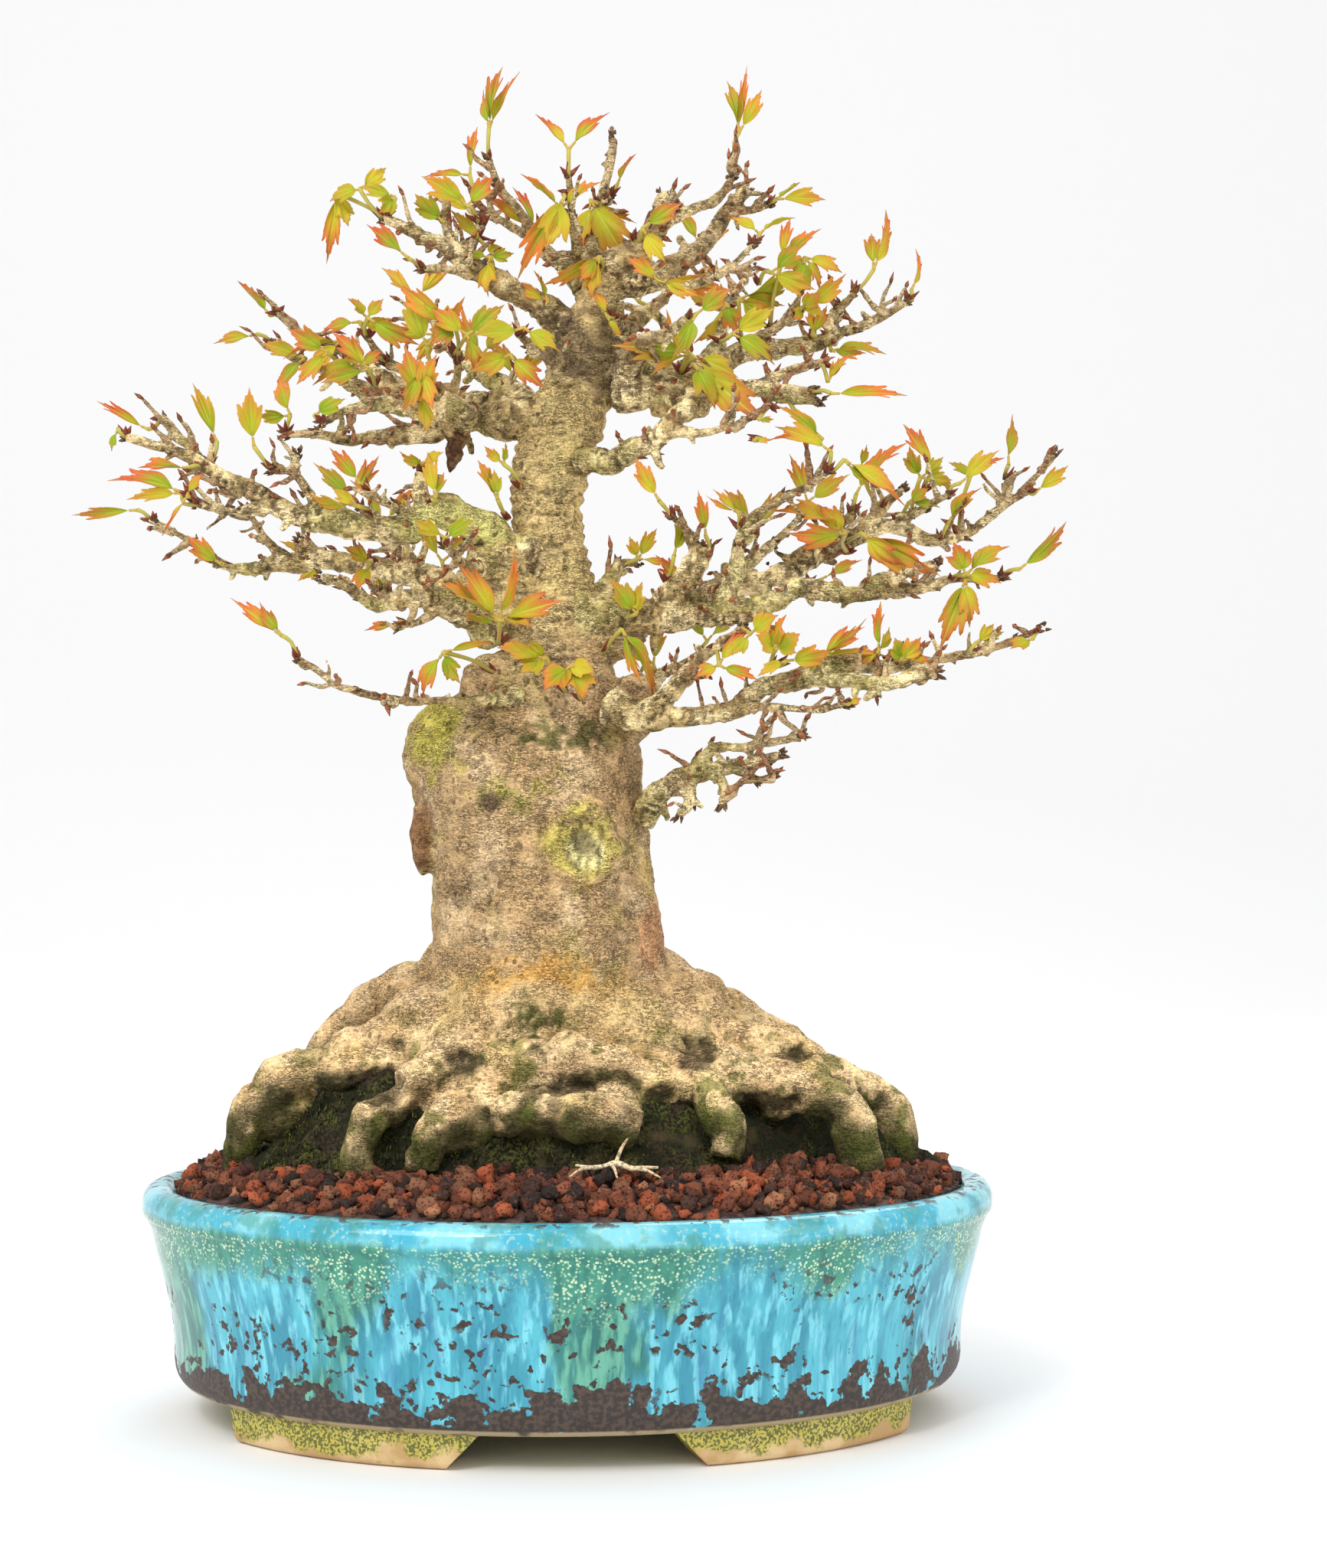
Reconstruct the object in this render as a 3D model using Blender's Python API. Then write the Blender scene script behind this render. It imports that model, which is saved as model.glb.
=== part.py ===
"""Trident maple bonsai in an oval glazed pot: pot, gravel, moss, grown wood and young leaf shoots.

The frame stands on the table: +Z up, the origin under the middle of the pot, +Y away from the
viewing side.  Lengths in the lists below are millimetres and are turned into metres at the end.
"""
import math

import bmesh
import bpy
from mathutils import Vector

MM = 0.001

# Overall sizes of the pot (mm)
RIM_HALF_LENGTH = 106.8
RIM_HALF_WIDTH = 85.0
POT_HEIGHT = 57.0
FOOT_HEIGHT = 8.0
POT_FLOOR = 6.0
POT_WALL = 6.5
RIM_ROLL = 7.0
RIM_DROP = 6.5
BASE_INSET = 11.8
WAIST_INSET = 8.1
FOOT_SIDE = 12.0
FOOT_INNER_TOP = 20.0
FOOT_INNER_BOTTOM = 30.0
FOOT_OUTER = 81.0
FOOT_SINK = 2.5
DRAIN_RADIUS = 7.0
DRAIN_SPACING = 84.0
AROUND = 44

# Fits (mm)
GAP = 0.3
WOOD_GAP = 0.45

# What fills the pot (mm)
SOIL_BELOW_RIM = 0.7
SOIL_RISE = 7.0
MOSS_HALF_LENGTH = 80.0
MOSS_HALF_WIDTH = 47.0
MOSS_RISE = 21.0
MOSS_EDGE = 1.2
MESH_SIDE = 24.0
MESH_THICK = 1.0
MESH_SLOT = 3.0
MESH_RIB = 1.5

# The grown wood (mm)
TRUNK_SCALE = 1.0
TWIG_SCALE = 1.0
THINNEST_TWIG = 1.1
WOOD_VOXEL = 0.8
WOOD_TRIANGLES = 6400
CORE_TOP = 92.0
CORE_DEPTH = 34.0
CORE_HALF_LENGTH = 25.0
CORE_HALF_WIDTH = 17.0
CORE_TAPER = 0.66

# The leaves (mm)
LEAF_THICK = 0.9
STALK_RADIUS = 0.75

# Front elevations below are read from an eye at this distance and height (mm)
EYE_DISTANCE = 645.0
EYE_HEIGHT = 140.0


def place(x, z, depth):
    """Turn a front elevation position into the real point that is depth behind the middle plane."""
    spread = 1.0 + depth / EYE_DISTANCE
    return Vector((x * spread, depth, EYE_HEIGHT + (z - EYE_HEIGHT) * spread))


# Trunk outline: middle x, height, depth, half width, half depth
TRUNK = [
    (-8, 70, 0, 43, 33),
    (-8, 86, 0, 39, 30),
    (-7, 96, 0, 34, 27),
    (-5, 106, -1, 30, 25),
    (-6, 121, -2, 29, 24),
    (-7, 136, -2, 29, 24),
    (-11, 156, -1, 30.5, 25),
    (-12, 166, 0, 29, 24),
    (-12, 173, 1, 25, 21),
    (-7, 181, 2, 19, 17),
    (-3, 190, 2, 14.5, 13),
    (-2, 200, 2, 12, 11),
    (-3.5, 210, 1, 9, 9),
    (-4, 218, 0, 7.5, 8),
    (-6, 227, 0, 8.5, 8.5),
    (-4.5, 237, 0, 9.5, 9),
    (-2, 246, 0, 10.5, 9),
    (1, 256, 0, 10, 9),
    (4, 266, 0, 8.5, 8),
    (6, 276, 0, 6.5, 6.5),
    (8, 285, 0, 5.5, 5.5),
    (12, 291, 0, 4.5, 4.5),
]

# Swellings on the trunk: x, height, depth, half width, half height, half depth
SWELLINGS = [
    (2, 141, -21, 12, 13, 7),
    (-19, 208, -4, 10, 12, 9),
    (-30, 164, -2, 13, 14, 16),
    (-14, 98, -20, 16, 14, 12),
    (14, 92, -16, 15, 14, 12),
    (-30, 88, -12, 14, 12, 14),
    (12, 196, 0, 8, 8, 9),
    (16, 176, -6, 7, 9, 8),
    (-20, 182, -4, 8, 7, 10),
    (28, 256, 0, 9, 7, 8),
]

# Roots: points of x, height, depth, radius
ROOTS = [
    [(-30, 108, 14, 9), (-45, 99, 20, 7), (-56, 86, 24, 6), (-64, 72, 26, 4)],
    [(-30, 96, -8, 11), (-46, 86, -12, 8), (-62, 80, -14, 6), (-76, 75, -14, 5), (-84, 66, -12, 3.5)],
    [(-22, 90, -18, 10), (-34, 80, -24, 7), (-46, 76, -28, 5), (-54, 70, -30, 4), (-58, 63, -31, 3)],
    [(-14, 88, -20, 10), (-30, 76, -31, 6), (-41, 66, -38, 4.5), (-43, 59, -41, 3.2)],
    [(-6, 88, -20, 11), (-4, 78, -29, 8), (2, 71, -36, 5), (8, 65, -40, 3)],
    [(10, 90, -18, 11), (16, 80, -27, 8), (26, 74, -34, 5), (30, 66, -39, 3.2)],
    [(20, 92, -12, 10), (34, 80, -20, 8), (48, 77, -25, 5.5), (62, 77, -28, 4.2), (72, 68, -30, 3.2)],
    [(22, 96, -2, 10), (40, 86, -2, 8), (56, 83, -2, 6), (70, 80, -2, 5), (82, 73, -2, 4), (90, 64, -2, 3)],
    [(18, 106, 10, 8), (32, 98, 16, 7), (44, 90, 22, 6), (56, 84, 28, 5), (66, 72, 32, 3.5)],
    [(-10, 96, 20, 12), (-16, 84, 32, 9), (-22, 74, 42, 6), (-26, 64, 50, 3.5)],
    [(8, 94, 20, 11), (18, 82, 32, 8), (28, 74, 42, 5), (34, 64, 50, 3)],
    [(-26, 92, 18, 10), (-40, 80, 30, 7), (-52, 70, 38, 4.5), (-60, 62, 42, 3)],
]

# Branches: points of x, height, depth, radius
BRANCHES = {
    "left_main": [(-10, 212, 0, 8), (-18, 216, -4, 6.5), (-24, 221, -7, 5), (-31, 225, -9, 4.3),
                  (-37, 224, -11, 4.2), (-43, 221, -13, 4.2), (-51, 222, -15, 4), (-60, 223, -17, 4),
                  (-69, 225, -19, 3.2), (-78, 227, -20, 2.9), (-86, 232, -21, 2.5),
                  (-93, 237, -22, 2), (-101, 240, -23, 1.6), (-108, 242.5, -24, 1.4),
                  (-113, 244, -24, 1.2)],
    "left_main_fork": [(-84, 231, -21, 2), (-92, 237, -17, 1.7), (-97, 243, -14, 1.5),
                       (-104, 249, -12, 1.3)],
    "left_main_spur": [(-78, 226, -20, 2), (-85, 225.5, -24, 1.3), (-95, 227, -28, 1)],
    "left_main_riser": [(-65, 224, -18, 2), (-67.5, 230, -20, 1.5), (-70, 235, -22, 1.3),
                        (-76, 236, -24, 1)],
    "left_main_riser_tip": [(-70, 235, -22, 1.2), (-70, 240, -22, 0.9)],
    "left_main_stub": [(-36, 224, -11, 3), (-39, 230, -13, 2.2), (-39, 236, -14, 1.5)],
    "left_main_twig": [(-41, 224, -13, 1.8), (-46, 227.5, -18, 1.2), (-52, 230.5, -22, 0.9)],
    "left_lower": [(-14, 203, 2, 8), (-27, 204, 6, 5), (-35, 207, 10, 3.6), (-43, 209.5, 12, 3.2),
                   (-51, 212, 14, 3), (-58, 213, 15, 3), (-66, 212.5, 16, 2.9), (-74, 212, 17, 2.7),
                   (-80, 211, 18, 2.2), (-86, 211.5, 18, 1.5), (-91, 214.5, 18, 1.1),
                   (-98, 219, 17, 1), (-105, 222.5, 16, 0.9)],
    "left_lower_cross": [(-71, 213, 17, 1.8), (-76, 217, 15, 1.3), (-79, 221, 12, 1.2),
                         (-82, 226, 8, 1)],
    "left_lower_stub": [(-63, 214, 16, 1.5), (-68, 218, 18, 1.2)],
    "left_bottom": [(-20, 198, 0, 7), (-31, 202, -10, 3.6), (-38, 203, -16, 2.8),
                    (-44, 202.5, -20, 2.4), (-48.5, 201, -22, 2.2), (-54, 204, -24, 1.8),
                    (-59, 207.5, -25, 1.6), (-64, 209, -26, 1.2)],
    "left_bottom_spur": [(-48, 201, -22, 1.8), (-48, 206, -23, 1)],
    "left_bottom_twig": [(-33, 201, -12, 1.6), (-39, 198, -18, 1.1), (-44, 196.5, -22, 0.9)],
    "left_thin": [(-14, 179, -16, 2.6), (-24, 177.8, -22, 1.5), (-34, 177.5, -26, 1.25),
                  (-45, 178, -29, 1.2), (-54, 180, -30, 1.15), (-60, 181.5, -30, 1.1),
                  (-65, 185, -30, 1.05), (-70, 188, -30, 1)],
    "left_tier": [(-4, 250, 0, 7), (-16, 250, 2, 5.5), (-27, 249, 4, 4), (-37, 247, 6, 3),
                  (-47, 245.5, 8, 2.4), (-56, 244.5, 9, 1.9), (-64, 245.5, 10, 1.4),
                  (-72, 245, 10, 1.1)],
    "left_tier_upper": [(-22, 252, 4, 4), (-34, 254, 12, 3.4), (-44, 257, 18, 2.8),
                        (-54, 257, 24, 2.3), (-61, 261, 28, 1.6), (-69, 264, 31, 1.2),
                        (-75, 268, 32, 1)],
    "left_tier_front": [(-26, 250, 0, 3.5), (-38, 252, -14, 2.6), (-48, 252, -22, 2.2),
                        (-57, 251, -28, 1.5), (-64, 248, -32, 1)],
    "left_tier_riser": [(-40, 256, 16, 2.4), (-50, 262, 20, 1.8), (-60, 268, 22, 1.5),
                        (-68, 271.5, 22, 1.4), (-74, 276, 22, 1.1)],
    "left_tier_top": [(-30, 254, 6, 2.4), (-40, 260, 2, 1.8), (-47, 264, -2, 1.4),
                      (-52, 270, -4, 1)],
    "left_tier_spur": [(-32, 252, 0, 2), (-30, 259, -8, 1.4), (-29, 264, -12, 1)],
    "crown_left": [(0, 272, 0, 5), (-9, 279, -2, 3.8), (-19, 283, -4, 3.4), (-25, 288, -5, 3),
                   (-31, 293, -6, 2.5), (-38, 296.5, -6, 2.1), (-44, 299, -6, 1.7),
                   (-48, 300.5, -6, 1.4)],
    "crown_left_low": [(-25, 287, -5, 2), (-31, 287, -10, 1.4), (-38, 288, -14, 1)],
    "crown_left_stub": [(-30, 292, -6, 1.8), (-32, 299, -4, 1.4), (-32, 307, -3, 1.2)],
    "crown_left_twig": [(-28, 291, -5, 1.8), (-24, 296, 2, 1.2), (-22.5, 299, 6, 1)],
    "crown_mid_left": [(4, 284, 0, 3.5), (-3, 290, 6, 2.4), (-10, 296, 12, 1.8),
                       (-18, 300, 16, 1.4), (-24, 305, 18, 1)],
    "crown_mid_red": [(-8, 295, 10, 1.6), (-14, 304, 6, 1.3), (-19, 310, 4, 1.1),
                      (-21, 316, 4, 1)],
    "crown_front_twig": [(4, 286, 0, 3), (1, 294, -8, 1.8), (-0.5, 303, -12, 1.2),
                         (-1, 312, -13, 1)],
    "crown_top": [(6, 286, 0, 3.4), (6, 296, 4, 2.6), (8, 305, 6, 1.9), (10, 313, 7, 1.4),
                  (11, 322, 7, 1.2)],
    "crown_top_bud": [(7, 303, 6, 1.5), (10, 307, 12, 1)],
    "crown_right_stub": [(10, 288, 0, 4.6), (17, 293, -4, 4.2), (21, 299, -6, 3.4),
                         (23.5, 307.5, -7, 2.3)],
    "crown_right_knob": [(22, 298, -6, 2.4), (26, 304.5, -8, 1.8)],
    "crown_right_twig": [(23, 300, -6, 2), (31, 304, -2, 1.6), (37, 307, 0, 1.5),
                         (41, 312, 1, 1.2), (42, 319, 1, 1)],
    "crown_right": [(8, 284, 2, 4.5), (18, 287, 8, 3.8), (28, 291, 12, 3.2), (35, 297, 14, 2.7),
                    (41, 304, 15, 2.2), (45.5, 309.5, 16, 1.8)],
    "crown_right_side": [(42, 304, 15, 1.4), (47, 304, 17, 1.1), (51, 305.5, 18, 0.9)],
    "crown_right_low": [(12, 285, 0, 3.4), (20, 285.5, -5, 2.4), (28, 285, -10, 1.6), (36, 287, -14, 1.2),
                        (42, 291, -16, 1), (46, 295, -16, 0.9)],
    "right_tier": [(4, 262, 0, 7), (16, 262, 4, 5.6), (28, 262, 8, 4.6), (39, 264, 11, 3.6),
                   (50, 268, 13, 3.2), (59, 270, 14, 2.8), (66, 272, 15, 2.4),
                   (73, 274, 16, 1.8), (80, 277, 17, 1.4), (87, 281, 18, 1.1)],
    "right_tier_riser": [(66, 273, 15, 1.9), (69, 279, 13, 1.4), (73, 283, 11, 1)],
    "right_tier_mid": [(44, 267, 12, 2.2), (51, 273, 6, 1.7), (58, 277, 2, 1.1)],
    "right_tier_back": [(36, 264, 11, 2.8), (38, 273, 24, 2), (42, 281, 34, 1.5),
                        (47, 289, 42, 1)],
    "right_tier_low": [(12, 257, -2, 5), (24, 256, -8, 3.8), (36, 257, -14, 3),
                       (47, 258, -18, 2.4), (56, 256, -21, 1.9), (63, 255, -23, 1.2)],
    "right_tier_low_fork": [(46, 258, -18, 1.8), (55, 262, -16, 1.6), (64, 265, -14, 1.2)],
    "right_tier_low_tip": [(52, 257.5, -20, 1.4), (61, 257.5, -24, 1)],
    "right_brace": [(2, 239, -6, 3.6), (13, 241, -14, 3.2), (21, 245, -20, 3.1),
                    (27, 251, -22, 2.8), (34, 256, -20, 2.4)],
    "right_brace_twig": [(25, 247, -22, 2), (32, 246, -27, 1.2), (39, 248, -31, 1),
                         (46, 251, -34, 0.9)],
    "right_mid": [(4, 199, -2, 7), (16, 199.5, -8, 4.6), (27, 200, -11, 3.5),
                  (40, 199.5, -13, 3.1), (50, 203, -15, 2.9), (60, 206, -16, 2.8),
                  (70, 206, -17, 2.6), (80, 206, -18, 2.4), (88, 207, -18, 2),
                  (96, 209, -18, 1.4), (104, 209.2, -18, 1.1), (110, 210, -18, 0.9)],
    "right_mid_stub": [(24, 202, -10, 4), (30, 209, -13, 3.6), (34, 216, -15, 2.6)],
    "right_mid_twig": [(33, 215, -15, 1.8), (29, 221, -17, 1.2), (25.5, 224.5, -19, 0.9)],
    "right_mid_riser": [(38, 201, -13, 3), (41, 209, -15, 2.4), (42.5, 218, -17, 1.9),
                        (47, 226, -20, 1.6), (54, 230.5, -23, 1.3), (61, 233.5, -26, 1),
                        (65, 236.5, -28, 0.9)],
    "right_mid_upper": [(30, 202, -8, 3.6), (42, 207, 2, 3.4), (52, 211, 6, 3.3),
                        (62, 215, 9, 3.1), (71, 219, 11, 2.9), (79, 223, 12, 2.7),
                        (86, 222.5, 13, 2.4), (93, 219, 13, 1.9), (101, 220.5, 12, 1.6),
                        (108, 225.5, 11, 1.4), (113, 229.5, 10, 1.3), (118, 232, 10, 1)],
    "right_mid_upper_cut": [(116, 231.5, 10, 1.1), (125, 241.5, 10, 0.9)],
    "right_mid_upper_riser": [(111, 228, 11, 1.2), (112.5, 235, 10, 0.9)],
    "right_mid_upper_twig": [(84, 224, 12, 1.8), (91, 227, 7, 1.2), (97, 231, 3, 0.9)],
    "right_mid_upper_top": [(76, 222, 12, 2), (80, 228, 20, 1.5), (86, 232.5, 26, 1)],
    "right_mid_upper_front": [(58, 214, 7, 2.2), (66, 221, -1, 1.6), (72, 226, -6, 1.1)],
    "right_mid_low_stub": [(76, 207, -18, 2.2), (84, 211, -22, 1.8), (93, 213, -25, 1.5)],
    "right_low": [(10, 176, -14, 5), (20, 173, -20, 3.2), (32, 173.5, -24, 2.9),
                  (39, 176, -26, 2.8), (47, 180.5, -28, 3), (58, 183, -29, 3.2),
                  (69, 187, -30, 3), (79, 187, -31, 2.5), (88, 187, -31, 1.8),
                  (97, 189, -31, 1.3), (106, 191, -31, 1.15), (113, 193.5, -31, 1.1),
                  (120, 196.5, -31, 1)],
    "right_low_riser": [(18, 174, -19, 3), (25, 180, -23, 2.5), (30, 187, -26, 2.1),
                        (36, 192, -29, 1.7), (43, 196.5, -32, 1.1)],
    "right_low_spur": [(28, 184, -25, 1.6), (34, 184.5, -30, 1)],
    "right_low_knob": [(56, 183, -29, 2.4), (70, 184, -34, 2.2), (81, 183, -38, 2.3),
                       (93, 185, -40, 1.7)],
    "right_low_under": [(38, 175, -26, 1.8), (50, 176, -34, 1.1), (62, 176, -40, 1),
                        (69, 177, -42, 0.9)],
    "right_base": [(18, 150, -4, 4), (26, 156, -10, 2), (34, 158, -14, 1.4),
                   (42, 160, -17, 1.2), (50, 162, -19, 1)],
    "right_trunk_twig": [(8, 205, -2, 3), (12, 212, 4, 1.6), (17, 213, 8, 1)],
    "back_left": [(-14, 205, 6, 6), (-24, 206, 20, 4.2), (-33, 209, 33, 3.2),
                  (-41, 214, 44, 2.4), (-47, 220, 54, 1.6), (-52, 226, 61, 1)],
    "back_left_fork": [(-33, 209, 33, 2.4), (-46, 209, 38, 1.7), (-58, 212, 44, 1)],
    "back_right": [(4, 195, 4, 6), (18, 197, 22, 4.2), (31, 203, 37, 3.2), (43, 210, 49, 2.3),
                   (53, 218, 58, 1.5), (60, 225, 64, 1)],
    "back_right_fork": [(31, 203, 37, 2.4), (48, 203, 42, 1.7), (62, 208, 47, 1)],
    "back_low": [(0, 172, 12, 5), (12, 178, 30, 3.2), (24, 184, 43, 2.2), (34, 190, 54, 1)],
    "back_high_left": [(-8, 248, 4, 5), (-16, 256, 18, 3.4), (-24, 263, 32, 2.5),
                       (-31, 270, 44, 1.6), (-36, 277, 53, 1)],
    "back_high_right": [(6, 262, 4, 4.5), (12, 270, 18, 3.2), (20, 277, 31, 2.4),
                        (27, 284, 42, 1.6), (32, 291, 50, 1)],
    "front_high": [(0, 262, -4, 4), (-6, 266, -16, 2.6), (-11, 268, -26, 1.8),
                   (-14, 271, -34, 1)],
    "front_right_high": [(14, 262, -4, 3.6), (19, 270, -18, 2.2), (24, 272, -28, 1.6),
                         (29, 276, -34, 1)],
    "front_left_mid": [(-22, 213, -8, 4), (-25, 212, -20, 2.4), (-29, 213, -31, 1.6),
                       (-33, 217, -40, 1)],
}

# Leaf shoots: base x, height, depth; neck x, height, depth; leaves of tip x, height, depth, half width
SHOOTS = {
    "shoot_01": [(-21, 316, 4), (-21, 324, 4), (-19.5, 341.5, 3, 2.4), (-14.5, 340, 5, 2),
                 (-23, 334, 4, 1.8)],
    "shoot_02": [(-24, 305, 18), (-25.5, 312, 19), (-24, 325, 20, 2), (-37, 311.5, 19, 2)],
    "shoot_03": [(-1, 312, -13), (-1, 319, -13), (-9.5, 328, -12, 2), (8.5, 330, -14, 2.4)],
    "shoot_04": [(10, 307, 12), (12, 310, 13), (16, 319, 15, 1.8)],
    "shoot_05": [(42, 319, 1), (43, 324, 1), (41.5, 338.5, 1, 2.6), (45, 341, 4, 1.6),
                 (49, 335.5, -2, 2.4)],
    "shoot_06": [(51, 305.5, 18), (53, 307, 18), (59.5, 311, 20, 2.2), (66, 307.5, 18, 3)],
    "shoot_07": [(-48, 300.5, -6), (-54, 308, -6), (-47, 314, -6, 2.6), (-62, 306, -6, 3)],
    "shoot_08": [(-38, 288, -14), (-42, 290.5, -16), (-53, 298.5, -19, 3)],
    "shoot_09": [(-22.5, 299, 6), (-25, 302, 7), (-33, 309, 8, 2.4)],
    "shoot_10": [(-74, 276, 22), (-76, 275.5, 23), (-84.5, 283.5, 24, 2.8)],
    "shoot_11": [(-75, 268, 32), (-79, 270.5, 33), (-90, 268, 34, 2.2)],
    "shoot_12": [(-52, 270, -4), (-54, 274, -5), (-64, 272, -6, 2.8), (-44, 272, -6, 2.6)],
    "shoot_13": [(-29, 264, -12), (-30, 273, -16), (-46, 284.5, -19, 3.2), (-36, 269, -21, 3)],
    "shoot_14": [(-14, 271, -34), (-13, 273, -36), (-26, 270, -39, 4.2), (-4, 267, -38, 3)],
    "shoot_15": [(-113, 244, -24), (-115, 246, -24), (-117, 240.5, -24, 1.6)],
    "shoot_16": [(-104, 249, -12), (-107, 246, -9), (-120, 253, -7, 1.8)],
    "shoot_17": [(-95, 227, -28), (-99, 230, -29), (-117, 236.5, -31, 3), (-113, 228, -32, 2.4)],
    "shoot_18": [(-105, 222.5, 16), (-109, 225.5, 16), (-125.5, 224, 16, 2)],
    "shoot_19": [(-76, 236, -24), (-81, 242, -26), (-82, 257, -28, 3.6)],
    "shoot_20": [(-92, 237, -17), (-90, 243, -14), (-96, 259, -11, 2.8)],
    "shoot_21": [(-52, 230.5, -22), (-54, 232.5, -23), (-62, 242, -25, 2.4)],
    "shoot_22": [(-72, 245, 10), (-71, 250, 10), (-80, 249.5, 9, 2.2), (-74, 260, 12, 2.8)],
    "shoot_23": [(-64, 248, -32), (-66, 250, -34), (-59, 254.5, -37, 2.6)],
    "shoot_24": [(-70, 188, -30), (-74, 194, -30), (-87, 203, -30, 2), (-80, 202, -33, 2)],
    "shoot_25": [(-39, 236, -14), (-38, 238, -16), (-44, 240, -20, 2), (-33, 241, -18, 2)],
    "shoot_26": [(-33, 217, -40), (-33, 219, -42), (-41, 224, -46, 2.4), (-26, 224, -46, 2.4)],
    "shoot_27": [(87, 281, 18), (88, 284, 18), (92, 294.5, 19, 1.9)],
    "shoot_28": [(73, 283, 11), (78, 289, 10), (83.5, 304.5, 9, 3), (77.5, 300, 12, 2.4)],
    "shoot_29": [(58, 277, 2), (60, 279, 1), (71, 288, -1, 3)],
    "shoot_30": [(46, 295, -16), (48, 298, -16), (56, 304, -17, 2.4), (40, 303, -16, 2)],
    "shoot_31": [(61, 257.5, -24), (66, 257, -26), (86, 258, -28, 2.4)],
    "shoot_32": [(65, 236.5, -28), (66, 242, -30), (53, 249.5, -33, 2.6)],
    "shoot_33": [(72, 226, -6), (73, 231, -7), (84, 247, -8, 3.6)],
    "shoot_34": [(112.5, 235, 10), (113, 239, 10), (113, 252, 10, 3)],
    "shoot_35": [(118, 232, 10), (120, 232, 10), (128.5, 239, 10, 2.2)],
    "shoot_36": [(97, 231, 3), (100, 234, 2), (110, 243.5, 0, 2.8)],
    "shoot_37": [(110, 210, -18), (115, 212, -18), (129.5, 224, -18, 2.8)],
    "shoot_38": [(104, 209.2, -18), (101, 209.5, -22), (95, 192, -27, 4), (102, 197, -25, 3)],
    "shoot_39": [(120, 196.5, -31), (118, 194, -33), (112, 191, -36, 2.4)],
    "shoot_40": [(43, 196.5, -32), (45, 195, -35), (52, 200, -38, 3.6), (40, 189, -38, 2.4)],
    "shoot_41": [(25.5, 224.5, -19), (22, 229, -20), (15.5, 240, -22, 2.8)],
    "shoot_42": [(34, 216, -15), (34, 220, -17), (32, 232, -20, 2.2)],
    "shoot_43": [(-52, 226, 61), (-54, 229, 63), (-64, 238, 68, 3), (-47, 240, 66, 2.6)],
    "shoot_44": [(60, 225, 64), (62, 229, 66), (72, 236, 70, 3), (58, 241, 68, 2.6)],
    "shoot_45": [(34, 190, 54), (36, 193, 57), (45, 200, 62, 3), (30, 204, 60, 2.4)],
    "shoot_46": [(-36, 277, 53), (-38, 280, 55), (-47, 288, 59, 3), (-30, 291, 57, 2.6)],
    "shoot_47": [(32, 291, 50), (34, 295, 52), (42, 302, 56, 2.8), (27, 306, 54, 2.4)],
    "shoot_48": [(29, 276, -34), (31, 277, -36), (40, 284, -41, 3), (26, 266, -42, 3)],
}

DRIED_LEAF = [(-30, 247, 3), (-30, 243, -2), (-31, 236, -5)]
ROOTLET = [(-4, -52), (2, -55), (8, -54), (14, -57), (22, -55)]
ROOTLET_RADIUS = 0.7


def paint(obj, name, colour, rough):
    """Give an object its own plain material."""
    material = bpy.data.materials.new(name)
    material.use_nodes = True
    shader = material.node_tree.nodes["Principled BSDF"]
    shader.inputs["Base Color"].default_value = (colour[0], colour[1], colour[2], 1.0)
    shader.inputs["Roughness"].default_value = rough
    obj.data.materials.clear()
    obj.data.materials.append(material)


def add_object(name, points, faces):
    """Make a mesh object from points in millimetres, with its faces turned outwards."""
    mesh = bpy.data.meshes.new(name)
    mesh.from_pydata([tuple(c * MM for c in p) for p in points], [], faces)
    shell = bmesh.new()
    shell.from_mesh(mesh)
    bmesh.ops.recalc_face_normals(shell, faces=shell.faces)
    bmesh.ops.triangulate(shell, faces=shell.faces)
    shell.to_mesh(mesh)
    shell.free()
    obj = bpy.data.objects.new(name, mesh)
    bpy.context.collection.objects.link(obj)
    return obj


def rings_to_faces(count, around):
    """Join rings of equal length into one closed tube with an end face on each end."""
    faces = []
    for ring in range(count - 1):
        for k in range(around):
            nxt = (k + 1) % around
            low = ring * around
            high = low + around
            faces.append((low + k, low + nxt, high + nxt, high + k))
    faces.append(tuple(range(around)))
    faces.append(tuple(range((count - 1) * around, count * around)))
    return faces


def oval(half_length, half_width, height, around=None):
    """Points of a level ellipse."""
    count = around or AROUND
    turn = 2.0 * math.pi / count
    return [(half_length * math.cos(k * turn), half_width * math.sin(k * turn), height)
            for k in range(count)]


def inset_oval(inset, height):
    """A ring of the pot: the rim's ellipse pulled in by the same inset on both axes."""
    return oval(RIM_HALF_LENGTH - inset, RIM_HALF_WIDTH - inset, height)


def apply_modifiers(obj):
    """Replace the object's mesh with its evaluated one and drop its modifiers."""
    graph = bpy.context.evaluated_depsgraph_get()
    graph.update()
    mesh = bpy.data.meshes.new_from_object(obj.evaluated_get(graph))
    obj.modifiers.clear()
    obj.data = mesh


def combine(obj, other, operation):
    """Apply an exact Boolean and remove the other object."""
    other.hide_render = True
    other.display_type = 'WIRE'
    step = obj.modifiers.new(operation, 'BOOLEAN')
    step.operation = operation
    step.solver = 'EXACT'
    step.object = other
    apply_modifiers(obj)
    bpy.data.objects.remove(other, do_unlink=True)


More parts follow.
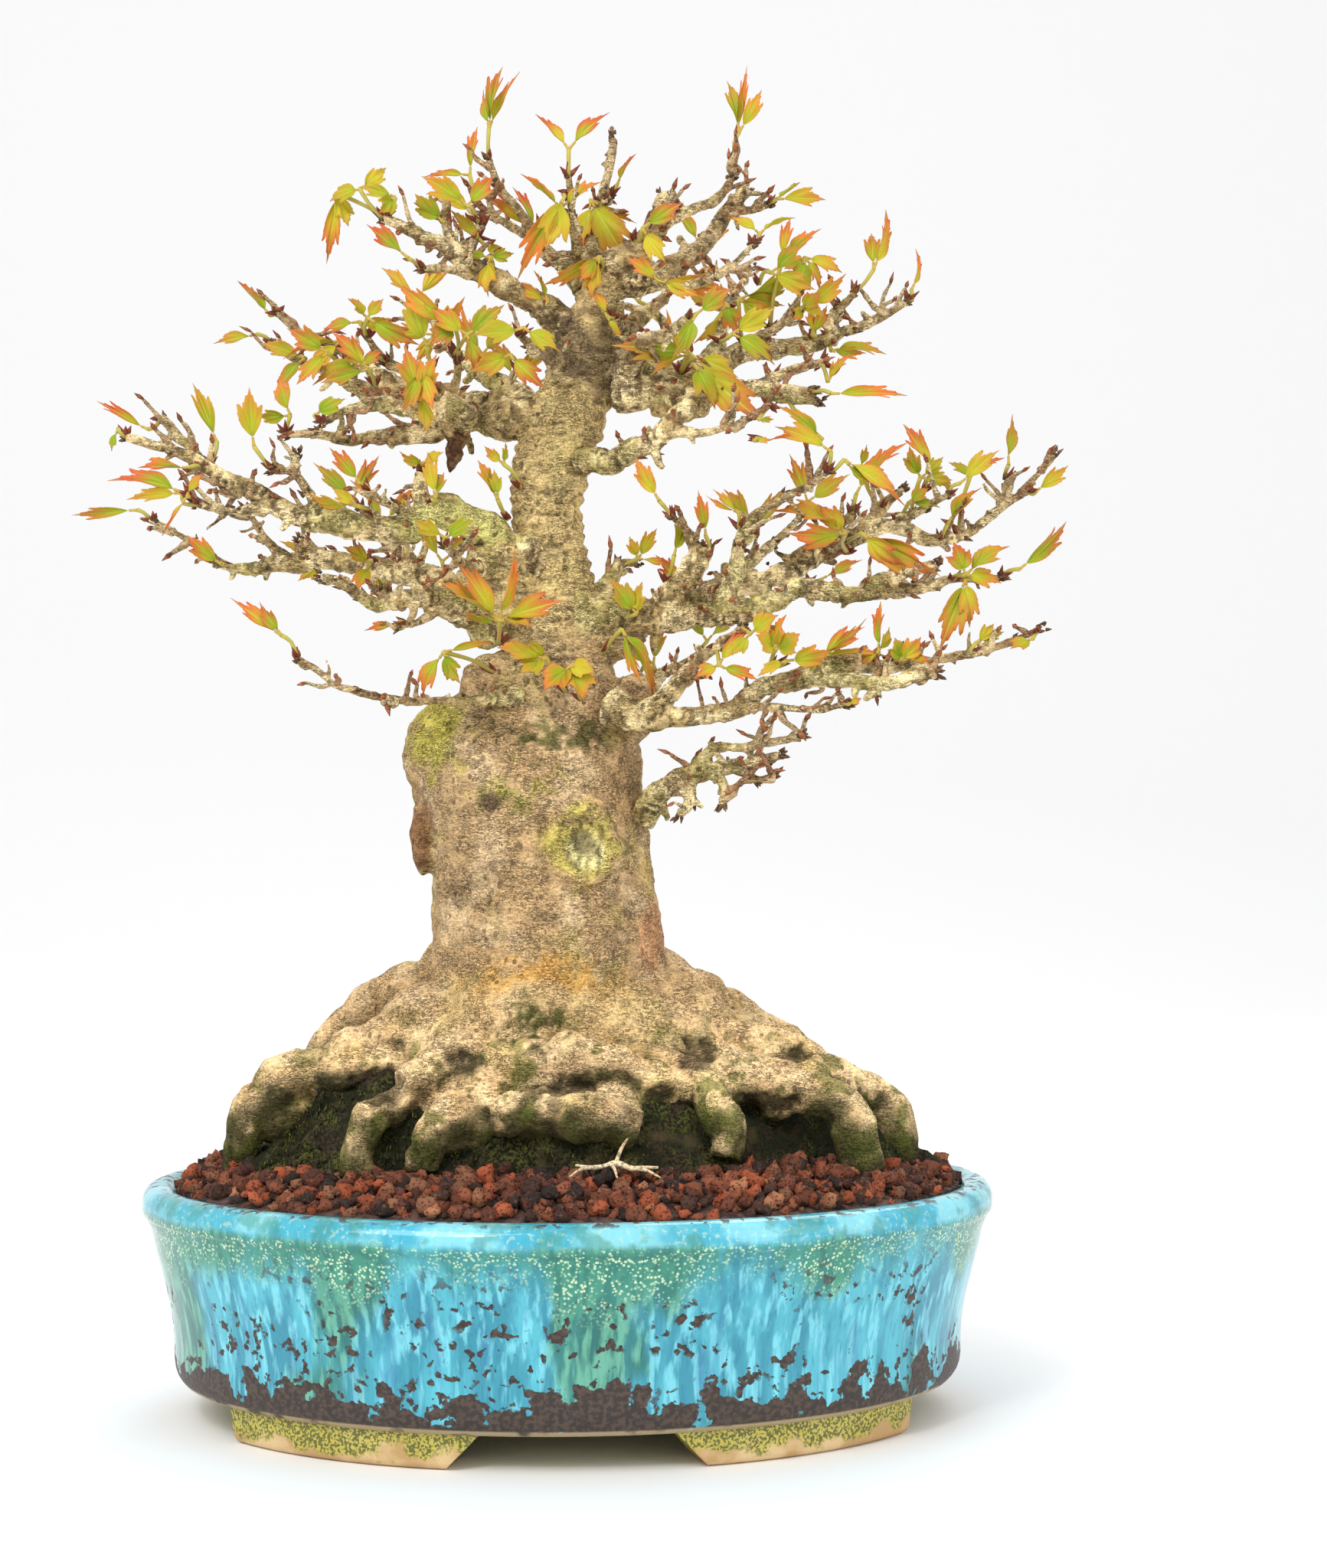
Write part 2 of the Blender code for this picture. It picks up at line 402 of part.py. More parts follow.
def tidy(obj):
    """Merge stray points, keep the largest closed piece and turn its faces outwards."""
    shell = bmesh.new()
    shell.from_mesh(obj.data)
    bmesh.ops.remove_doubles(shell, verts=shell.verts, dist=0.0000002)
    shell.verts.ensure_lookup_table()
    unseen = set(shell.verts)
    groups = []
    while unseen:
        front = [unseen.pop()]
        group = set(front)
        while front:
            vertex = front.pop()
            for edge in vertex.link_edges:
                far = edge.other_vert(vertex)
                if far in unseen:
                    unseen.discard(far)
                    group.add(far)
                    front.append(far)
        groups.append(group)
    groups.sort(key=len, reverse=True)
    strays = [v for group in groups[1:] for v in group]
    bmesh.ops.delete(shell, geom=strays, context='VERTS')
    bmesh.ops.triangulate(shell, faces=shell.faces)
    bmesh.ops.recalc_face_normals(shell, faces=shell.faces)
    shell.to_mesh(obj.data)
    shell.free()


def tube(points, radii, sides, squash=1.0):
    """Points and faces of a tapered tube along a path, closed by flat ends."""
    rings = []
    start = (points[1] - points[0]).normalized()
    across = start.cross(Vector((0.0, 1.0, 0.0)))
    if across.length < 0.2:
        across = start.cross(Vector((1.0, 0.0, 0.0)))
    for i, point in enumerate(points):
        before = points[max(i - 1, 0)]
        after = points[min(i + 1, len(points) - 1)]
        along = (after - before).normalized()
        across = (across - along * across.dot(along)).normalized()
        up = across.cross(along)
        for k in range(sides):
            angle = 2.0 * math.pi * (k + 0.5) / sides
            offset = across * math.cos(angle) + up * math.sin(angle) * squash
            rings.append(point + offset * radii[i])
    return rings, rings_to_faces(len(points), sides)


def append_shape(points, faces, shape):
    """Add one shape's points and faces to running lists."""
    first = len(points)
    points.extend(shape[0])
    faces.extend(tuple(first + k for k in face) for face in shape[1])


# ---------------------------------------------------------------- the pot

def pot_inner_rings(extra_inset, lift):
    """Inner wall of the pot from just under the lip to the floor, as inset and height pairs."""
    lip = POT_HEIGHT - SOIL_BELOW_RIM
    floor = FOOT_HEIGHT + POT_FLOOR
    return [
        (RIM_ROLL + 1.1 + extra_inset, lip),
        (WAIST_INSET + POT_WALL - 3.4 + extra_inset, POT_HEIGHT - 16.0),
        (WAIST_INSET + POT_WALL + extra_inset, FOOT_HEIGHT + 17.0),
        (BASE_INSET + POT_WALL + 1.0 + extra_inset, floor + 3.0 + lift),
        (BASE_INSET + POT_WALL + 5.0 + extra_inset, floor + lift),
    ]


def make_pot():
    """Oval bowl with a rolled rim, four feet and two drain holes, fired as one piece."""
    base = FOOT_HEIGHT
    top = POT_HEIGHT
    profile = [
        (BASE_INSET + 22.0, base),
        (BASE_INSET + 1.2, base),
        (BASE_INSET - 1.6, base + 1.1),
        (WAIST_INSET + 0.4, base + 3.6),
        (WAIST_INSET, base + 7.5),
        (WAIST_INSET + 0.1, base + 12.0),
        (WAIST_INSET - 0.7, base + 17.0),
        (WAIST_INSET - 3.6, base + 29.0),
        (2.5, top - 11.0),
        (1.2, top - RIM_DROP - 1.4),
        (0.1, top - RIM_DROP),
        (0.0, top - RIM_DROP + 3.0),
        (0.9, top - 1.6),
        (2.9, top - 0.2),
        (RIM_ROLL - 1.6, top),
        (RIM_ROLL + 0.4, top - 0.9),
    ]
    profile += [(inset, height) for inset, height in pot_inner_rings(0.0, 0.0)][1:]
    profile.append((BASE_INSET + POT_WALL + 22.0, base + POT_FLOOR))
    points = []
    for inset, height in profile:
        points.extend(inset_oval(inset, height))
    pot = add_object("pot", points, rings_to_faces(len(profile), AROUND))
    for side in (1, -1):
        for end in (1, -1):
            combine(pot, make_foot(side, end), 'UNION')
    for end in (1, -1):
        hole = add_object("hole", oval_at(end * DRAIN_SPACING / 2, DRAIN_RADIUS, base - 5.0)
                          + oval_at(end * DRAIN_SPACING / 2, DRAIN_RADIUS, base + POT_FLOOR + 5.0),
                          rings_to_faces(2, 16))
        combine(pot, hole, 'DIFFERENCE')
    tidy(pot)
    paint(pot, "turquoise_glaze", (0.10, 0.50, 0.55), 0.12)


def oval_at(x, radius, height):
    """A level circle of sixteen points about x."""
    return [(x + px, py, pz) for px, py, pz in oval(radius, radius, height, 16)]


def make_foot(side, end):
    """A short block that follows the pot's outline, with a slanted inner end."""
    outer_inset = BASE_INSET + 0.9
    inner_inset = outer_inset + FOOT_SIDE
    steps = 7
    points = []
    for i in range(steps + 1):
        share = i / steps
        ring = []
        for inset, height in ((outer_inset, 0.0), (outer_inset - 0.6, FOOT_HEIGHT + FOOT_SINK),
                              (inner_inset, FOOT_HEIGHT + FOOT_SINK), (inner_inset, 0.0)):
            start = FOOT_INNER_BOTTOM
            if height > 0.0:
                start = FOOT_INNER_TOP
            x = start + (FOOT_OUTER - start) * share
            half_length = RIM_HALF_LENGTH - outer_inset
            y = (RIM_HALF_WIDTH - outer_inset) * math.sqrt(1.0 - (x / half_length) ** 2)
            inward = inset - outer_inset
            normal = Vector((x / half_length ** 2, y / (RIM_HALF_WIDTH - outer_inset) ** 2))
            normal.normalize()
            ring.append((end * (x - inward * normal.x), side * (y - inward * normal.y), height))
        points.extend(ring)
    return add_object("foot", points, rings_to_faces(steps + 1, 4))


# ---------------------------------------------------------------- gravel and moss

def soil_height(x, y):
    """Height of the gravel: level at the rim, a low mound inside it."""
    reach = (x / (RIM_HALF_LENGTH - RIM_ROLL - 2.0)) ** 2 + (y / (RIM_HALF_WIDTH - RIM_ROLL - 2.0)) ** 2
    reach = min(reach, 1.0)
    return POT_HEIGHT - SOIL_BELOW_RIM + SOIL_RISE * (1.0 - reach ** 3)


def moss_reach(angle):
    """How far the moss mound runs out at an angle, as a share of its half sizes."""
    return 1.0 + 0.06 * math.sin(3 * angle + 1.0) + 0.04 * math.sin(5 * angle + 2.0)


def moss_height(x, y):
    """Height of the moss mound, or None outside it."""
    angle = math.atan2(y / MOSS_HALF_WIDTH, x / MOSS_HALF_LENGTH)
    share = math.hypot(x / MOSS_HALF_LENGTH, y / MOSS_HALF_WIDTH) / moss_reach(angle)
    if share > 1.0:
        return None
    return soil_height(x, y) + GAP + MOSS_EDGE + MOSS_RISE * (1.0 - share ** 2) ** 0.8


def soil_body(name, extra):
    """The gravel as one solid, its top raised by extra."""
    around = AROUND
    points = [(0.0, 0.0, soil_height(0, 0) + extra)]
    rings = (0.4, 0.68, 0.88)
    half_length = RIM_HALF_LENGTH - RIM_ROLL - 1.1 - GAP
    half_width = RIM_HALF_WIDTH - RIM_ROLL - 1.1 - GAP
    for share in rings:
        for x, y, z in oval(half_length * share, half_width * share, 0.0):
            points.append((x, y, soil_height(x, y) + extra))
    wall = pot_inner_rings(GAP, GAP)
    wall[0] = (wall[0][0], wall[0][1] + extra)
    for inset, height in wall:
        points.extend(inset_oval(inset, height))
    faces = [(0, 1 + k, 1 + (k + 1) % around) for k in range(around)]
    count = len(rings) + len(wall)
    for face in rings_to_faces(count, around):
        if len(face) == 4 or face[0] != 0:
            faces.append(tuple(1 + k for k in face))
    return add_object(name, points, faces)


def make_soil():
    """Gravel that fills the pot to the rim."""
    soil = soil_body("soil", 0.0)
    for end in (1, -1):
        side = MESH_SIDE + 2 * GAP
        top = FOOT_HEIGHT + POT_FLOOR + GAP + MESH_THICK + GAP
        combine(soil, add_box("pocket", (end * DRAIN_SPACING / 2, 0, top - 4.0),
                              (side, side, 8.0)), 'DIFFERENCE')
    combine(soil, make_core("core_room", GAP), 'DIFFERENCE')
    tidy(soil)
    paint(soil, "lava_gravel", (0.28, 0.17, 0.14), 0.95)


def moss_body(name, extra):
    """The moss mound as one solid, swollen by extra on every side."""
    around = 32
    rings = (0.42, 0.66, 0.82, 0.93, 0.985)
    turn = 2.0 * math.pi / around
    top = []
    bottom = []
    for share in rings:
        for k in range(around):
            angle = k * turn
            reach = moss_reach(angle) * share
            x = MOSS_HALF_LENGTH * reach * math.cos(angle)
            y = MOSS_HALF_WIDTH * reach * math.sin(angle)
            spread = 1.0 + extra * share / math.hypot(x, y)
            top.append((x * spread, y * spread, moss_height(x, y) + extra))
            bottom.append((x * spread, y * spread, soil_height(x, y) + GAP - extra))
    points = [(0.0, 0.0, moss_height(0, 0) + extra)] + top
    low_first = len(points)
    points += bottom + [(0.0, 0.0, soil_height(0, 0) + GAP - extra)]
    faces = []
    for k in range(around):
        nxt = (k + 1) % around
        faces.append((0, 1 + k, 1 + nxt))
        faces.append((len(points) - 1, low_first + nxt, low_first + k))
        for ring in range(len(rings) - 1):
            a = 1 + ring * around
            faces.append((a + k, a + around + k, a + around + nxt, a + nxt))
            b = low_first + ring * around
            faces.append((b + k, b + nxt, b + around + nxt, b + around + k))
        edge = (len(rings) - 1) * around
        faces.append((1 + edge + k, low_first + edge + k, low_first + edge + nxt, 1 + edge + nxt))
    return add_object(name, points, faces)


def make_moss():
    """Mound of moss and dark earth between the roots, lying on the gravel."""
    moss = moss_body("moss", 0.0)
    combine(moss, make_core("core_room", GAP), 'DIFFERENCE')
    tidy(moss)
    paint(moss, "moss_green", (0.10, 0.13, 0.04), 0.95)


def make_core(name, extra):
    """The root ball under the trunk: a tapered oval plug, optionally larger by a clearance."""
    shapes = []
    bottom = soil_height(0, 0) - CORE_DEPTH
    for height, share in ((bottom - extra, CORE_TAPER), (bottom + 12.0, CORE_TAPER + 0.2),
                          (CORE_TOP, 1.0)):
        half_length = CORE_HALF_LENGTH * share + extra
        half_width = CORE_HALF_WIDTH * share + extra
        shapes.extend((x - 7.0, y, z) for x, y, z in oval(half_length, half_width, height, 28))
    return add_object(name, shapes, rings_to_faces(3, 28))


def add_box(name, centre, size):
    """A plain block."""
    points = [(centre[0] + sx * size[0] / 2, centre[1] + sy * size[1] / 2, centre[2] + sz * size[2] / 2)
              for sz in (-1, 1) for sx, sy in ((-1, -1), (1, -1), (1, 1), (-1, 1))]
    return add_object(name, points, rings_to_faces(2, 4))


def make_drainage_mesh(name, x):
    """A square plastic screen over a drain hole."""
    centre = (x, 0.0, FOOT_HEIGHT + POT_FLOOR + GAP + MESH_THICK / 2)
    screen = add_box(name, centre, (MESH_SIDE, MESH_SIDE, MESH_THICK))
    pitch = MESH_SLOT + MESH_RIB
    count = int((MESH_SIDE - 2 * MESH_RIB) // pitch)
    first = -(count - 1) / 2 * pitch
    for i in range(count):
        slot = add_box("slot", (x + first + i * pitch, 0.0, centre[2]),
                       (MESH_SLOT, MESH_SIDE - 5.0, 4.0))
        combine(screen, slot, 'DIFFERENCE')
    bar = add_box("bar", centre, (MESH_SIDE - 2.0, MESH_RIB, MESH_THICK))
    combine(screen, bar, 'UNION')
    tidy(screen)
    paint(screen, name + "_plastic", (0.03, 0.03, 0.03), 0.5)


# ---------------------------------------------------------------- the wood

def make_wood():
    """Trunk, roots, branches and twigs as one grown piece."""
    points = []
    faces = []
    sides = 20
    rings = []
    for x, z, depth, half_width, half_depth in TRUNK:
        middle = place(x, z, depth)
        for k in range(sides):
            angle = 2.0 * math.pi * k / sides
            bump = 1.0 + 0.035 * math.sin(3 * angle + z * 0.05) + 0.03 * math.sin(5 * angle - z * 0.04)
            rings.append(middle + Vector((half_width * math.cos(angle) * bump * TRUNK_SCALE,
                                          half_depth * math.sin(angle) * bump * TRUNK_SCALE, 0.0)))
    append_shape(points, faces, (rings, rings_to_faces(len(TRUNK), sides)))
    for x, z, depth, rx, rz, ry in SWELLINGS:
        middle = place(x, z, depth)
        spindle = [middle + Vector((0, 0, rz * c)) for c in (-1.0, -0.8, -0.4, 0.0, 0.4, 0.8, 1.0)]
        widths = [0.05, 0.6, 0.92, 1.0, 0.92, 0.6, 0.05]
        ball = []
        for point, width in zip(spindle, widths):
            ball.extend(point + Vector((rx * width * math.cos(math.pi * k / 6),
                                        ry * width * math.sin(math.pi * k / 6), 0)) for k in range(12))
        append_shape(points, faces, (ball, rings_to_faces(7, 12)))
    for path in ROOTS:
        middle = [place(x, z, depth) for x, z, depth, radius in path]
        append_shape(points, faces, tube(middle, [p[3] * TRUNK_SCALE for p in path], 10))
    for path in BRANCHES.values():
        middle = [place(x, z, depth) for x, z, depth, radius in path]
        radii = [max(p[3] * TWIG_SCALE, THINNEST_TWIG) for p in path]
        append_shape(points, faces, tube(middle, radii, 9))
    wood = add_object("tree_wood", points, faces)
    skin = wood.modifiers.new("skin", 'REMESH')
    skin.mode = 'VOXEL'
    skin.voxel_size = WOOD_VOXEL * MM
    apply_modifiers(wood)
    thin = wood.modifiers.new("thin", 'DECIMATE')
    thin.ratio = WOOD_TRIANGLES / sum(len(p.vertices) - 2 for p in wood.data.polygons)
    apply_modifiers(wood)
    tidy(wood)
    combine(wood, moss_body("moss_room", WOOD_GAP), 'DIFFERENCE')
    combine(wood, soil_body("soil_room", WOOD_GAP), 'DIFFERENCE')
    tidy(wood)
    combine(wood, make_core("core", 0.0), 'UNION')
    tidy(wood)
    paint(wood, "maple_bark", (0.42, 0.36, 0.27), 0.85)
    return wood


# ---------------------------------------------------------------- leaves

def blade(neck, tip, half_width, thick):
    """A young leaf: a diamond section carried from neck to tip, widest a third of the way along."""
    along = (tip - neck)
    facing = Vector((0.0, -1.0, 0.25))
    across = along.cross(facing).normalized()
    up = across.cross(along).normalized()
    points = []
    shares = (-0.02, 0.22, 0.5, 0.78, 1.0)
    widths = (0.28, 0.95, 0.85, 0.45, 0.12)
    for share, width in zip(shares, widths):
        middle = neck + along * share + up * math.sin(share * math.pi) * 0.6
        half = half_width * width
        lift = thick * (0.4 + 0.6 * width)
        points += [middle - across * half, middle + up * lift, middle + across * half,
                   middle - up * lift * 0.5]
    return points, rings_to_faces(len(shares), 4)


def grow_room(wood):
    """A copy of the wood, swollen by the clearance, that keeps the leaves clear of it."""
    room = bpy.data.objects.new("room", wood.data.copy())
    bpy.context.collection.objects.link(room)
    normals = [v.normal.copy() for v in room.data.vertices]
    for vertex, normal in zip(room.data.vertices, normals):
        vertex.co = vertex.co + normal * WOOD_GAP * MM
    return room


def make_shoot(name, path, room, number):
    """A leaf stalk with its young leaves, standing on a twig."""
    base = place(*path[0])
    neck = place(*path[1])
    middle = (base + neck) / 2 + Vector((0.0, 0.0, 0.3))
    inside = base - (neck - base).normalized() * 0.4
    shoot = add_object(name, *tube([inside, middle, neck + (neck - base).normalized() * 0.5],
                                   [STALK_RADIUS, STALK_RADIUS, STALK_RADIUS + 0.15], 4))
    for leaf in path[2:]:
        tip = place(*leaf[:3])
        piece = add_object("leaf", *blade(neck, tip, leaf[3], LEAF_THICK))
        combine(shoot, piece, 'UNION')
    trim_by(shoot, room)
    tidy(shoot)
    paint(shoot, name + "_leaf", (0.48, 0.46 - 0.004 * number, 0.06), 0.5)


def trim_by(obj, room):
    """Cut away what would touch the wood, keeping the cutter for the next piece."""
    step = obj.modifiers.new("trim", 'BOOLEAN')
    step.operation = 'DIFFERENCE'
    step.solver = 'EXACT'
    step.object = room
    apply_modifiers(obj)


def make_dried_leaf(room):
    """A curled brown leaf of last year caught under the left tier."""
    points = [place(*p) for p in DRIED_LEAF]
    shape = tube(points, [0.8, 4.2, 2.4], 6, 0.35)
    leaf = add_object("dried_leaf", *shape)
    trim_by(leaf, room)
    tidy(leaf)
    paint(leaf, "dried_leaf_brown", (0.10, 0.05, 0.03), 0.7)


def make_rootlet():
    """A pale loose root lying on the gravel."""
    path = []
    for x, y in ROOTLET:
        path.append(Vector((x, y, soil_height(x, y) + GAP + 0.25 + ROOTLET_RADIUS)))
    piece = add_object("loose_rootlet", *tube(path, [0.5, 0.7, 0.7, 0.7, 0.4], 6))
    tidy(piece)
    paint(piece, "pale_root", (0.66, 0.55, 0.36), 0.8)


def main():
    for obj in list(bpy.data.objects):
        bpy.data.objects.remove(obj, do_unlink=True)
    make_pot()
    make_soil()
    make_moss()
    for name, side in (("drainage_mesh_left", -1), ("drainage_mesh_right", 1)):
        make_drainage_mesh(name, side * DRAIN_SPACING / 2)
    make_rootlet()
    wood = make_wood()
    room = grow_room(wood)
    for number, (name, path) in enumerate(SHOOTS.items()):
        make_shoot(name, path, room, number)
    make_dried_leaf(room)
    bpy.data.objects.remove(room, do_unlink=True)


main()
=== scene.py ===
"""Potted maple bonsai: detailed pot, grown wood, young leaves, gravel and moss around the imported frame."""
import math

import bpy
import numpy as np
from bpy.props import FloatProperty, FloatVectorProperty, IntProperty, PointerProperty
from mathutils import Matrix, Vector


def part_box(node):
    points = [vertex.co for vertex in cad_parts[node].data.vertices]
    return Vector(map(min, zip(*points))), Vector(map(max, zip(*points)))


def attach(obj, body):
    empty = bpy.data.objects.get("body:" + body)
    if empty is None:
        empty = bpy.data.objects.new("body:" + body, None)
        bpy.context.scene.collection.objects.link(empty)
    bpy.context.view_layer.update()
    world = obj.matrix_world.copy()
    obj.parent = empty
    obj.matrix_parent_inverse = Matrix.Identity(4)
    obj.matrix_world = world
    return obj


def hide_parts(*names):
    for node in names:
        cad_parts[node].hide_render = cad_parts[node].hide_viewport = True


bl_info = {
    "name": "Maple bonsai in an oval pot",
    "version": (1, 0, 0),
    "blender": (4, 5, 0),
    "location": "3D View > Sidebar > Bonsai",
    "description": "Builds a small maple bonsai with young leaves in a glazed oval pot",
    "category": "Object",
}

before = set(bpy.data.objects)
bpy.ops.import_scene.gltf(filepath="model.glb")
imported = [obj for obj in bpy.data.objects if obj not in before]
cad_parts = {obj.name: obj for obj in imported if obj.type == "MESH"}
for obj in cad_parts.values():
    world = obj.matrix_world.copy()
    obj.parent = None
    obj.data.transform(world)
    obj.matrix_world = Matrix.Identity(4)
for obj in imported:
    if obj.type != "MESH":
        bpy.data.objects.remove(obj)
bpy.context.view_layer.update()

# Lengths are in mm unless a comment says metres
MM = 0.001
EYE_DISTANCE = 645.0
EYE_HEIGHT = 140.0
MOSS_HALF_LENGTH = 87.0
MOSS_HALF_WIDTH = 48.5
MOSS_RISE = 21.0
DRAIN_RADIUS = 7.0
DRAIN_REACH = 42.0
TRUNK_RING_STEP = 2.0
TRUNK_SIDES = 48
SWELLING_RINGS = 11
SWELLING_SIDES = 20
_, POT_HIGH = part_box("pot")
RIM_HALF_LENGTH = POT_HIGH[0] / MM
RIM_HALF_WIDTH = POT_HIGH[1] / MM
POT_HEIGHT = POT_HIGH[2] / MM

# Steps along the centre lines of roots, branches, spurs and the finest parts, in metres
ROOT_STEP = 0.0015
BRANCH_STEP = 0.0011
SPUR_STEP = 0.0008
FINE_STEP = 0.0006
SPUR_SPACING = 0.0075
TWIG_SPACING = 0.0052
LEAF_THICKNESS = 0.00016

# Trunk outline: middle x, height, depth, half width, half depth (mm, front elevation)
TRUNK = [
    (-8, 62, 0, 43, 33),
    (-8, 86, 0, 39, 30),
    (-7, 96, 0, 34, 27),
    (-5, 106, -1, 30, 25),
    (-6.5, 121, -2, 28.8, 24),
    (-8.5, 136, -2, 27.6, 24),
    (-12, 156, -1, 29.3, 25),
    (-12, 166, 0, 29, 24),
    (-12, 173, 1, 25, 21),
    (-7, 181, 2, 19, 17),
    (-3, 190, 2, 14.5, 13),
    (-2, 200, 2, 12, 11),
    (-3.5, 210, 1, 9, 9),
    (-4, 218, 0, 7.5, 8),
    (-6, 227, 0, 8.5, 8.5),
    (-4.5, 237, 0, 9.5, 9),
    (-2, 246, 0, 10.5, 9),
    (1, 256, 0, 10, 9),
    (4, 266, 0, 8.5, 8),
    (6, 276, 0, 6.5, 6.5),
    (8, 285, 0, 5.5, 5.5),
    (12, 291, 0, 4.5, 4.5),
]

# Swellings on the trunk: x, height, depth, half width, half height, half depth
SWELLINGS = [
    (2, 141, -21, 12, 13, 7),
    (-19, 208, -4, 10, 12, 9),
    (-30, 164, -2, 13, 14, 16),
    (-14, 98, -20, 16, 14, 12),
    (14, 92, -16, 15, 14, 12),
    (-30, 88, -12, 14, 12, 14),
    (12, 196, 0, 8, 8, 9),
    (-29, 70, -37, 10, 7.5, 9),
    (-37.5, 144, -5, 3, 11, 5),
    (-9, 73, -37, 9, 9, 10),
    (8, 72.5, -38, 9, 8.5, 9),
    (0, 81, -31, 18, 8, 10),
    (50, 82, -20, 16, 6, 10),
    (-52, 84, -14, 14, 6, 10),
    (-73, 74, -6, 11, 8, 9),
    (16, 176, -6, 7, 9, 8),
    (-20, 182, -4, 8, 7, 10),
    (-8, 230, 0, 8, 20, 8),
    (28, 256, 0, 9, 7, 8),
]

# Mossy hollows between the front roots: x, height, half width, half height
HOLLOWS = [(-50, 80, 8, 5), (-27, 86, 5, 3.5), (31, 88, 6, 5), (50, 75, 10, 3.5), (-66, 92, 5, 3),
           (22, 78, 5, 3.5), (-4, 79.5, 12, 1.8), (58, 88, 6, 2.5)]

# Roots: points of x, height, depth, radius
ROOTS = [
    [(-28, 112, 10, 9), (-38, 104, 16, 7.5), (-50, 98, 20, 6.5), (-60, 89, 24, 5.5), (-65, 76, 26, 4.5),
     (-66, 66, 27, 4)],
    [(-30, 99, -8, 11), (-43, 94, -10, 7.4), (-57, 88.5, -12, 5.8), (-71, 82, -13, 5), (-79, 76, -13, 4.8),
     (-83, 68, -12, 4.6), (-84, 57, -11, 4.4)],
    [(-20, 94, -18, 10), (-32, 85, -27, 6.8), (-43, 78.5, -32, 5.4), (-51, 73, -36, 5),
     (-54.5, 66, -38, 4.8), (-54.5, 57, -39, 4.6)],
    [(-20, 72, -42, 5), (-10, 74, -45, 6.4), (0, 73, -47, 6.2), (9, 71, -47, 6), (16, 68, -45, 5)],
    [(-34, 84, -26, 6), (-18, 86, -32, 6.4), (0, 85, -37, 6.4), (16, 82, -36, 5.6), (28, 80, -32, 5),
     (44, 78, -28, 4.6)],
    [(-14, 86, -22, 9), (-23, 77, -35, 7), (-31, 72, -41, 6), (-37, 67, -44, 5.4), (-38.5, 58, -45, 5)],
    [(20, 92, -14, 9), (28, 84, -27, 6.4), (35, 77, -36, 5), (39, 70, -41, 4.6), (38, 61, -43, 4.2)],
    [(20, 97, -10, 10), (30, 88, -18, 8), (46, 81, -25, 6.6), (60, 77, -29, 6), (69, 73, -31, 5.6),
     (73, 66, -33, 5.4), (74, 56, -33, 5)],
    [(22, 105, -4, 10), (36, 93, -8, 7.6), (50, 88, -10, 6.4), (62, 84, -11, 5.8), (75, 78, -10, 5.4),
     (82, 69, -9, 5), (84, 58, -8, 4.5)],
    [(18, 110, 10, 9), (32, 101, 16, 7.5), (46, 94, 20, 6.2), (60, 86, 25, 5.4), (68, 75, 29, 4.6),
     (70, 63, 30, 4)],
    [(-10, 96, 20, 12), (-16, 84, 32, 9.5), (-22, 74, 42, 7), (-26, 62, 50, 5)],
    [(8, 94, 20, 11), (18, 82, 32, 9), (28, 74, 42, 7), (34, 62, 50, 5)],
    [(-26, 92, 18, 10), (-40, 80, 30, 8), (-52, 70, 38, 6), (-60, 60, 42, 4.6)],
]

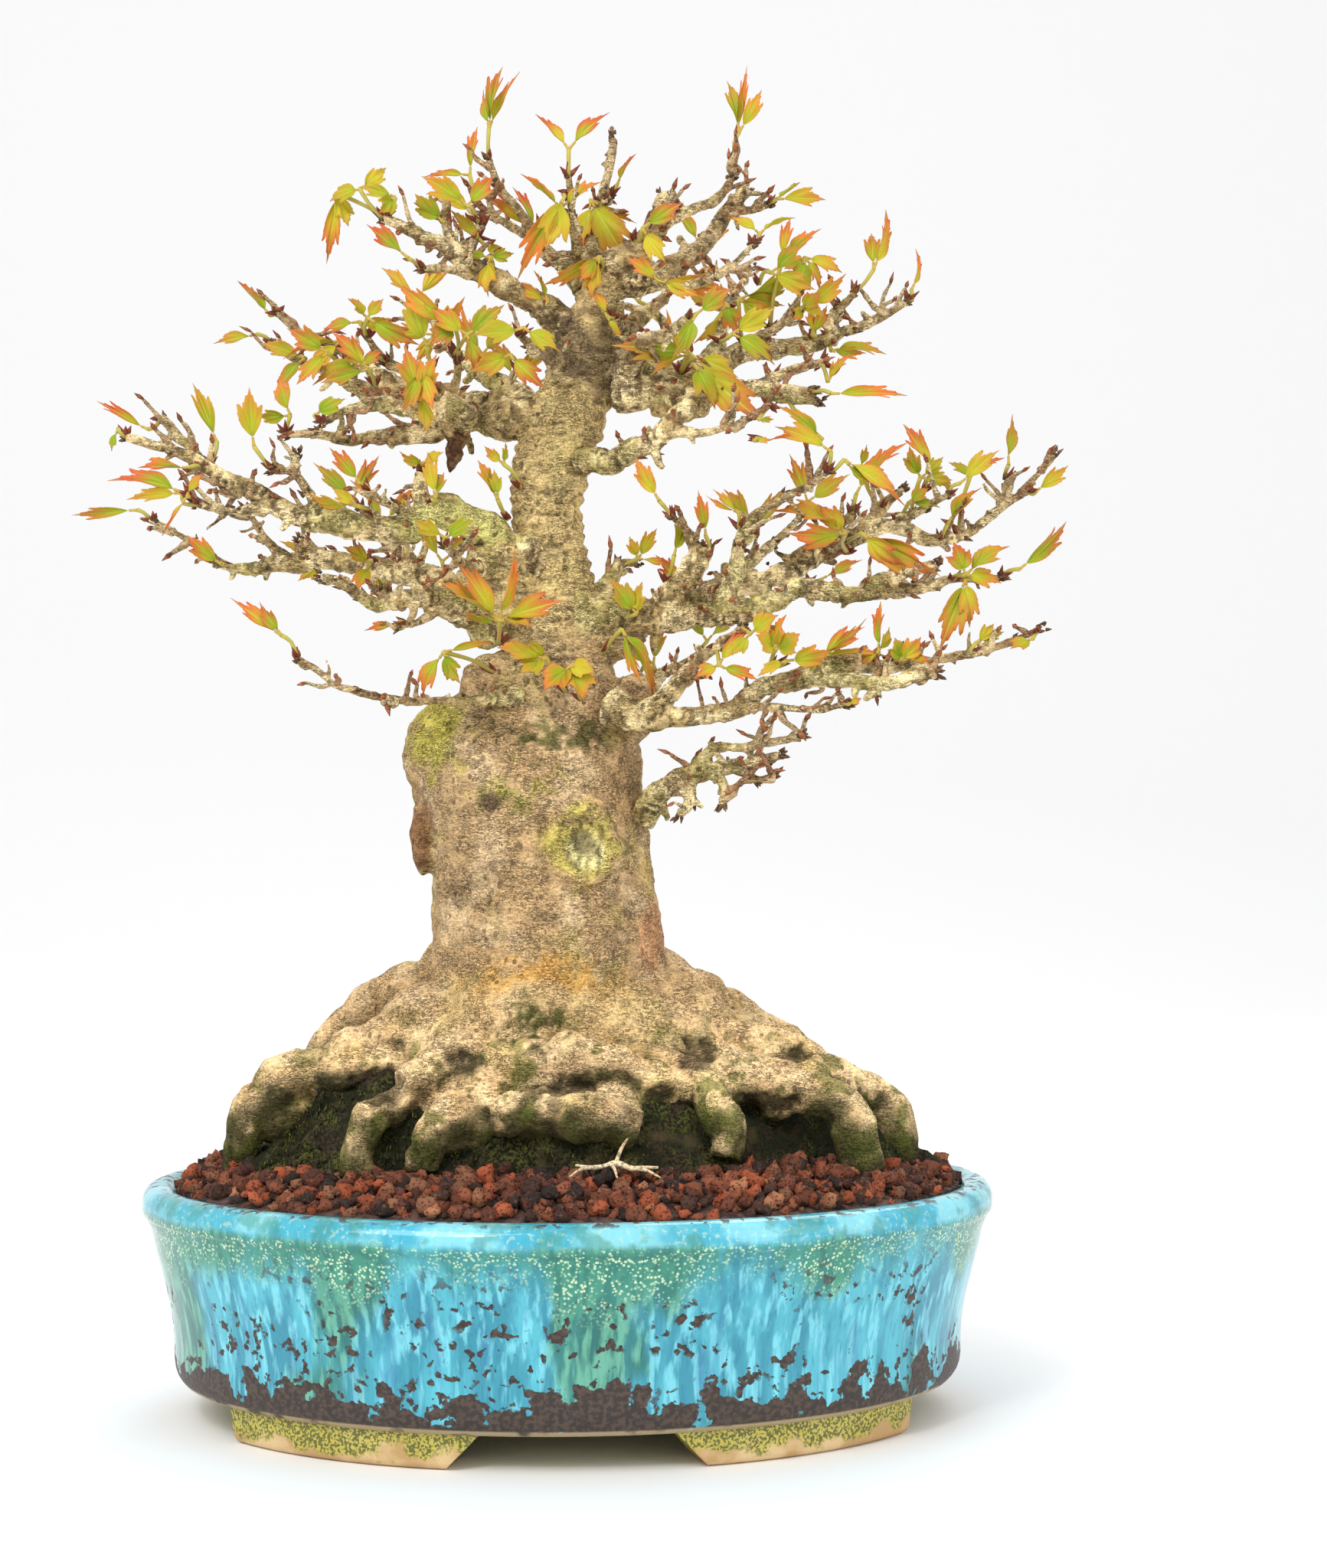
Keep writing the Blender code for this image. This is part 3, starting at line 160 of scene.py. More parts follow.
# Branches: points of x, height, depth, radius
BRANCHES = {
    "right_base_bough": [(18, 148, -8, 4), (24, 154, -14, 3), (30, 159, -17, 2.4), (37, 160.5, -20, 2),
        (45, 161.5, -22, 1.6), (53, 164, -24, 1.1)],
    "right_base_drop": [(30, 158, -17, 2), (30, 152, -20, 1.6), (27, 148.5, -21, 1.1)],
    "right_base_fork": [(35, 160, -19, 1.9), (39, 155.5, -21, 1.4), (38, 151, -22, 1)],
    "right_base_tip": [(41, 161, -21, 1.5), (47, 157.5, -22, 1.1), (52, 159, -23, 0.9)],
    "right_base_rise": [(29, 158, -17, 2), (36, 165, -21, 1.6), (46, 166, -24, 1.4), (58, 169, -27, 1.1)],
    "left_main": [(-10, 212, 0, 8), (-18, 216, -4, 6.5), (-24, 221, -7, 5), (-31, 225, -9, 4.3),
        (-37, 224, -11, 4.2), (-43, 221, -13, 4.2), (-51, 222, -15, 4), (-60, 223, -17, 4),
        (-69, 225, -19, 3.2), (-78, 227, -20, 2.9), (-86, 232, -21, 2.5), (-93, 237, -22, 2),
        (-101, 240, -23, 1.6), (-108, 242.5, -24, 1.4), (-113, 244, -24, 1.2)],
    "left_main_fork": [(-84, 231, -21, 2), (-92, 237, -17, 1.7), (-97, 243, -14, 1.5),
        (-104, 249, -12, 1.3)],
    "left_main_spur": [(-78, 226, -20, 2), (-85, 225.5, -24, 1.3), (-95, 227, -28, 1)],
    "left_main_riser": [(-65, 224, -18, 2), (-67.5, 230, -20, 1.5), (-70, 235, -22, 1.3),
        (-76, 236, -24, 1)],
    "left_main_riser_tip": [(-70, 235, -22, 1.2), (-70, 240, -22, 0.9)],
    "left_main_stub": [(-36, 224, -11, 3), (-39, 230, -13, 2.2), (-39, 236, -14, 1.5)],
    "left_main_twig": [(-41, 224, -13, 1.8), (-46, 227.5, -18, 1.2), (-52, 230.5, -22, 0.9)],
    "left_lower": [(-14, 203, 2, 8), (-27, 204, 6, 5), (-35, 207, 10, 3.6), (-43, 209.5, 12, 3.2),
        (-51, 212, 14, 3), (-58, 213, 15, 3), (-66, 212.5, 16, 2.9), (-74, 212, 17, 2.7),
        (-80, 211, 18, 2.2), (-86, 211.5, 18, 1.5), (-91, 214.5, 18, 1.1), (-98, 219, 17, 1),
        (-105, 222.5, 16, 0.9)],
    "left_lower_cross": [(-71, 213, 17, 1.8), (-76, 217, 15, 1.3), (-79, 221, 12, 1.2), (-82, 226, 8, 1)],
    "left_lower_stub": [(-63, 214, 16, 1.5), (-68, 218, 18, 1.2)],
    "left_bottom": [(-20, 198, 0, 7), (-31, 202, -10, 3.6), (-38, 203, -16, 2.8), (-44, 202.5, -20, 2.4),
        (-48.5, 201, -22, 2.2), (-54, 204, -24, 1.8), (-59, 207.5, -25, 1.6), (-64, 209, -26, 1.2)],
    "left_bottom_spur": [(-48, 201, -22, 1.8), (-48, 206, -23, 1)],
    "left_bottom_twig": [(-33, 201, -12, 1.6), (-39, 198, -18, 1.1), (-44, 196.5, -22, 0.9)],
    "left_thin": [(-14, 179, -16, 2.6), (-24, 177.8, -22, 1.5), (-34, 177.5, -26, 1.25),
        (-45, 178, -29, 1.2), (-54, 180, -30, 1.15), (-60, 181.5, -30, 1.1), (-65, 185, -30, 1.05),
        (-70, 188, -30, 1)],
    "left_tier": [(-4, 250, 0, 7), (-16, 250, 2, 5.5), (-27, 249, 4, 4), (-37, 247, 6, 3),
        (-47, 245.5, 8, 2.4), (-56, 244.5, 9, 1.9), (-64, 245.5, 10, 1.4), (-72, 245, 10, 1.1)],
    "left_tier_upper": [(-22, 252, 4, 4), (-34, 254, 12, 3.4), (-44, 257, 18, 2.8), (-54, 257, 24, 2.3),
        (-61, 261, 28, 1.6), (-69, 264, 31, 1.2), (-75, 268, 32, 1)],
    "left_tier_front": [(-26, 250, 0, 3.5), (-38, 252, -14, 2.6), (-48, 252, -22, 2.2),
        (-57, 251, -28, 1.5), (-64, 248, -32, 1)],
    "left_tier_riser": [(-40, 256, 16, 2.4), (-50, 262, 20, 1.8), (-60, 268, 22, 1.5),
        (-68, 271.5, 22, 1.4), (-74, 276, 22, 1.1)],
    "left_tier_top": [(-30, 254, 6, 2.4), (-40, 260, 2, 1.8), (-47, 264, -2, 1.4), (-52, 270, -4, 1)],
    "left_tier_spur": [(-32, 252, 0, 2), (-30, 259, -8, 1.4), (-29, 264, -12, 1)],
    "crown_left": [(0, 272, 0, 5), (-9, 279, -2, 3.8), (-19, 283, -4, 3.4), (-25, 288, -5, 3),
        (-31, 293, -6, 2.5), (-38, 296.5, -6, 2.1), (-44, 299, -6, 1.7), (-48, 300.5, -6, 1.4)],
    "crown_left_low": [(-25, 287, -5, 2), (-31, 287, -10, 1.4), (-38, 288, -14, 1)],
    "crown_left_stub": [(-30, 292, -6, 1.8), (-32, 299, -4, 1.4), (-32, 307, -3, 1.2)],
    "crown_left_twig": [(-28, 291, -5, 1.8), (-24, 296, 2, 1.2), (-22.5, 299, 6, 1)],
    "crown_mid_left": [(4, 284, 0, 3.5), (-3, 290, 6, 2.4), (-10, 296, 12, 1.8), (-18, 300, 16, 1.4),
        (-24, 305, 18, 1)],
    "crown_mid_red": [(-8, 295, 10, 1.6), (-14, 304, 6, 1.3), (-19, 310, 4, 1.1), (-21, 316, 4, 1)],
    "crown_front_twig": [(4, 286, 0, 3), (1, 294, -8, 1.8), (-0.5, 303, -12, 1.2), (-1, 312, -13, 1)],
    "crown_top": [(6, 286, 0, 3.4), (6, 296, 4, 2.6), (8, 305, 6, 1.9), (10, 313, 7, 1.4),
        (11, 322, 7, 1.2)],
    "crown_top_bud": [(7, 303, 6, 1.5), (10, 307, 12, 1)],
    "crown_right_stub": [(10, 288, 0, 4.6), (17, 293, -4, 4.2), (21, 299, -6, 3.4), (23.5, 307.5, -7, 2.3)],
    "crown_right_knob": [(22, 298, -6, 2.4), (26, 304.5, -8, 1.8)],
    "crown_right_twig": [(23, 300, -6, 2), (31, 304, -2, 1.6), (37, 307, 0, 1.5), (41, 312, 1, 1.2),
        (42, 319, 1, 1)],
    "crown_right": [(8, 284, 2, 4.5), (18, 287, 8, 3.8), (28, 291, 12, 3.2), (35, 297, 14, 2.7),
        (41, 304, 15, 2.2), (45.5, 309.5, 16, 1.8)],
    "crown_right_side": [(42, 304, 15, 1.4), (47, 304, 17, 1.1), (51, 305.5, 18, 0.9)],
    "crown_right_low": [(12, 285, 0, 3.4), (20, 285.5, -5, 2.4), (28, 285, -10, 1.6), (36, 287, -14, 1.2),
        (42, 291, -16, 1), (46, 295, -16, 0.9)],
    "right_tier": [(4, 262, 0, 7), (16, 262, 4, 5.6), (28, 262, 8, 4.6), (39, 264, 11, 3.6),
        (50, 268, 13, 3.2), (59, 270, 14, 2.8), (66, 272, 15, 2.4), (73, 274, 16, 1.8), (80, 277, 17, 1.4),
        (87, 281, 18, 1.1)],
    "right_tier_riser": [(66, 273, 15, 1.9), (69, 279, 13, 1.4), (73, 283, 11, 1)],
    "right_tier_mid": [(44, 267, 12, 2.2), (51, 273, 6, 1.7), (58, 277, 2, 1.1)],
    "right_tier_back": [(36, 264, 11, 2.8), (38, 273, 24, 2), (42, 281, 34, 1.5), (47, 289, 42, 1)],
    "right_tier_low": [(12, 257, -2, 5), (24, 256, -8, 3.8), (36, 257, -14, 3), (47, 258, -18, 2.4),
        (56, 256, -21, 1.9), (63, 255, -23, 1.2)],
    "right_tier_low_fork": [(46, 258, -18, 1.8), (55, 262, -16, 1.6), (64, 265, -14, 1.2)],
    "right_tier_low_tip": [(52, 257.5, -20, 1.4), (61, 257.5, -24, 1)],
    "right_brace": [(2, 239, -6, 3.6), (13, 241, -14, 3.2), (21, 245, -20, 3.1), (27, 251, -22, 2.8),
        (34, 256, -20, 2.4)],
    "right_brace_twig": [(25, 247, -22, 2), (32, 246, -27, 1.2), (39, 248, -31, 1), (46, 251, -34, 0.9)],
    "right_mid": [(4, 199, -2, 7), (16, 199.5, -8, 4.6), (27, 200, -11, 3.5), (40, 199.5, -13, 3.1),
        (50, 203, -15, 2.9), (60, 206, -16, 2.8), (70, 206, -17, 2.6), (80, 206, -18, 2.4),
        (88, 207, -18, 2), (96, 209, -18, 1.4), (104, 209.2, -18, 1.1), (110, 210, -18, 0.9)],
    "right_mid_stub": [(24, 202, -10, 4), (30, 209, -13, 3.6), (34, 216, -15, 2.6)],
    "right_mid_twig": [(33, 215, -15, 1.8), (29, 221, -17, 1.2), (25.5, 224.5, -19, 0.9)],
    "right_mid_riser": [(38, 201, -13, 3), (41, 209, -15, 2.4), (42.5, 218, -17, 1.9), (47, 226, -20, 1.6),
        (54, 230.5, -23, 1.3), (61, 233.5, -26, 1), (65, 236.5, -28, 0.9)],
    "right_mid_upper": [(30, 202, -8, 3.6), (42, 207, 2, 3.4), (52, 211, 6, 3.3), (62, 215, 9, 3.1),
        (71, 219, 11, 2.9), (79, 223, 12, 2.7), (86, 222.5, 13, 2.4), (93, 219, 13, 1.9),
        (101, 220.5, 12, 1.6), (108, 225.5, 11, 1.4), (113, 229.5, 10, 1.3), (118, 232, 10, 1)],
    "right_mid_upper_cut": [(116, 231.5, 10, 1.1), (125, 241.5, 10, 0.9)],
    "right_mid_upper_riser": [(111, 228, 11, 1.2), (112.5, 235, 10, 0.9)],
    "right_mid_upper_twig": [(84, 224, 12, 1.8), (91, 227, 7, 1.2), (97, 231, 3, 0.9)],
    "right_mid_upper_top": [(76, 222, 12, 2), (80, 228, 20, 1.5), (86, 232.5, 26, 1)],
    "right_mid_upper_front": [(58, 214, 7, 2.2), (66, 221, -1, 1.6), (72, 226, -6, 1.1)],
    "right_mid_low_stub": [(76, 207, -18, 2.2), (84, 211, -22, 1.8), (93, 213, -25, 1.5)],
    "right_low": [(10, 176, -14, 5), (20, 173, -20, 3.2), (32, 173.5, -24, 2.9), (39, 176, -26, 2.8),
        (47, 180.5, -28, 3), (58, 183, -29, 3.2), (69, 187, -30, 3), (79, 187, -31, 2.5),
        (88, 187, -31, 1.8), (97, 189, -31, 1.3), (106, 191, -31, 1.15), (113, 193.5, -31, 1.1),
        (120, 196.5, -31, 1)],
    "right_low_riser": [(18, 174, -19, 3), (25, 180, -23, 2.5), (30, 187, -26, 2.1), (36, 192, -29, 1.7),
        (43, 196.5, -32, 1.1)],
    "right_low_spur": [(28, 184, -25, 1.6), (34, 184.5, -30, 1)],
    "right_low_knob": [(56, 183, -29, 2.4), (70, 184, -34, 2.2), (81, 183, -38, 2.3), (93, 185, -40, 1.7)],
    "right_low_under": [(38, 175, -26, 1.8), (50, 176, -34, 1.1), (62, 176, -40, 1), (69, 177, -42, 0.9)],
    "right_base": [(18, 150, -4, 4), (26, 156, -10, 2), (34, 158, -14, 1.4), (42, 160, -17, 1.2),
        (50, 162, -19, 1)],
    "right_trunk_twig": [(8, 205, -2, 3), (12, 212, 4, 1.6), (17, 213, 8, 1)],
    "back_left": [(-14, 205, 6, 6), (-24, 206, 20, 4.2), (-33, 209, 33, 3.2), (-41, 214, 44, 2.4),
        (-47, 220, 54, 1.6), (-52, 226, 61, 1)],
    "back_left_fork": [(-33, 209, 33, 2.4), (-46, 209, 38, 1.7), (-58, 212, 44, 1)],
    "back_right": [(4, 195, 4, 6), (18, 197, 22, 4.2), (31, 203, 37, 3.2), (43, 210, 49, 2.3),
        (53, 218, 58, 1.5), (60, 225, 64, 1)],
    "back_right_fork": [(31, 203, 37, 2.4), (48, 203, 42, 1.7), (62, 208, 47, 1)],
    "back_low": [(0, 172, 12, 5), (12, 178, 30, 3.2), (24, 184, 43, 2.2), (34, 190, 54, 1)],
    "back_high_left": [(-8, 248, 4, 5), (-16, 256, 18, 3.4), (-24, 263, 32, 2.5), (-31, 270, 44, 1.6),
        (-36, 277, 53, 1)],
    "back_high_right": [(6, 262, 4, 4.5), (12, 270, 18, 3.2), (20, 277, 31, 2.4), (27, 284, 42, 1.6),
        (32, 291, 50, 1)],
    "front_high": [(0, 262, -4, 4), (-6, 266, -16, 2.6), (-11, 268, -26, 1.8), (-14, 271, -34, 1)],
    "front_right_high": [(14, 262, -4, 3.6), (19, 270, -18, 2.2), (24, 272, -28, 1.6), (29, 276, -34, 1)],
    "front_left_mid": [(-22, 213, -8, 4), (-25, 212, -20, 2.4), (-29, 213, -31, 1.6), (-33, 217, -40, 1)],
}

# Shoots: foot, neck, then each leaf with its tip and half width
SHOOTS = {
    "shoot_01": [(-21, 316, 4), (-21, 324, 4), (-19.5, 341.5, 3, 2.4), (-14.5, 340, 5, 2),
        (-23, 334, 4, 1.8)],
    "shoot_02": [(-24, 305, 18), (-25.5, 312, 19), (-24, 325, 20, 2), (-37, 311.5, 19, 2)],
    "shoot_03": [(-1, 312, -13), (-1, 319, -13), (-9.5, 328, -12, 2), (8.5, 330, -14, 2.4)],
    "shoot_04": [(10, 307, 12), (12, 310, 13), (16, 319, 15, 1.8)],
    "shoot_05": [(42, 319, 1), (43, 324, 1), (41.5, 338.5, 1, 2.6), (45, 341, 4, 1.6), (49, 335.5, -2, 2.4)],
    "shoot_06": [(51, 305.5, 18), (53, 307, 18), (59.5, 311, 20, 2.2), (66, 307.5, 18, 3)],
    "shoot_07": [(-48, 300.5, -6), (-54, 308, -6), (-47, 314, -6, 2.6), (-62, 306, -6, 3)],
    "shoot_08": [(-38, 288, -14), (-42, 290.5, -16), (-53, 298.5, -19, 3)],
    "shoot_09": [(-22.5, 299, 6), (-25, 302, 7), (-33, 309, 8, 2.4)],
    "shoot_10": [(-74, 276, 22), (-76, 275.5, 23), (-84.5, 283.5, 24, 2.8)],
    "shoot_11": [(-75, 268, 32), (-79, 270.5, 33), (-90, 268, 34, 2.2)],
    "shoot_12": [(-52, 270, -4), (-54, 274, -5), (-64, 272, -6, 2.8), (-44, 272, -6, 2.6)],
    "shoot_13": [(-29, 264, -12), (-30, 273, -16), (-46, 284.5, -19, 3.2), (-36, 269, -21, 3)],
    "shoot_14": [(-14, 271, -34), (-13, 273, -36), (-26, 270, -39, 4.2), (-4, 267, -38, 3)],
    "shoot_15": [(-113, 244, -24), (-115, 246, -24), (-117, 240.5, -24, 1.6)],
    "shoot_16": [(-104, 249, -12), (-107, 246, -9), (-120, 253, -7, 1.8)],
    "shoot_17": [(-95, 227, -28), (-99, 230, -29), (-117, 236.5, -31, 3), (-113, 228, -32, 2.4)],
    "shoot_18": [(-105, 222.5, 16), (-109, 225.5, 16), (-125.5, 224, 16, 2)],
    "shoot_19": [(-76, 236, -24), (-81, 242, -26), (-82, 257, -28, 3.6)],
    "shoot_20": [(-92, 237, -17), (-90, 243, -14), (-96, 259, -11, 2.8)],
    "shoot_21": [(-52, 230.5, -22), (-54, 232.5, -23), (-62, 242, -25, 2.4)],
    "shoot_22": [(-72, 245, 10), (-71, 250, 10), (-80, 249.5, 9, 2.2), (-74, 260, 12, 2.8)],
    "shoot_23": [(-64, 248, -32), (-66, 250, -34), (-59, 254.5, -37, 2.6)],
    "shoot_24": [(-70, 188, -30), (-74, 194, -30), (-87, 203, -30, 2), (-80, 202, -33, 2)],
    "shoot_25": [(-39, 236, -14), (-38, 238, -16), (-44, 240, -20, 2), (-33, 241, -18, 2)],
    "shoot_26": [(-33, 217, -40), (-33, 219, -42), (-41, 224, -46, 2.4), (-26, 224, -46, 2.4)],
    "shoot_27": [(87, 281, 18), (88, 284, 18), (92, 294.5, 19, 1.9)],
    "shoot_28": [(73, 283, 11), (78, 289, 10), (83.5, 304.5, 9, 3), (77.5, 300, 12, 2.4)],
    "shoot_29": [(58, 277, 2), (60, 279, 1), (71, 288, -1, 3)],
    "shoot_30": [(46, 295, -16), (48, 298, -16), (56, 304, -17, 2.4), (40, 303, -16, 2)],
    "shoot_31": [(61, 257.5, -24), (66, 257, -26), (86, 258, -28, 2.4)],
    "shoot_32": [(65, 236.5, -28), (66, 242, -30), (53, 249.5, -33, 2.6)],
    "shoot_33": [(72, 226, -6), (73, 231, -7), (84, 247, -8, 3.6)],
    "shoot_34": [(112.5, 235, 10), (113, 239, 10), (113, 252, 10, 3)],
    "shoot_35": [(118, 232, 10), (120, 232, 10), (128.5, 239, 10, 2.2)],
    "shoot_36": [(97, 231, 3), (100, 234, 2), (110, 243.5, 0, 2.8)],
    "shoot_37": [(110, 210, -18), (115, 212, -18), (129.5, 224, -18, 2.8)],
    "shoot_38": [(104, 209.2, -18), (101, 209.5, -22), (95, 192, -27, 4), (102, 197, -25, 3)],
    "shoot_39": [(120, 196.5, -31), (118, 194, -33), (112, 191, -36, 2.4)],
    "shoot_40": [(43, 196.5, -32), (45, 195, -35), (52, 200, -38, 3.6), (40, 189, -38, 2.4)],
    "shoot_41": [(25.5, 224.5, -19), (22, 229, -20), (15.5, 240, -22, 2.8)],
    "shoot_42": [(34, 216, -15), (34, 220, -17), (32, 232, -20, 2.2)],
    "shoot_43": [(-52, 226, 61), (-54, 229, 63), (-64, 238, 68, 3), (-47, 240, 66, 2.6)],
    "shoot_44": [(60, 225, 64), (62, 229, 66), (72, 236, 70, 3), (58, 241, 68, 2.6)],
    "shoot_45": [(34, 190, 54), (36, 193, 57), (45, 200, 62, 3), (30, 204, 60, 2.4)],
    "shoot_46": [(-36, 277, 53), (-38, 280, 55), (-47, 288, 59, 3), (-30, 291, 57, 2.6)],
    "shoot_47": [(32, 291, 50), (34, 295, 52), (42, 302, 56, 2.8), (27, 306, 54, 2.4)],
    "shoot_48": [(29, 276, -34), (31, 277, -36), (40, 284, -41, 3), (26, 266, -42, 3)],
}

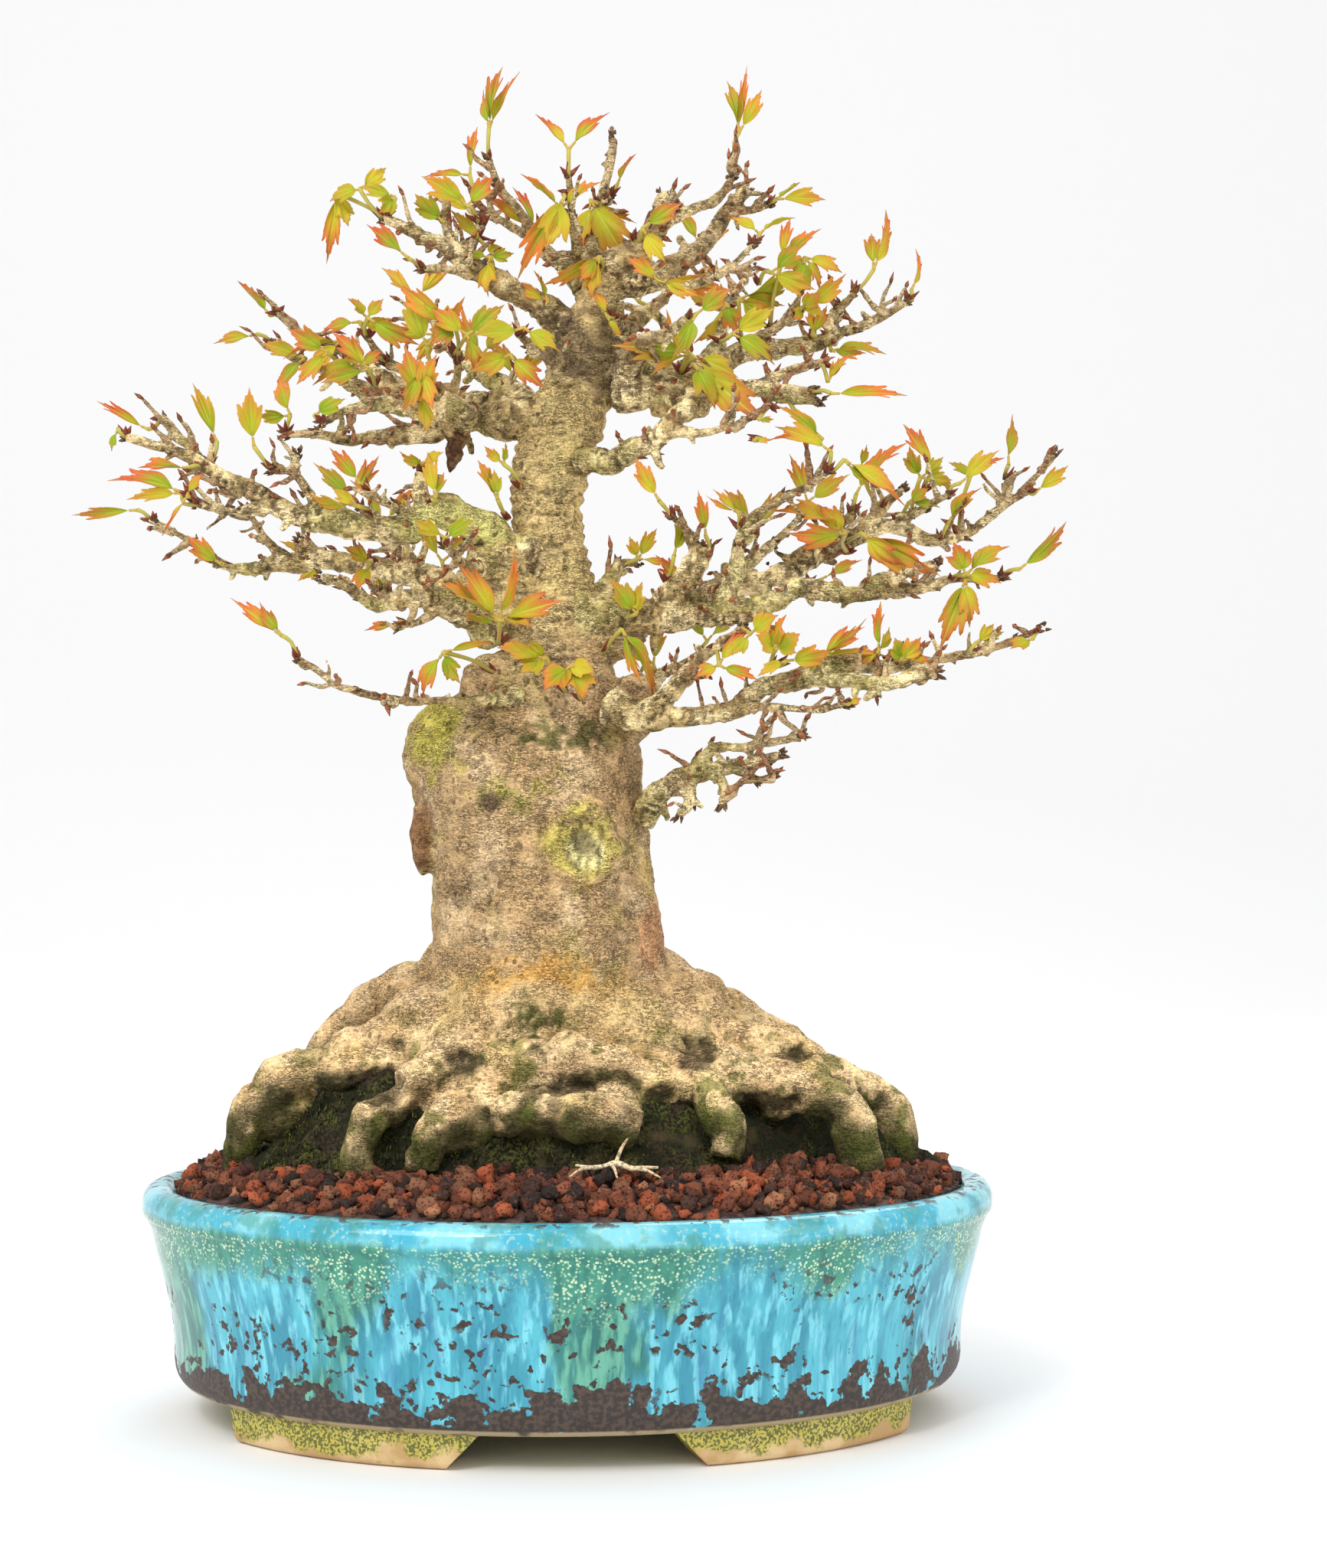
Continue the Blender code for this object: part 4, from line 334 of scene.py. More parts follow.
# More shoots of the same kind between them, which the frame leaves out
SPRAYS = [
    [(-36, 262, -10), (-37, 268, -14), (-43, 283, -18, 4), (-27, 280, -18, 3.6)],
    [(-30, 266, -12), (-27, 271, -18), (-18, 279, -21, 3.6), (-36, 278, -20, 3.4), (-24, 262, -22, 3)],
    [(-40, 256, -14), (-39, 262, -20), (-36, 252, -24, 3), (-44, 250, -24, 2.6)],
    [(-50, 258, -8), (-52, 262, -14), (-60, 272, -18, 3.4), (-64, 258, -17, 3)],
    [(-58, 262, 0), (-62, 266, -6), (-72, 272, -10, 3), (-70, 258, -10, 2.8)],
    [(-14, 262, -10), (-16, 266, -18), (-26, 262, -24, 3.6), (-8, 258, -24, 3)],
    [(0, 300, -10), (-3, 304, -14), (-13, 313, -17, 3), (6, 312, -16, 2.6)],
    [(-24, 300, -4), (-27, 304, -8), (-38, 312, -12, 3.4), (-20, 312, -10, 3)],
    [(16, 296, -6), (18, 299, -10), (28, 306, -14, 3), (24, 290, -14, 3)],
    [(48, 285, -6), (51, 288, -10), (60, 296, -14, 3.4), (62, 284, -13, 3)],
    [(38, 270, -6), (41, 272, -12), (52, 279, -16, 3.4), (52, 266, -17, 3.2)],
    [(28, 262, -6), (31, 266, -14), (22, 276, -18, 3.2), (42, 262, -20, 3.4)],
    [(-1, 308, -13), (-2, 307, -15), (-15, 287, -16, 3.6), (-7, 293, -19, 4.2)],
    [(8, 305, 6), (5, 306, 2), (14.5, 290, -2, 5), (3, 292, 1, 3.6), (17, 300, 3, 1.4)],
    [(-32, 299, -4), (-33, 300, -6), (-40, 307, -8, 3.6)],
    [(-24, 296, 2), (-22, 294, -1), (-31, 303, -3, 2.4), (-17, 291, -3, 2)],
    [(-9, 295, 10), (-9, 298, 9), (-23, 308, 8, 3), (-14, 310, 9, 1.8)],
    [(-48, 300.5, -6), (-45, 306, -8), (-49, 302, -11, 3), (-54, 309, -10, 2)],
    [(-46, 300, -6), (-60, 307, -3), (-57, 298, -3, 3), (-62, 289, -2, 2.6)],
    [(-22, 286, -5), (-21, 291, -8), (-22, 281, -11, 3.6), (-28, 292, -9, 2), (-15, 292, -9, 2)],
    [(-6, 277, -2), (-6, 280, -4), (-15, 284.5, -5, 1.8), (-9, 288, -5, 1.6)],
    [(7, 288, -4), (7, 291.5, -8), (-7, 283.5, -10, 3), (1.5, 285, -11, 2.6), (5, 280, -10, 2.6)],
    [(20, 285.5, -5), (22, 285.5, -9), (14.5, 292, -11, 2.6), (33, 281.5, -13, 2.8), (40, 284, -12, 3)],
    [(11, 276, -6), (9, 276, -9), (6, 284, -11, 1.8), (13, 270, -11, 1.8)],
    [(51, 273, 6), (54, 291, 0), (56, 303, -2, 1.8), (64, 300, -1, 2.4)],
    [(58, 277, 2), (60, 292, 1), (55, 289, -2, 2.2), (58.5, 282, -4, 3), (65, 285, -2, 2.2),
     (70, 289.5, 0, 2.6)],
    [(58, 277, 2), (59, 279, -1), (64, 283, -3, 2.8), (65, 278, -4, 2.4), (57, 276, -4, 2.2)],
    [(62, 271, 14), (62, 272, 10), (61.5, 278.5, 8, 1.7), (66, 280, 8, 1.8)],
    [(66, 272, 15), (67, 268, 10), (81, 270.2, 8, 2.6), (76, 267.5, 8, 1.8)],
    [(64, 265, -14), (65.5, 260, -18), (71, 267.5, -19, 1.8), (69, 266.5, -17, 1.4)],
    [(30, 260, 2), (31, 264, -22), (37, 254.5, -28, 4.4), (49, 248.5, -28, 5)],
    [(44, 270, 8), (43, 281, 4), (58, 286, 0, 4), (50, 276, -1, 3), (55, 280, 3, 2.6)],
    [(41, 279, 30), (40, 279.5, 2), (32, 269, -2, 3.2), (42, 273, -3, 3), (36, 286, 2, 1.8)],
    [(28, 262, -6), (30, 267, -12), (10, 269, -18, 3.6), (20, 263, -18, 2.6)],
    [(-38, 252, -14), (-39, 255, -19), (-43, 268, -22, 3.4), (-35, 266, -24, 3.2), (-36, 247, -22, 2.8)],
    [(-47, 264, -2), (-53, 263, -6), (-66, 260, -9, 3.2), (-58, 268, -9, 2.8), (-49, 267, -8, 2.4)],
    [(-69, 264, 31), (-67, 264.5, 27), (-78, 269, 25, 3), (-76, 256, 24, 2.8)],
    [(-52, 270, -4), (-52, 275, -8), (-57, 280, -11, 3.2), (-40, 268, -12, 3.2), (-48, 280, -8, 2.2)],
    [(-60, 268, 22), (-58, 269, 18), (-73, 268, 16, 2.4), (-66, 262, 15, 2.6)],
    [(-93, 237, -22), (-97, 236.5, -25), (-110, 236.5, -27, 2.2)],
    [(-97, 229, -29), (-98, 229, -30), (-93.5, 235, -32, 2.4), (-104, 219, -30, 0.8)],
    [(-86, 211.5, 18), (-88, 212, 14), (-97, 219, 11, 2.8)],
    [(-50, 225, -17), (-55, 227, -21), (-68, 229, -23, 2.6), (-61, 231.5, -24, 2)],
    [(-36, 227, -13), (-35, 229, -17), (-37.5, 241, -19, 2.4), (-33, 236, -18, 1.4)],
    [(-51, 213, 8), (-51, 212.5, -6), (-57, 217, -10, 2.6), (-55, 205, -10, 2.6)],
    [(-42, 197, -21), (-44, 197, -22), (-53, 195, -24, 1.6)],
    [(-19, 192, -22), (-19, 198, -31), (-30, 213, -35, 3.2), (-35, 208.5, -36, 3), (-14.5, 216, -36, 2.6),
     (-2.5, 203.5, -35, 3.2), (-28, 199.5, -38, 3), (-11, 197.5, -38, 3)],
    [(-16, 224, -8), (-19, 229, -12), (-24, 239, -15, 2.6), (-20, 236.5, -15, 1.8)],
    [(-13, 232, -8), (-17.5, 238, -12), (-22.5, 242, -14, 1.8), (-17, 243.5, -13, 1.6)],
    [(-20, 185, -18), (-33, 190, -26), (-40, 179.5, -28, 3), (-29, 182, -30, 3.2), (-20, 193, -26, 1.6)],
    [(-2, 180, -24), (-7, 188.5, -31), (-20, 190.5, -35, 4), (-14, 184, -36, 3), (-12, 193, -33, 2.4)],
    [(2, 178, -24), (-1, 186.5, -33), (-8, 180.5, -37, 4.4), (2.5, 178, -38, 4.8), (5, 185.5, -36, 3.2)],
    [(8, 190, -12), (12.5, 196, -18), (23.5, 180.5, -22, 3.8), (17, 182, -21, 2)],
    [(12, 212, 4), (17, 214, 4), (22, 222, 3, 2.2), (15, 219.5, 2, 1.8), (25, 212, 2, 1.2)],
    [(24, 208, -12), (26, 215, -14), (29, 226, -15, 2.6)],
    [(16, 199, -8), (16.5, 200, -14), (10, 209, -17, 3.2), (17, 208, -18, 3)],
    [(42.5, 222, -18), (42.5, 226, -20), (35.5, 232, -22, 1.2), (34, 229.5, -21, 1)],
    [(36, 192, -29), (37, 187, -33), (31, 184.5, -36, 2), (44, 197, -36, 2.2), (47, 183.5, -37, 2)],
    [(50, 186, -31), (51.5, 191, -37), (47, 195, -40, 4), (52.5, 200, -40, 4.2), (57.5, 195, -40, 4)],
    [(52, 187, -31), (54, 188, -36), (66, 191, -39, 3.4), (47, 185.5, -38, 2)],
    [(71, 219, 11), (74, 221, -20), (95, 211, -26, 4.4), (84.5, 212, -27, 3.6)],
    [(71, 216, 6), (70, 221, -18), (54, 231, -24, 4.6), (56, 219.5, -25, 4.2), (64, 228, -23, 3)],
    [(65, 236.5, -28), (69.5, 240, -28), (86, 229, -31, 3.8), (76, 232, -31, 2.6)],
    [(91, 232, 20), (94, 237.5, 12), (85, 249, 9, 3), (98, 232, 8, 2.2)],
    [(97, 209, -18), (101, 210.5, -23), (98, 219, -25, 3.4), (111, 219.5, -26, 4), (110, 209.5, -26, 3)],
    [(82, 187, -31), (84, 188.5, -35), (82.5, 194, -37, 3), (89, 194, -38, 3), (92, 189, -38, 2)],
    [(77, 187.5, -31), (78, 190.5, -34), (79, 203.5, -35, 2.2), (82, 196, -35, 2), (73, 188, -36, 1.8)],
    [(60, 185, -31), (62, 189, -35), (73.5, 198, -37, 2.2), (81, 192.5, -36, 1.8), (76, 197, -37, 1.6)],
    [(102, 190, -31), (103.5, 193, -32), (108, 198, -33, 2), (111, 196, -32, 1.6)],
    [(95, 219, 12), (97, 223.5, 9), (104, 234.5, 7, 2.8)],
    [(80, 227, 18), (75, 238, 14), (76, 244, 13, 1.4), (82, 235.5, 12, 1.8)],
    [(88, 225, 12), (90, 235.5, 8), (98, 235, 5, 2.4), (86.5, 243, 5, 2.8), (96, 241, 6, 2.2)],
    [(84, 224, 12), (87, 229, 6), (95, 228, 3, 3), (92, 233, 4, 2.4)],
    [(100, 220.5, 12), (103, 236, 9), (98, 240, 8, 2), (111, 242, 7, 2.4)],
    [(69, 177, -42), (70, 177, -43), (73.5, 178.5, -44, 1.2)],
    [(50, 254, -34), (47, 250, -35), (51, 250, -36, 0.9)],
    [(48, 245, -33), (46, 244.5, -34), (50.5, 245, -35, 1)],
    [(54, 257, -20), (64, 245, -24), (53, 255, -26, 2.6), (50, 247, -24, 1.6)],
    [(47, 220, 54), (48, 223, 57), (40, 232, 60, 2.8), (56, 232, 61, 2.6)],
    [(62, 208, 47), (65, 209, 49), (76, 214, 52, 2.8), (72, 204, 53, 2.6)],
    [(-58, 212, 44), (-61, 213, 46), (-72, 218, 48, 2.8), (-68, 208, 50, 2.6)],
    [(-47, 220, 54), (-46, 223, 57), (-38, 232, 60, 2.6), (-54, 234, 62, 2.6)],
    [(24, 184, 43), (22, 187, 46), (14, 194, 50, 2.8), (24, 198, 52, 2.6)],
    [(-24, 263, 32), (-22, 266, 35), (-14, 274, 39, 2.8), (-28, 278, 40, 2.6)],
    [(20, 277, 31), (18, 280, 33), (10, 288, 37, 2.8), (22, 292, 38, 2.4)],
    [(27, 284, 42), (30, 285, 44), (41, 288, 48, 2.8), (36, 279, 49, 2.4)],
    [(-31, 270, 44), (-34, 271, 46), (-45, 272, 50, 2.6), (-38, 264, 50, 2.4)],
    [(-33, 209, 33), (-32, 213, 36), (-24, 221, 40, 2.8), (-38, 224, 41, 2.4)],
    [(31, 203, 37), (30, 207, 40), (22, 215, 44, 2.6), (36, 219, 44, 2.6)],
    [(-16, 256, 18), (-14, 260, 22), (-6, 268, 26, 2.4), (-20, 271, 27, 2.4)],
    [(43, 210, 49), (45, 207, 52), (54, 203, 56, 2.8), (40, 198, 56, 2.4)],
    [(-41, 214, 44), (-43, 211, 47), (-50, 204, 51, 2.8), (-36, 203, 50, 2.4)],
]

DRIED_LEAF = [(-30, 247, 3), (-30, 243, -2), (-31, 236, -5)]
ROOTLET = [(0, -53), (5, -56), (9, -54), (13, -57), (19, -55)]


def place(path):
    """Front elevation points with depths, moved back along the line of sight from the eye, in metres."""
    flat = np.asarray(path, float)
    spread = 1.0 + flat[:, 2] / EYE_DISTANCE
    rows = [flat[:, 0] * spread, flat[:, 2], EYE_HEIGHT + (flat[:, 1] - EYE_HEIGHT) * spread]
    return np.stack(rows, axis=1) * MM


def unit(vector):
    """The vector at length one."""
    return vector / np.linalg.norm(vector)


def unit_rows(rows):
    """Each row at length one."""
    return rows / np.linalg.norm(rows, axis=1, keepdims=True)


# ---------------------------------------------------------------- numbers and surfaces

def lattice(cell, seed):
    """A repeatable pseudo-random number from -1 to 1 for each whole-number cell, by mixing its bits."""
    n = cell[:, 0] * 374761393 + cell[:, 1] * 668265263 + cell[:, 2] * 1442695041 + seed * 974711
    n = n & 0xFFFFFFFF
    n = ((n ^ (n >> 13)) * 1274126177) & 0xFFFFFFFF
    return ((n ^ (n >> 16)) & 0xFFFFFF) / 8388607.5 - 1.0


def noise(points, seed=0):
    """Value noise: the lattice numbers at a point's eight corners, blended by a smooth step on each axis."""
    cell = np.floor(points).astype(np.int64)
    part = points - cell
    part = part * part * (3.0 - 2.0 * part)
    total = np.zeros(len(points))
    for corner in range(8):
        step = np.array([corner & 1, corner >> 1 & 1, corner >> 2 & 1])
        share = np.where(step, part, 1.0 - part).prod(axis=1)
        total += share * lattice(cell + step, seed)
    return total


def rough(points, octaves, seed=0):
    """Noise summed over octaves, each of twice the frequency and half the height of the one before."""
    return sum(noise(points * 2.0 ** k, seed + k) * 0.5 ** k for k in range(octaves))


def smooth(low, high, value):
    """Zero below low, one above high, and a smooth S-curve between."""
    share = np.clip((value - low) / (high - low), 0.0, 1.0)
    return share * share * (3.0 - 2.0 * share)


def blend(first, second, share):
    """Colours first and second mixed by share, row by row."""
    share = np.asarray(share)[..., None]
    return np.asarray(first) * (1.0 - share) + np.asarray(second) * share


def sheet_faces(rows, columns, closed):
    """Four-sided faces of a grid of points, row after row, joined round its columns if closed."""
    across = columns if closed else columns - 1
    i, j = np.meshgrid(np.arange(rows - 1), np.arange(across), indexing="ij")
    nxt = (j + 1) % columns
    faces = [i * columns + j, i * columns + nxt, (i + 1) * columns + nxt, (i + 1) * columns + j]
    return np.stack(faces, axis=-1).reshape(-1, 4)


def capped(points, rows, columns):
    """A closed tube: the grid's faces, and a fan from each end ring to the middle of that ring."""
    ring = np.arange(columns)
    nxt = (ring + 1) % columns
    first = points[:columns].mean(axis=0)
    last = points[-columns:].mean(axis=0)
    total = rows * columns
    start = np.stack([np.full(columns, total), nxt, ring], axis=1)
    high = (rows - 1) * columns
    end = np.stack([np.full(columns, total + 1), high + ring, high + nxt], axis=1)
    points = np.concatenate([points, first[None], last[None]])
    return points, sheet_faces(rows, columns, True), np.concatenate([start, end])


def outward(shape):
    """The closed shape with its faces turned so that its volume, summed over its triangles, is positive."""
    points, quads, tris = shape[:3]
    halves = [np.asarray(tris).reshape(-1, 3), quads[:, [0, 1, 2]], quads[:, [0, 2, 3]]]
    a, b, c = (points[corner] for corner in np.concatenate(halves).T)
    if (a * np.cross(b, c)).sum() < 0.0:
        quads, tris = quads[:, ::-1], tris[:, ::-1]
    return (points, quads, tris, *shape[3:])


def gather(shapes):
    """Several closed shapes as one, each facing outward: their arrays laid end to end."""
    shapes = [outward(shape) for shape in shapes]
    starts = np.cumsum([0] + [len(s[0]) for s in shapes[:-1]])
    quads = [s[1] + n for s, n in zip(shapes, starts) if len(s[1])]
    tris = [s[2] + n for s, n in zip(shapes, starts) if len(s[2])]
    joined = [np.concatenate([s[0] for s in shapes])]
    joined.append(np.concatenate(quads) if quads else np.zeros((0, 4), int))
    joined.append(np.concatenate(tris) if tris else np.zeros((0, 3), int))
    for extra in range(3, len(shapes[0])):
        joined.append(np.concatenate([s[extra] for s in shapes]))
    return joined


def fill_mesh(mesh, points, quads, tris):
    """Put point and face arrays into a mesh."""
    mesh.vertices.add(len(points))
    mesh.vertices.foreach_set("co", np.asarray(points, np.float32).ravel())
    corners = np.concatenate([quads.ravel(), tris.ravel()]).astype(np.int32)
    mesh.loops.add(len(corners))
    mesh.loops.foreach_set("vertex_index", corners)
    mesh.polygons.add(len(quads) + len(tris))
    sizes = np.concatenate([np.full(len(quads), 4), np.full(len(tris), 3)])
    starts = np.concatenate([[0], np.cumsum(sizes)[:-1]]).astype(np.int32)
    mesh.polygons.foreach_set("loop_start", starts)
    mesh.update(calc_edges=True)
    mesh.validate()


def read(items, key, width=1, kind=np.float64):
    """The values that mesh items keep under one key, as a flat array."""
    values = np.empty(len(items) * width, kind)
    items.foreach_get(key, values)
    return values


def loose_object(name, shape):
    """A plain object of one shape, before it has a material or a body."""
    mesh = bpy.data.meshes.new(name)
    fill_mesh(mesh, *shape[:3])
    made = bpy.data.objects.new(name, mesh)
    bpy.context.scene.collection.objects.link(made)
    return made


def add_piece(name, shape, material, stands_for, colour, uv=None, flat=False):
    """A finished piece at the origin, riding on the root body, with its colours and its own UV map."""
    piece = loose_object(name, shape)
    mesh = piece.data
    if not flat:
        mesh.shade_smooth()
    paint_points(mesh, colour)
    if uv is not None:
        corners = read(mesh.loops, "vertex_index", kind=np.int32)
        layer = mesh.uv_layers.new(name="UVMap")
        layer.data.foreach_set("uv", np.asarray(uv, np.float32)[corners].ravel())
    mesh.materials.append(material)
    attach(piece, "root")
    if stands_for:
        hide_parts(*stands_for)


def add_gathered(name, shapes, material, stands_for=()):
    """One piece of many closed shapes that bring their own colours."""
    *shape, colour = gather(shapes)
    add_piece(name, shape, material, stands_for, colour)


def paint_points(mesh, colour):
    """Store a colour for each point under the name tint."""
    rows = np.ones((len(colour), 4), np.float32)
    rows[:, :3] = np.clip(colour, 0.0, 1.0)
    layer = mesh.attributes.new("tint", "FLOAT_COLOR", "POINT")
    layer.data.foreach_set("color", rows.ravel())


def distance_along(path):
    """How far along the path each of its points lies."""
    steps = np.linalg.norm(np.diff(path, axis=0), axis=1)
    return np.concatenate([[0.0], np.cumsum(steps)])


def smooth_path(points, radii, step):
    """A curve through the points: each span is the cubic whose ends lean along its neighbours' chord."""
    points = np.asarray(points, float)
    radii = np.asarray(radii, float)
    padded = np.vstack([2 * points[0] - points[1], points, 2 * points[-1] - points[-2]])
    spans = []
    widths = []
    for k in range(len(points) - 1):
        a, b, c, d = padded[k:k + 4]
        count = max(2, int(np.linalg.norm(c - b) / step))
        t = np.linspace(0.0, 1.0, count, endpoint=False)[:, None]
        spans.append(0.5 * (2 * b + (c - a) * t + (2 * a - 5 * b + 4 * c - d) * t ** 2
                            + (3 * b - a - 3 * c + d) * t ** 3))
        widths.append(radii[k] + (radii[k + 1] - radii[k]) * t[:, 0])
    spans.append(points[-1:])
    widths.append(radii[-1:])
    return np.concatenate(spans), np.concatenate(widths)


def tube(path, radii, sides, flat=1.0):
    """A round profile of changing radius carried along a path, each ring square to the path."""
    along = unit_rows(np.gradient(path, axis=0))
    across = np.cross(along[0], [0.0, 1.0, 0.05])
    if np.linalg.norm(across) < 0.2:
        across = np.cross(along[0], [1.0, 0.0, 0.0])
    rows = []
    for direction in along:
        across = unit(across - direction * across.dot(direction))
        rows.append(across)
    side = np.array(rows)
    up = np.cross(side, along)
    angle = 2.0 * math.pi * np.arange(sides) / sides
    ring = (side[:, None] * np.cos(angle)[None, :, None]
            + up[:, None] * np.sin(angle)[None, :, None] * flat)
    points = path[:, None] + ring * np.asarray(radii)[:, None, None]
    return capped(points.reshape(-1, 3), len(path), sides)


# ---------------------------------------------------------------- materials

def new_material(name):
    """A node material and its node tree."""
    material = bpy.data.materials.new(name)
    material.use_nodes = True
    return material, material.node_tree


def add_node(tree, kind, settings=None, **sockets):
    """A shader node with settings on the node and numbers or links on its named inputs."""
    made = tree.nodes.new("ShaderNode" + kind)
    for name, value in (settings or {}).items():
        setattr(made, name, value)
    for name, value in sockets.items():
        if name[0] == "i" and name[1:].isdigit():
            socket = made.inputs[int(name[1:])]
        else:
            socket = made.inputs[name.replace("_", " ")]
        connect(tree, value, socket)
    return made


def connect(tree, value, socket):
    """Put a number, a colour or another node's output on an input."""
    if isinstance(value, bpy.types.NodeSocket):
        tree.links.new(value, socket)
    elif isinstance(value, tuple) and len(value) == 3 and socket.type == "RGBA":
        socket.default_value = (*value, 1.0)
    else:
        socket.default_value = value


def ramp(tree, value, low, high):
    """Zero below low and one above high."""
    made = add_node(tree, "MapRange", {"interpolation_type": "SMOOTHSTEP"}, Value=value)
    made.inputs["From Min"].default_value = low
    made.inputs["From Max"].default_value = high
    return made.outputs["Result"]


def mix(tree, share, first, second, mode="MIX"):
    """Two colours mixed by share."""
    made = add_node(tree, "Mix", {"data_type": "RGBA", "blend_type": mode})
    connect(tree, share, made.inputs[0])
    connect(tree, first, made.inputs[6])
    connect(tree, second, made.inputs[7])
    return made.outputs[2]


def sums(tree, operation, first, second=0.5, third=0.5):
    """One step of arithmetic."""
    made = add_node(tree, "Math", {"operation": operation})
    for value, socket in zip((first, second, third), made.inputs):
        connect(tree, value, socket)
    return made.outputs[0]


def times(tree, first, second):
    """The product of two numbers."""
    return sums(tree, "MULTIPLY", first, second)


def rest(tree, share):
    """What a share leaves of one."""
    return sums(tree, "SUBTRACT", 1.0, share)


def over(tree, colour, value, low, high, amount, second):
    """A second colour laid over the first, by up to amount as the value climbs from low to high."""
    return mix(tree, times(tree, ramp(tree, value, low, high), amount), colour, second)


def cells(tree, coordinates, scale):
    """Distance to the nearest of scattered spots."""
    return add_node(tree, "TexVoronoi", Vector=coordinates, Scale=scale).outputs["Distance"]


def grain(tree, coordinates, scale, detail=3.0, distortion=0.0):
    """Noise of one scale, from 0 to 1."""
    made = add_node(tree, "TexNoise", Vector=coordinates, Scale=scale, Detail=detail, Distortion=distortion)
    return made.outputs["Fac"]


def stretched(tree, coordinates, x, y, z):
    """Coordinates scaled by a number on each axis."""
    made = add_node(tree, "Mapping", Vector=coordinates)
    made.inputs["Scale"].default_value = (x, y, z)
    return made.outputs["Vector"]


def bump(tree, height, distance, strength):
    """Relief of a stated depth in metres."""
    return add_node(tree, "Bump", Height=height, Distance=distance, Strength=strength).outputs["Normal"]


def surface(tree, colour, roughness, height, depth, strength, specular=0.5):
    """Colour, roughness, highlight and relief on the tree's main shader."""
    shader = tree.nodes["Principled BSDF"]
    connect(tree, colour, shader.inputs["Base Color"])
    connect(tree, roughness, shader.inputs["Roughness"])
    shader.inputs["Specular IOR Level"].default_value = specular
    tree.links.new(bump(tree, height, depth, strength), shader.inputs["Normal"])
    return shader


def tint(tree):
    """The colour stored on the piece's own points."""
    return add_node(tree, "Attribute", {"attribute_name": "tint"}).outputs["Color"]


def position(tree):
    """Object coordinates."""
    return add_node(tree, "TexCoord").outputs["Object"]


def bark_material():
    """Grey-beige maple bark: pale and dark mottling, fine dark pits and short cracks."""
    material, tree = new_material("maple_bark")
    where = position(tree)
    mottle = grain(tree, where, 260.0, 5.0)
    fine = grain(tree, where, 2300.0, 3.0)
    wrinkle = grain(tree, stretched(tree, where, 1.0, 1.0, 2.4), 780.0, 6.0, 0.3)
    bright = sums(tree, "MULTIPLY_ADD", wrinkle, 1.9, sums(tree, "MULTIPLY_ADD", fine, 1.9, -0.88))
    base = mix(tree, 1.0, tint(tree), bright, "MULTIPLY")
    base = over(tree, base, mottle, 0.5, 0.7, 0.2, (0.60, 0.42, 0.20))
    dark = mix(tree, 0.75, tint(tree), (0.07, 0.045, 0.025))
    pits = cells(tree, stretched(tree, where, 1.0, 1.0, 0.55), 470.0)
    gate = ramp(tree, grain(tree, where, 230.0, 3.0), 0.42, 0.58)
    spots = times(tree, rest(tree, ramp(tree, pits, 0.16, 0.30)), gate)
    cracked = grain(tree, stretched(tree, where, 1.0, 1.0, 3.2), 520.0, 4.0, 1.4)
    line = sums(tree, "ABSOLUTE", sums(tree, "SUBTRACT", cracked, 0.5))
    crack = rest(tree, ramp(tree, line, 0.0, 0.05))
    crack = times(tree, crack, ramp(tree, grain(tree, where, 150.0, 2.0), 0.38, 0.56))
    marks = sums(tree, "MAXIMUM", spots, crack)
    colour = mix(tree, times(tree, marks, 0.95), base, dark)
    height = sums(tree, "SUBTRACT", sums(tree, "MULTIPLY_ADD", fine, 0.35, wrinkle), marks)
    surface(tree, colour, 0.8, height, 0.0006, 0.8, 0.12)
    return material


def leaf_material():
    """Soft young leaf: stored green to red colour, pale veins along its UV map, light through the blade."""
    material, tree = new_material("young_leaf")
    where = add_node(tree, "UVMap", {"uv_map": "UVMap"}).outputs["UV"]
    parts = add_node(tree, "SeparateXYZ", Vector=where)
    side = sums(tree, "ABSOLUTE", parts.outputs["X"])
    midrib = rest(tree, ramp(tree, side, 0.006, 0.02))
    slanted = sums(tree, "SUBTRACT", parts.outputs["Y"], times(tree, side, 0.9))
    wave = sums(tree, "ABSOLUTE", sums(tree, "SINE", times(tree, slanted, 38.0)))
    veins = rest(tree, ramp(tree, wave, 0.05, 0.3))
    lines = sums(tree, "MAXIMUM", midrib, times(tree, veins, 0.45))
    spread = grain(tree, position(tree), 700.0, 4.0)
    colour = over(tree, tint(tree), spread, 0.5, 0.75, 0.35, (0.85, 0.26, 0.05))
    colour = mix(tree, times(tree, lines, 0.3), colour, (0.90, 0.88, 0.18))
    height = sums(tree, "MULTIPLY_ADD", spread, 0.5, lines)
    shader = surface(tree, colour, 0.42, height, 0.00025, 0.6, 0.2)
    glow = add_node(tree, "BsdfTranslucent", Color=colour)
    both = add_node(tree, "MixShader", i0=0.22, i1=shader.outputs[0], i2=glow.outputs[0])
    tree.links.new(both.outputs[0], tree.nodes["Material Output"].inputs["Surface"])
    return material


def gravel_material():
    """Porous lava: stored grain colour with fine pits and dusty high spots."""
    material, tree = new_material("lava_gravel")
    where = position(tree)
    fine = grain(tree, where, 900.0, 5.0)
    pores = rest(tree, ramp(tree, cells(tree, where, 1100.0), 0.15, 0.42))
    colour = mix(tree, times(tree, pores, 0.6), tint(tree), (0.035, 0.022, 0.02))
    colour = over(tree, colour, fine, 0.56, 0.72, 0.35, (0.42, 0.17, 0.09))
    surface(tree, colour, 0.92, sums(tree, "SUBTRACT", fine, pores), 0.0004, 0.9, 0.2)
    return material


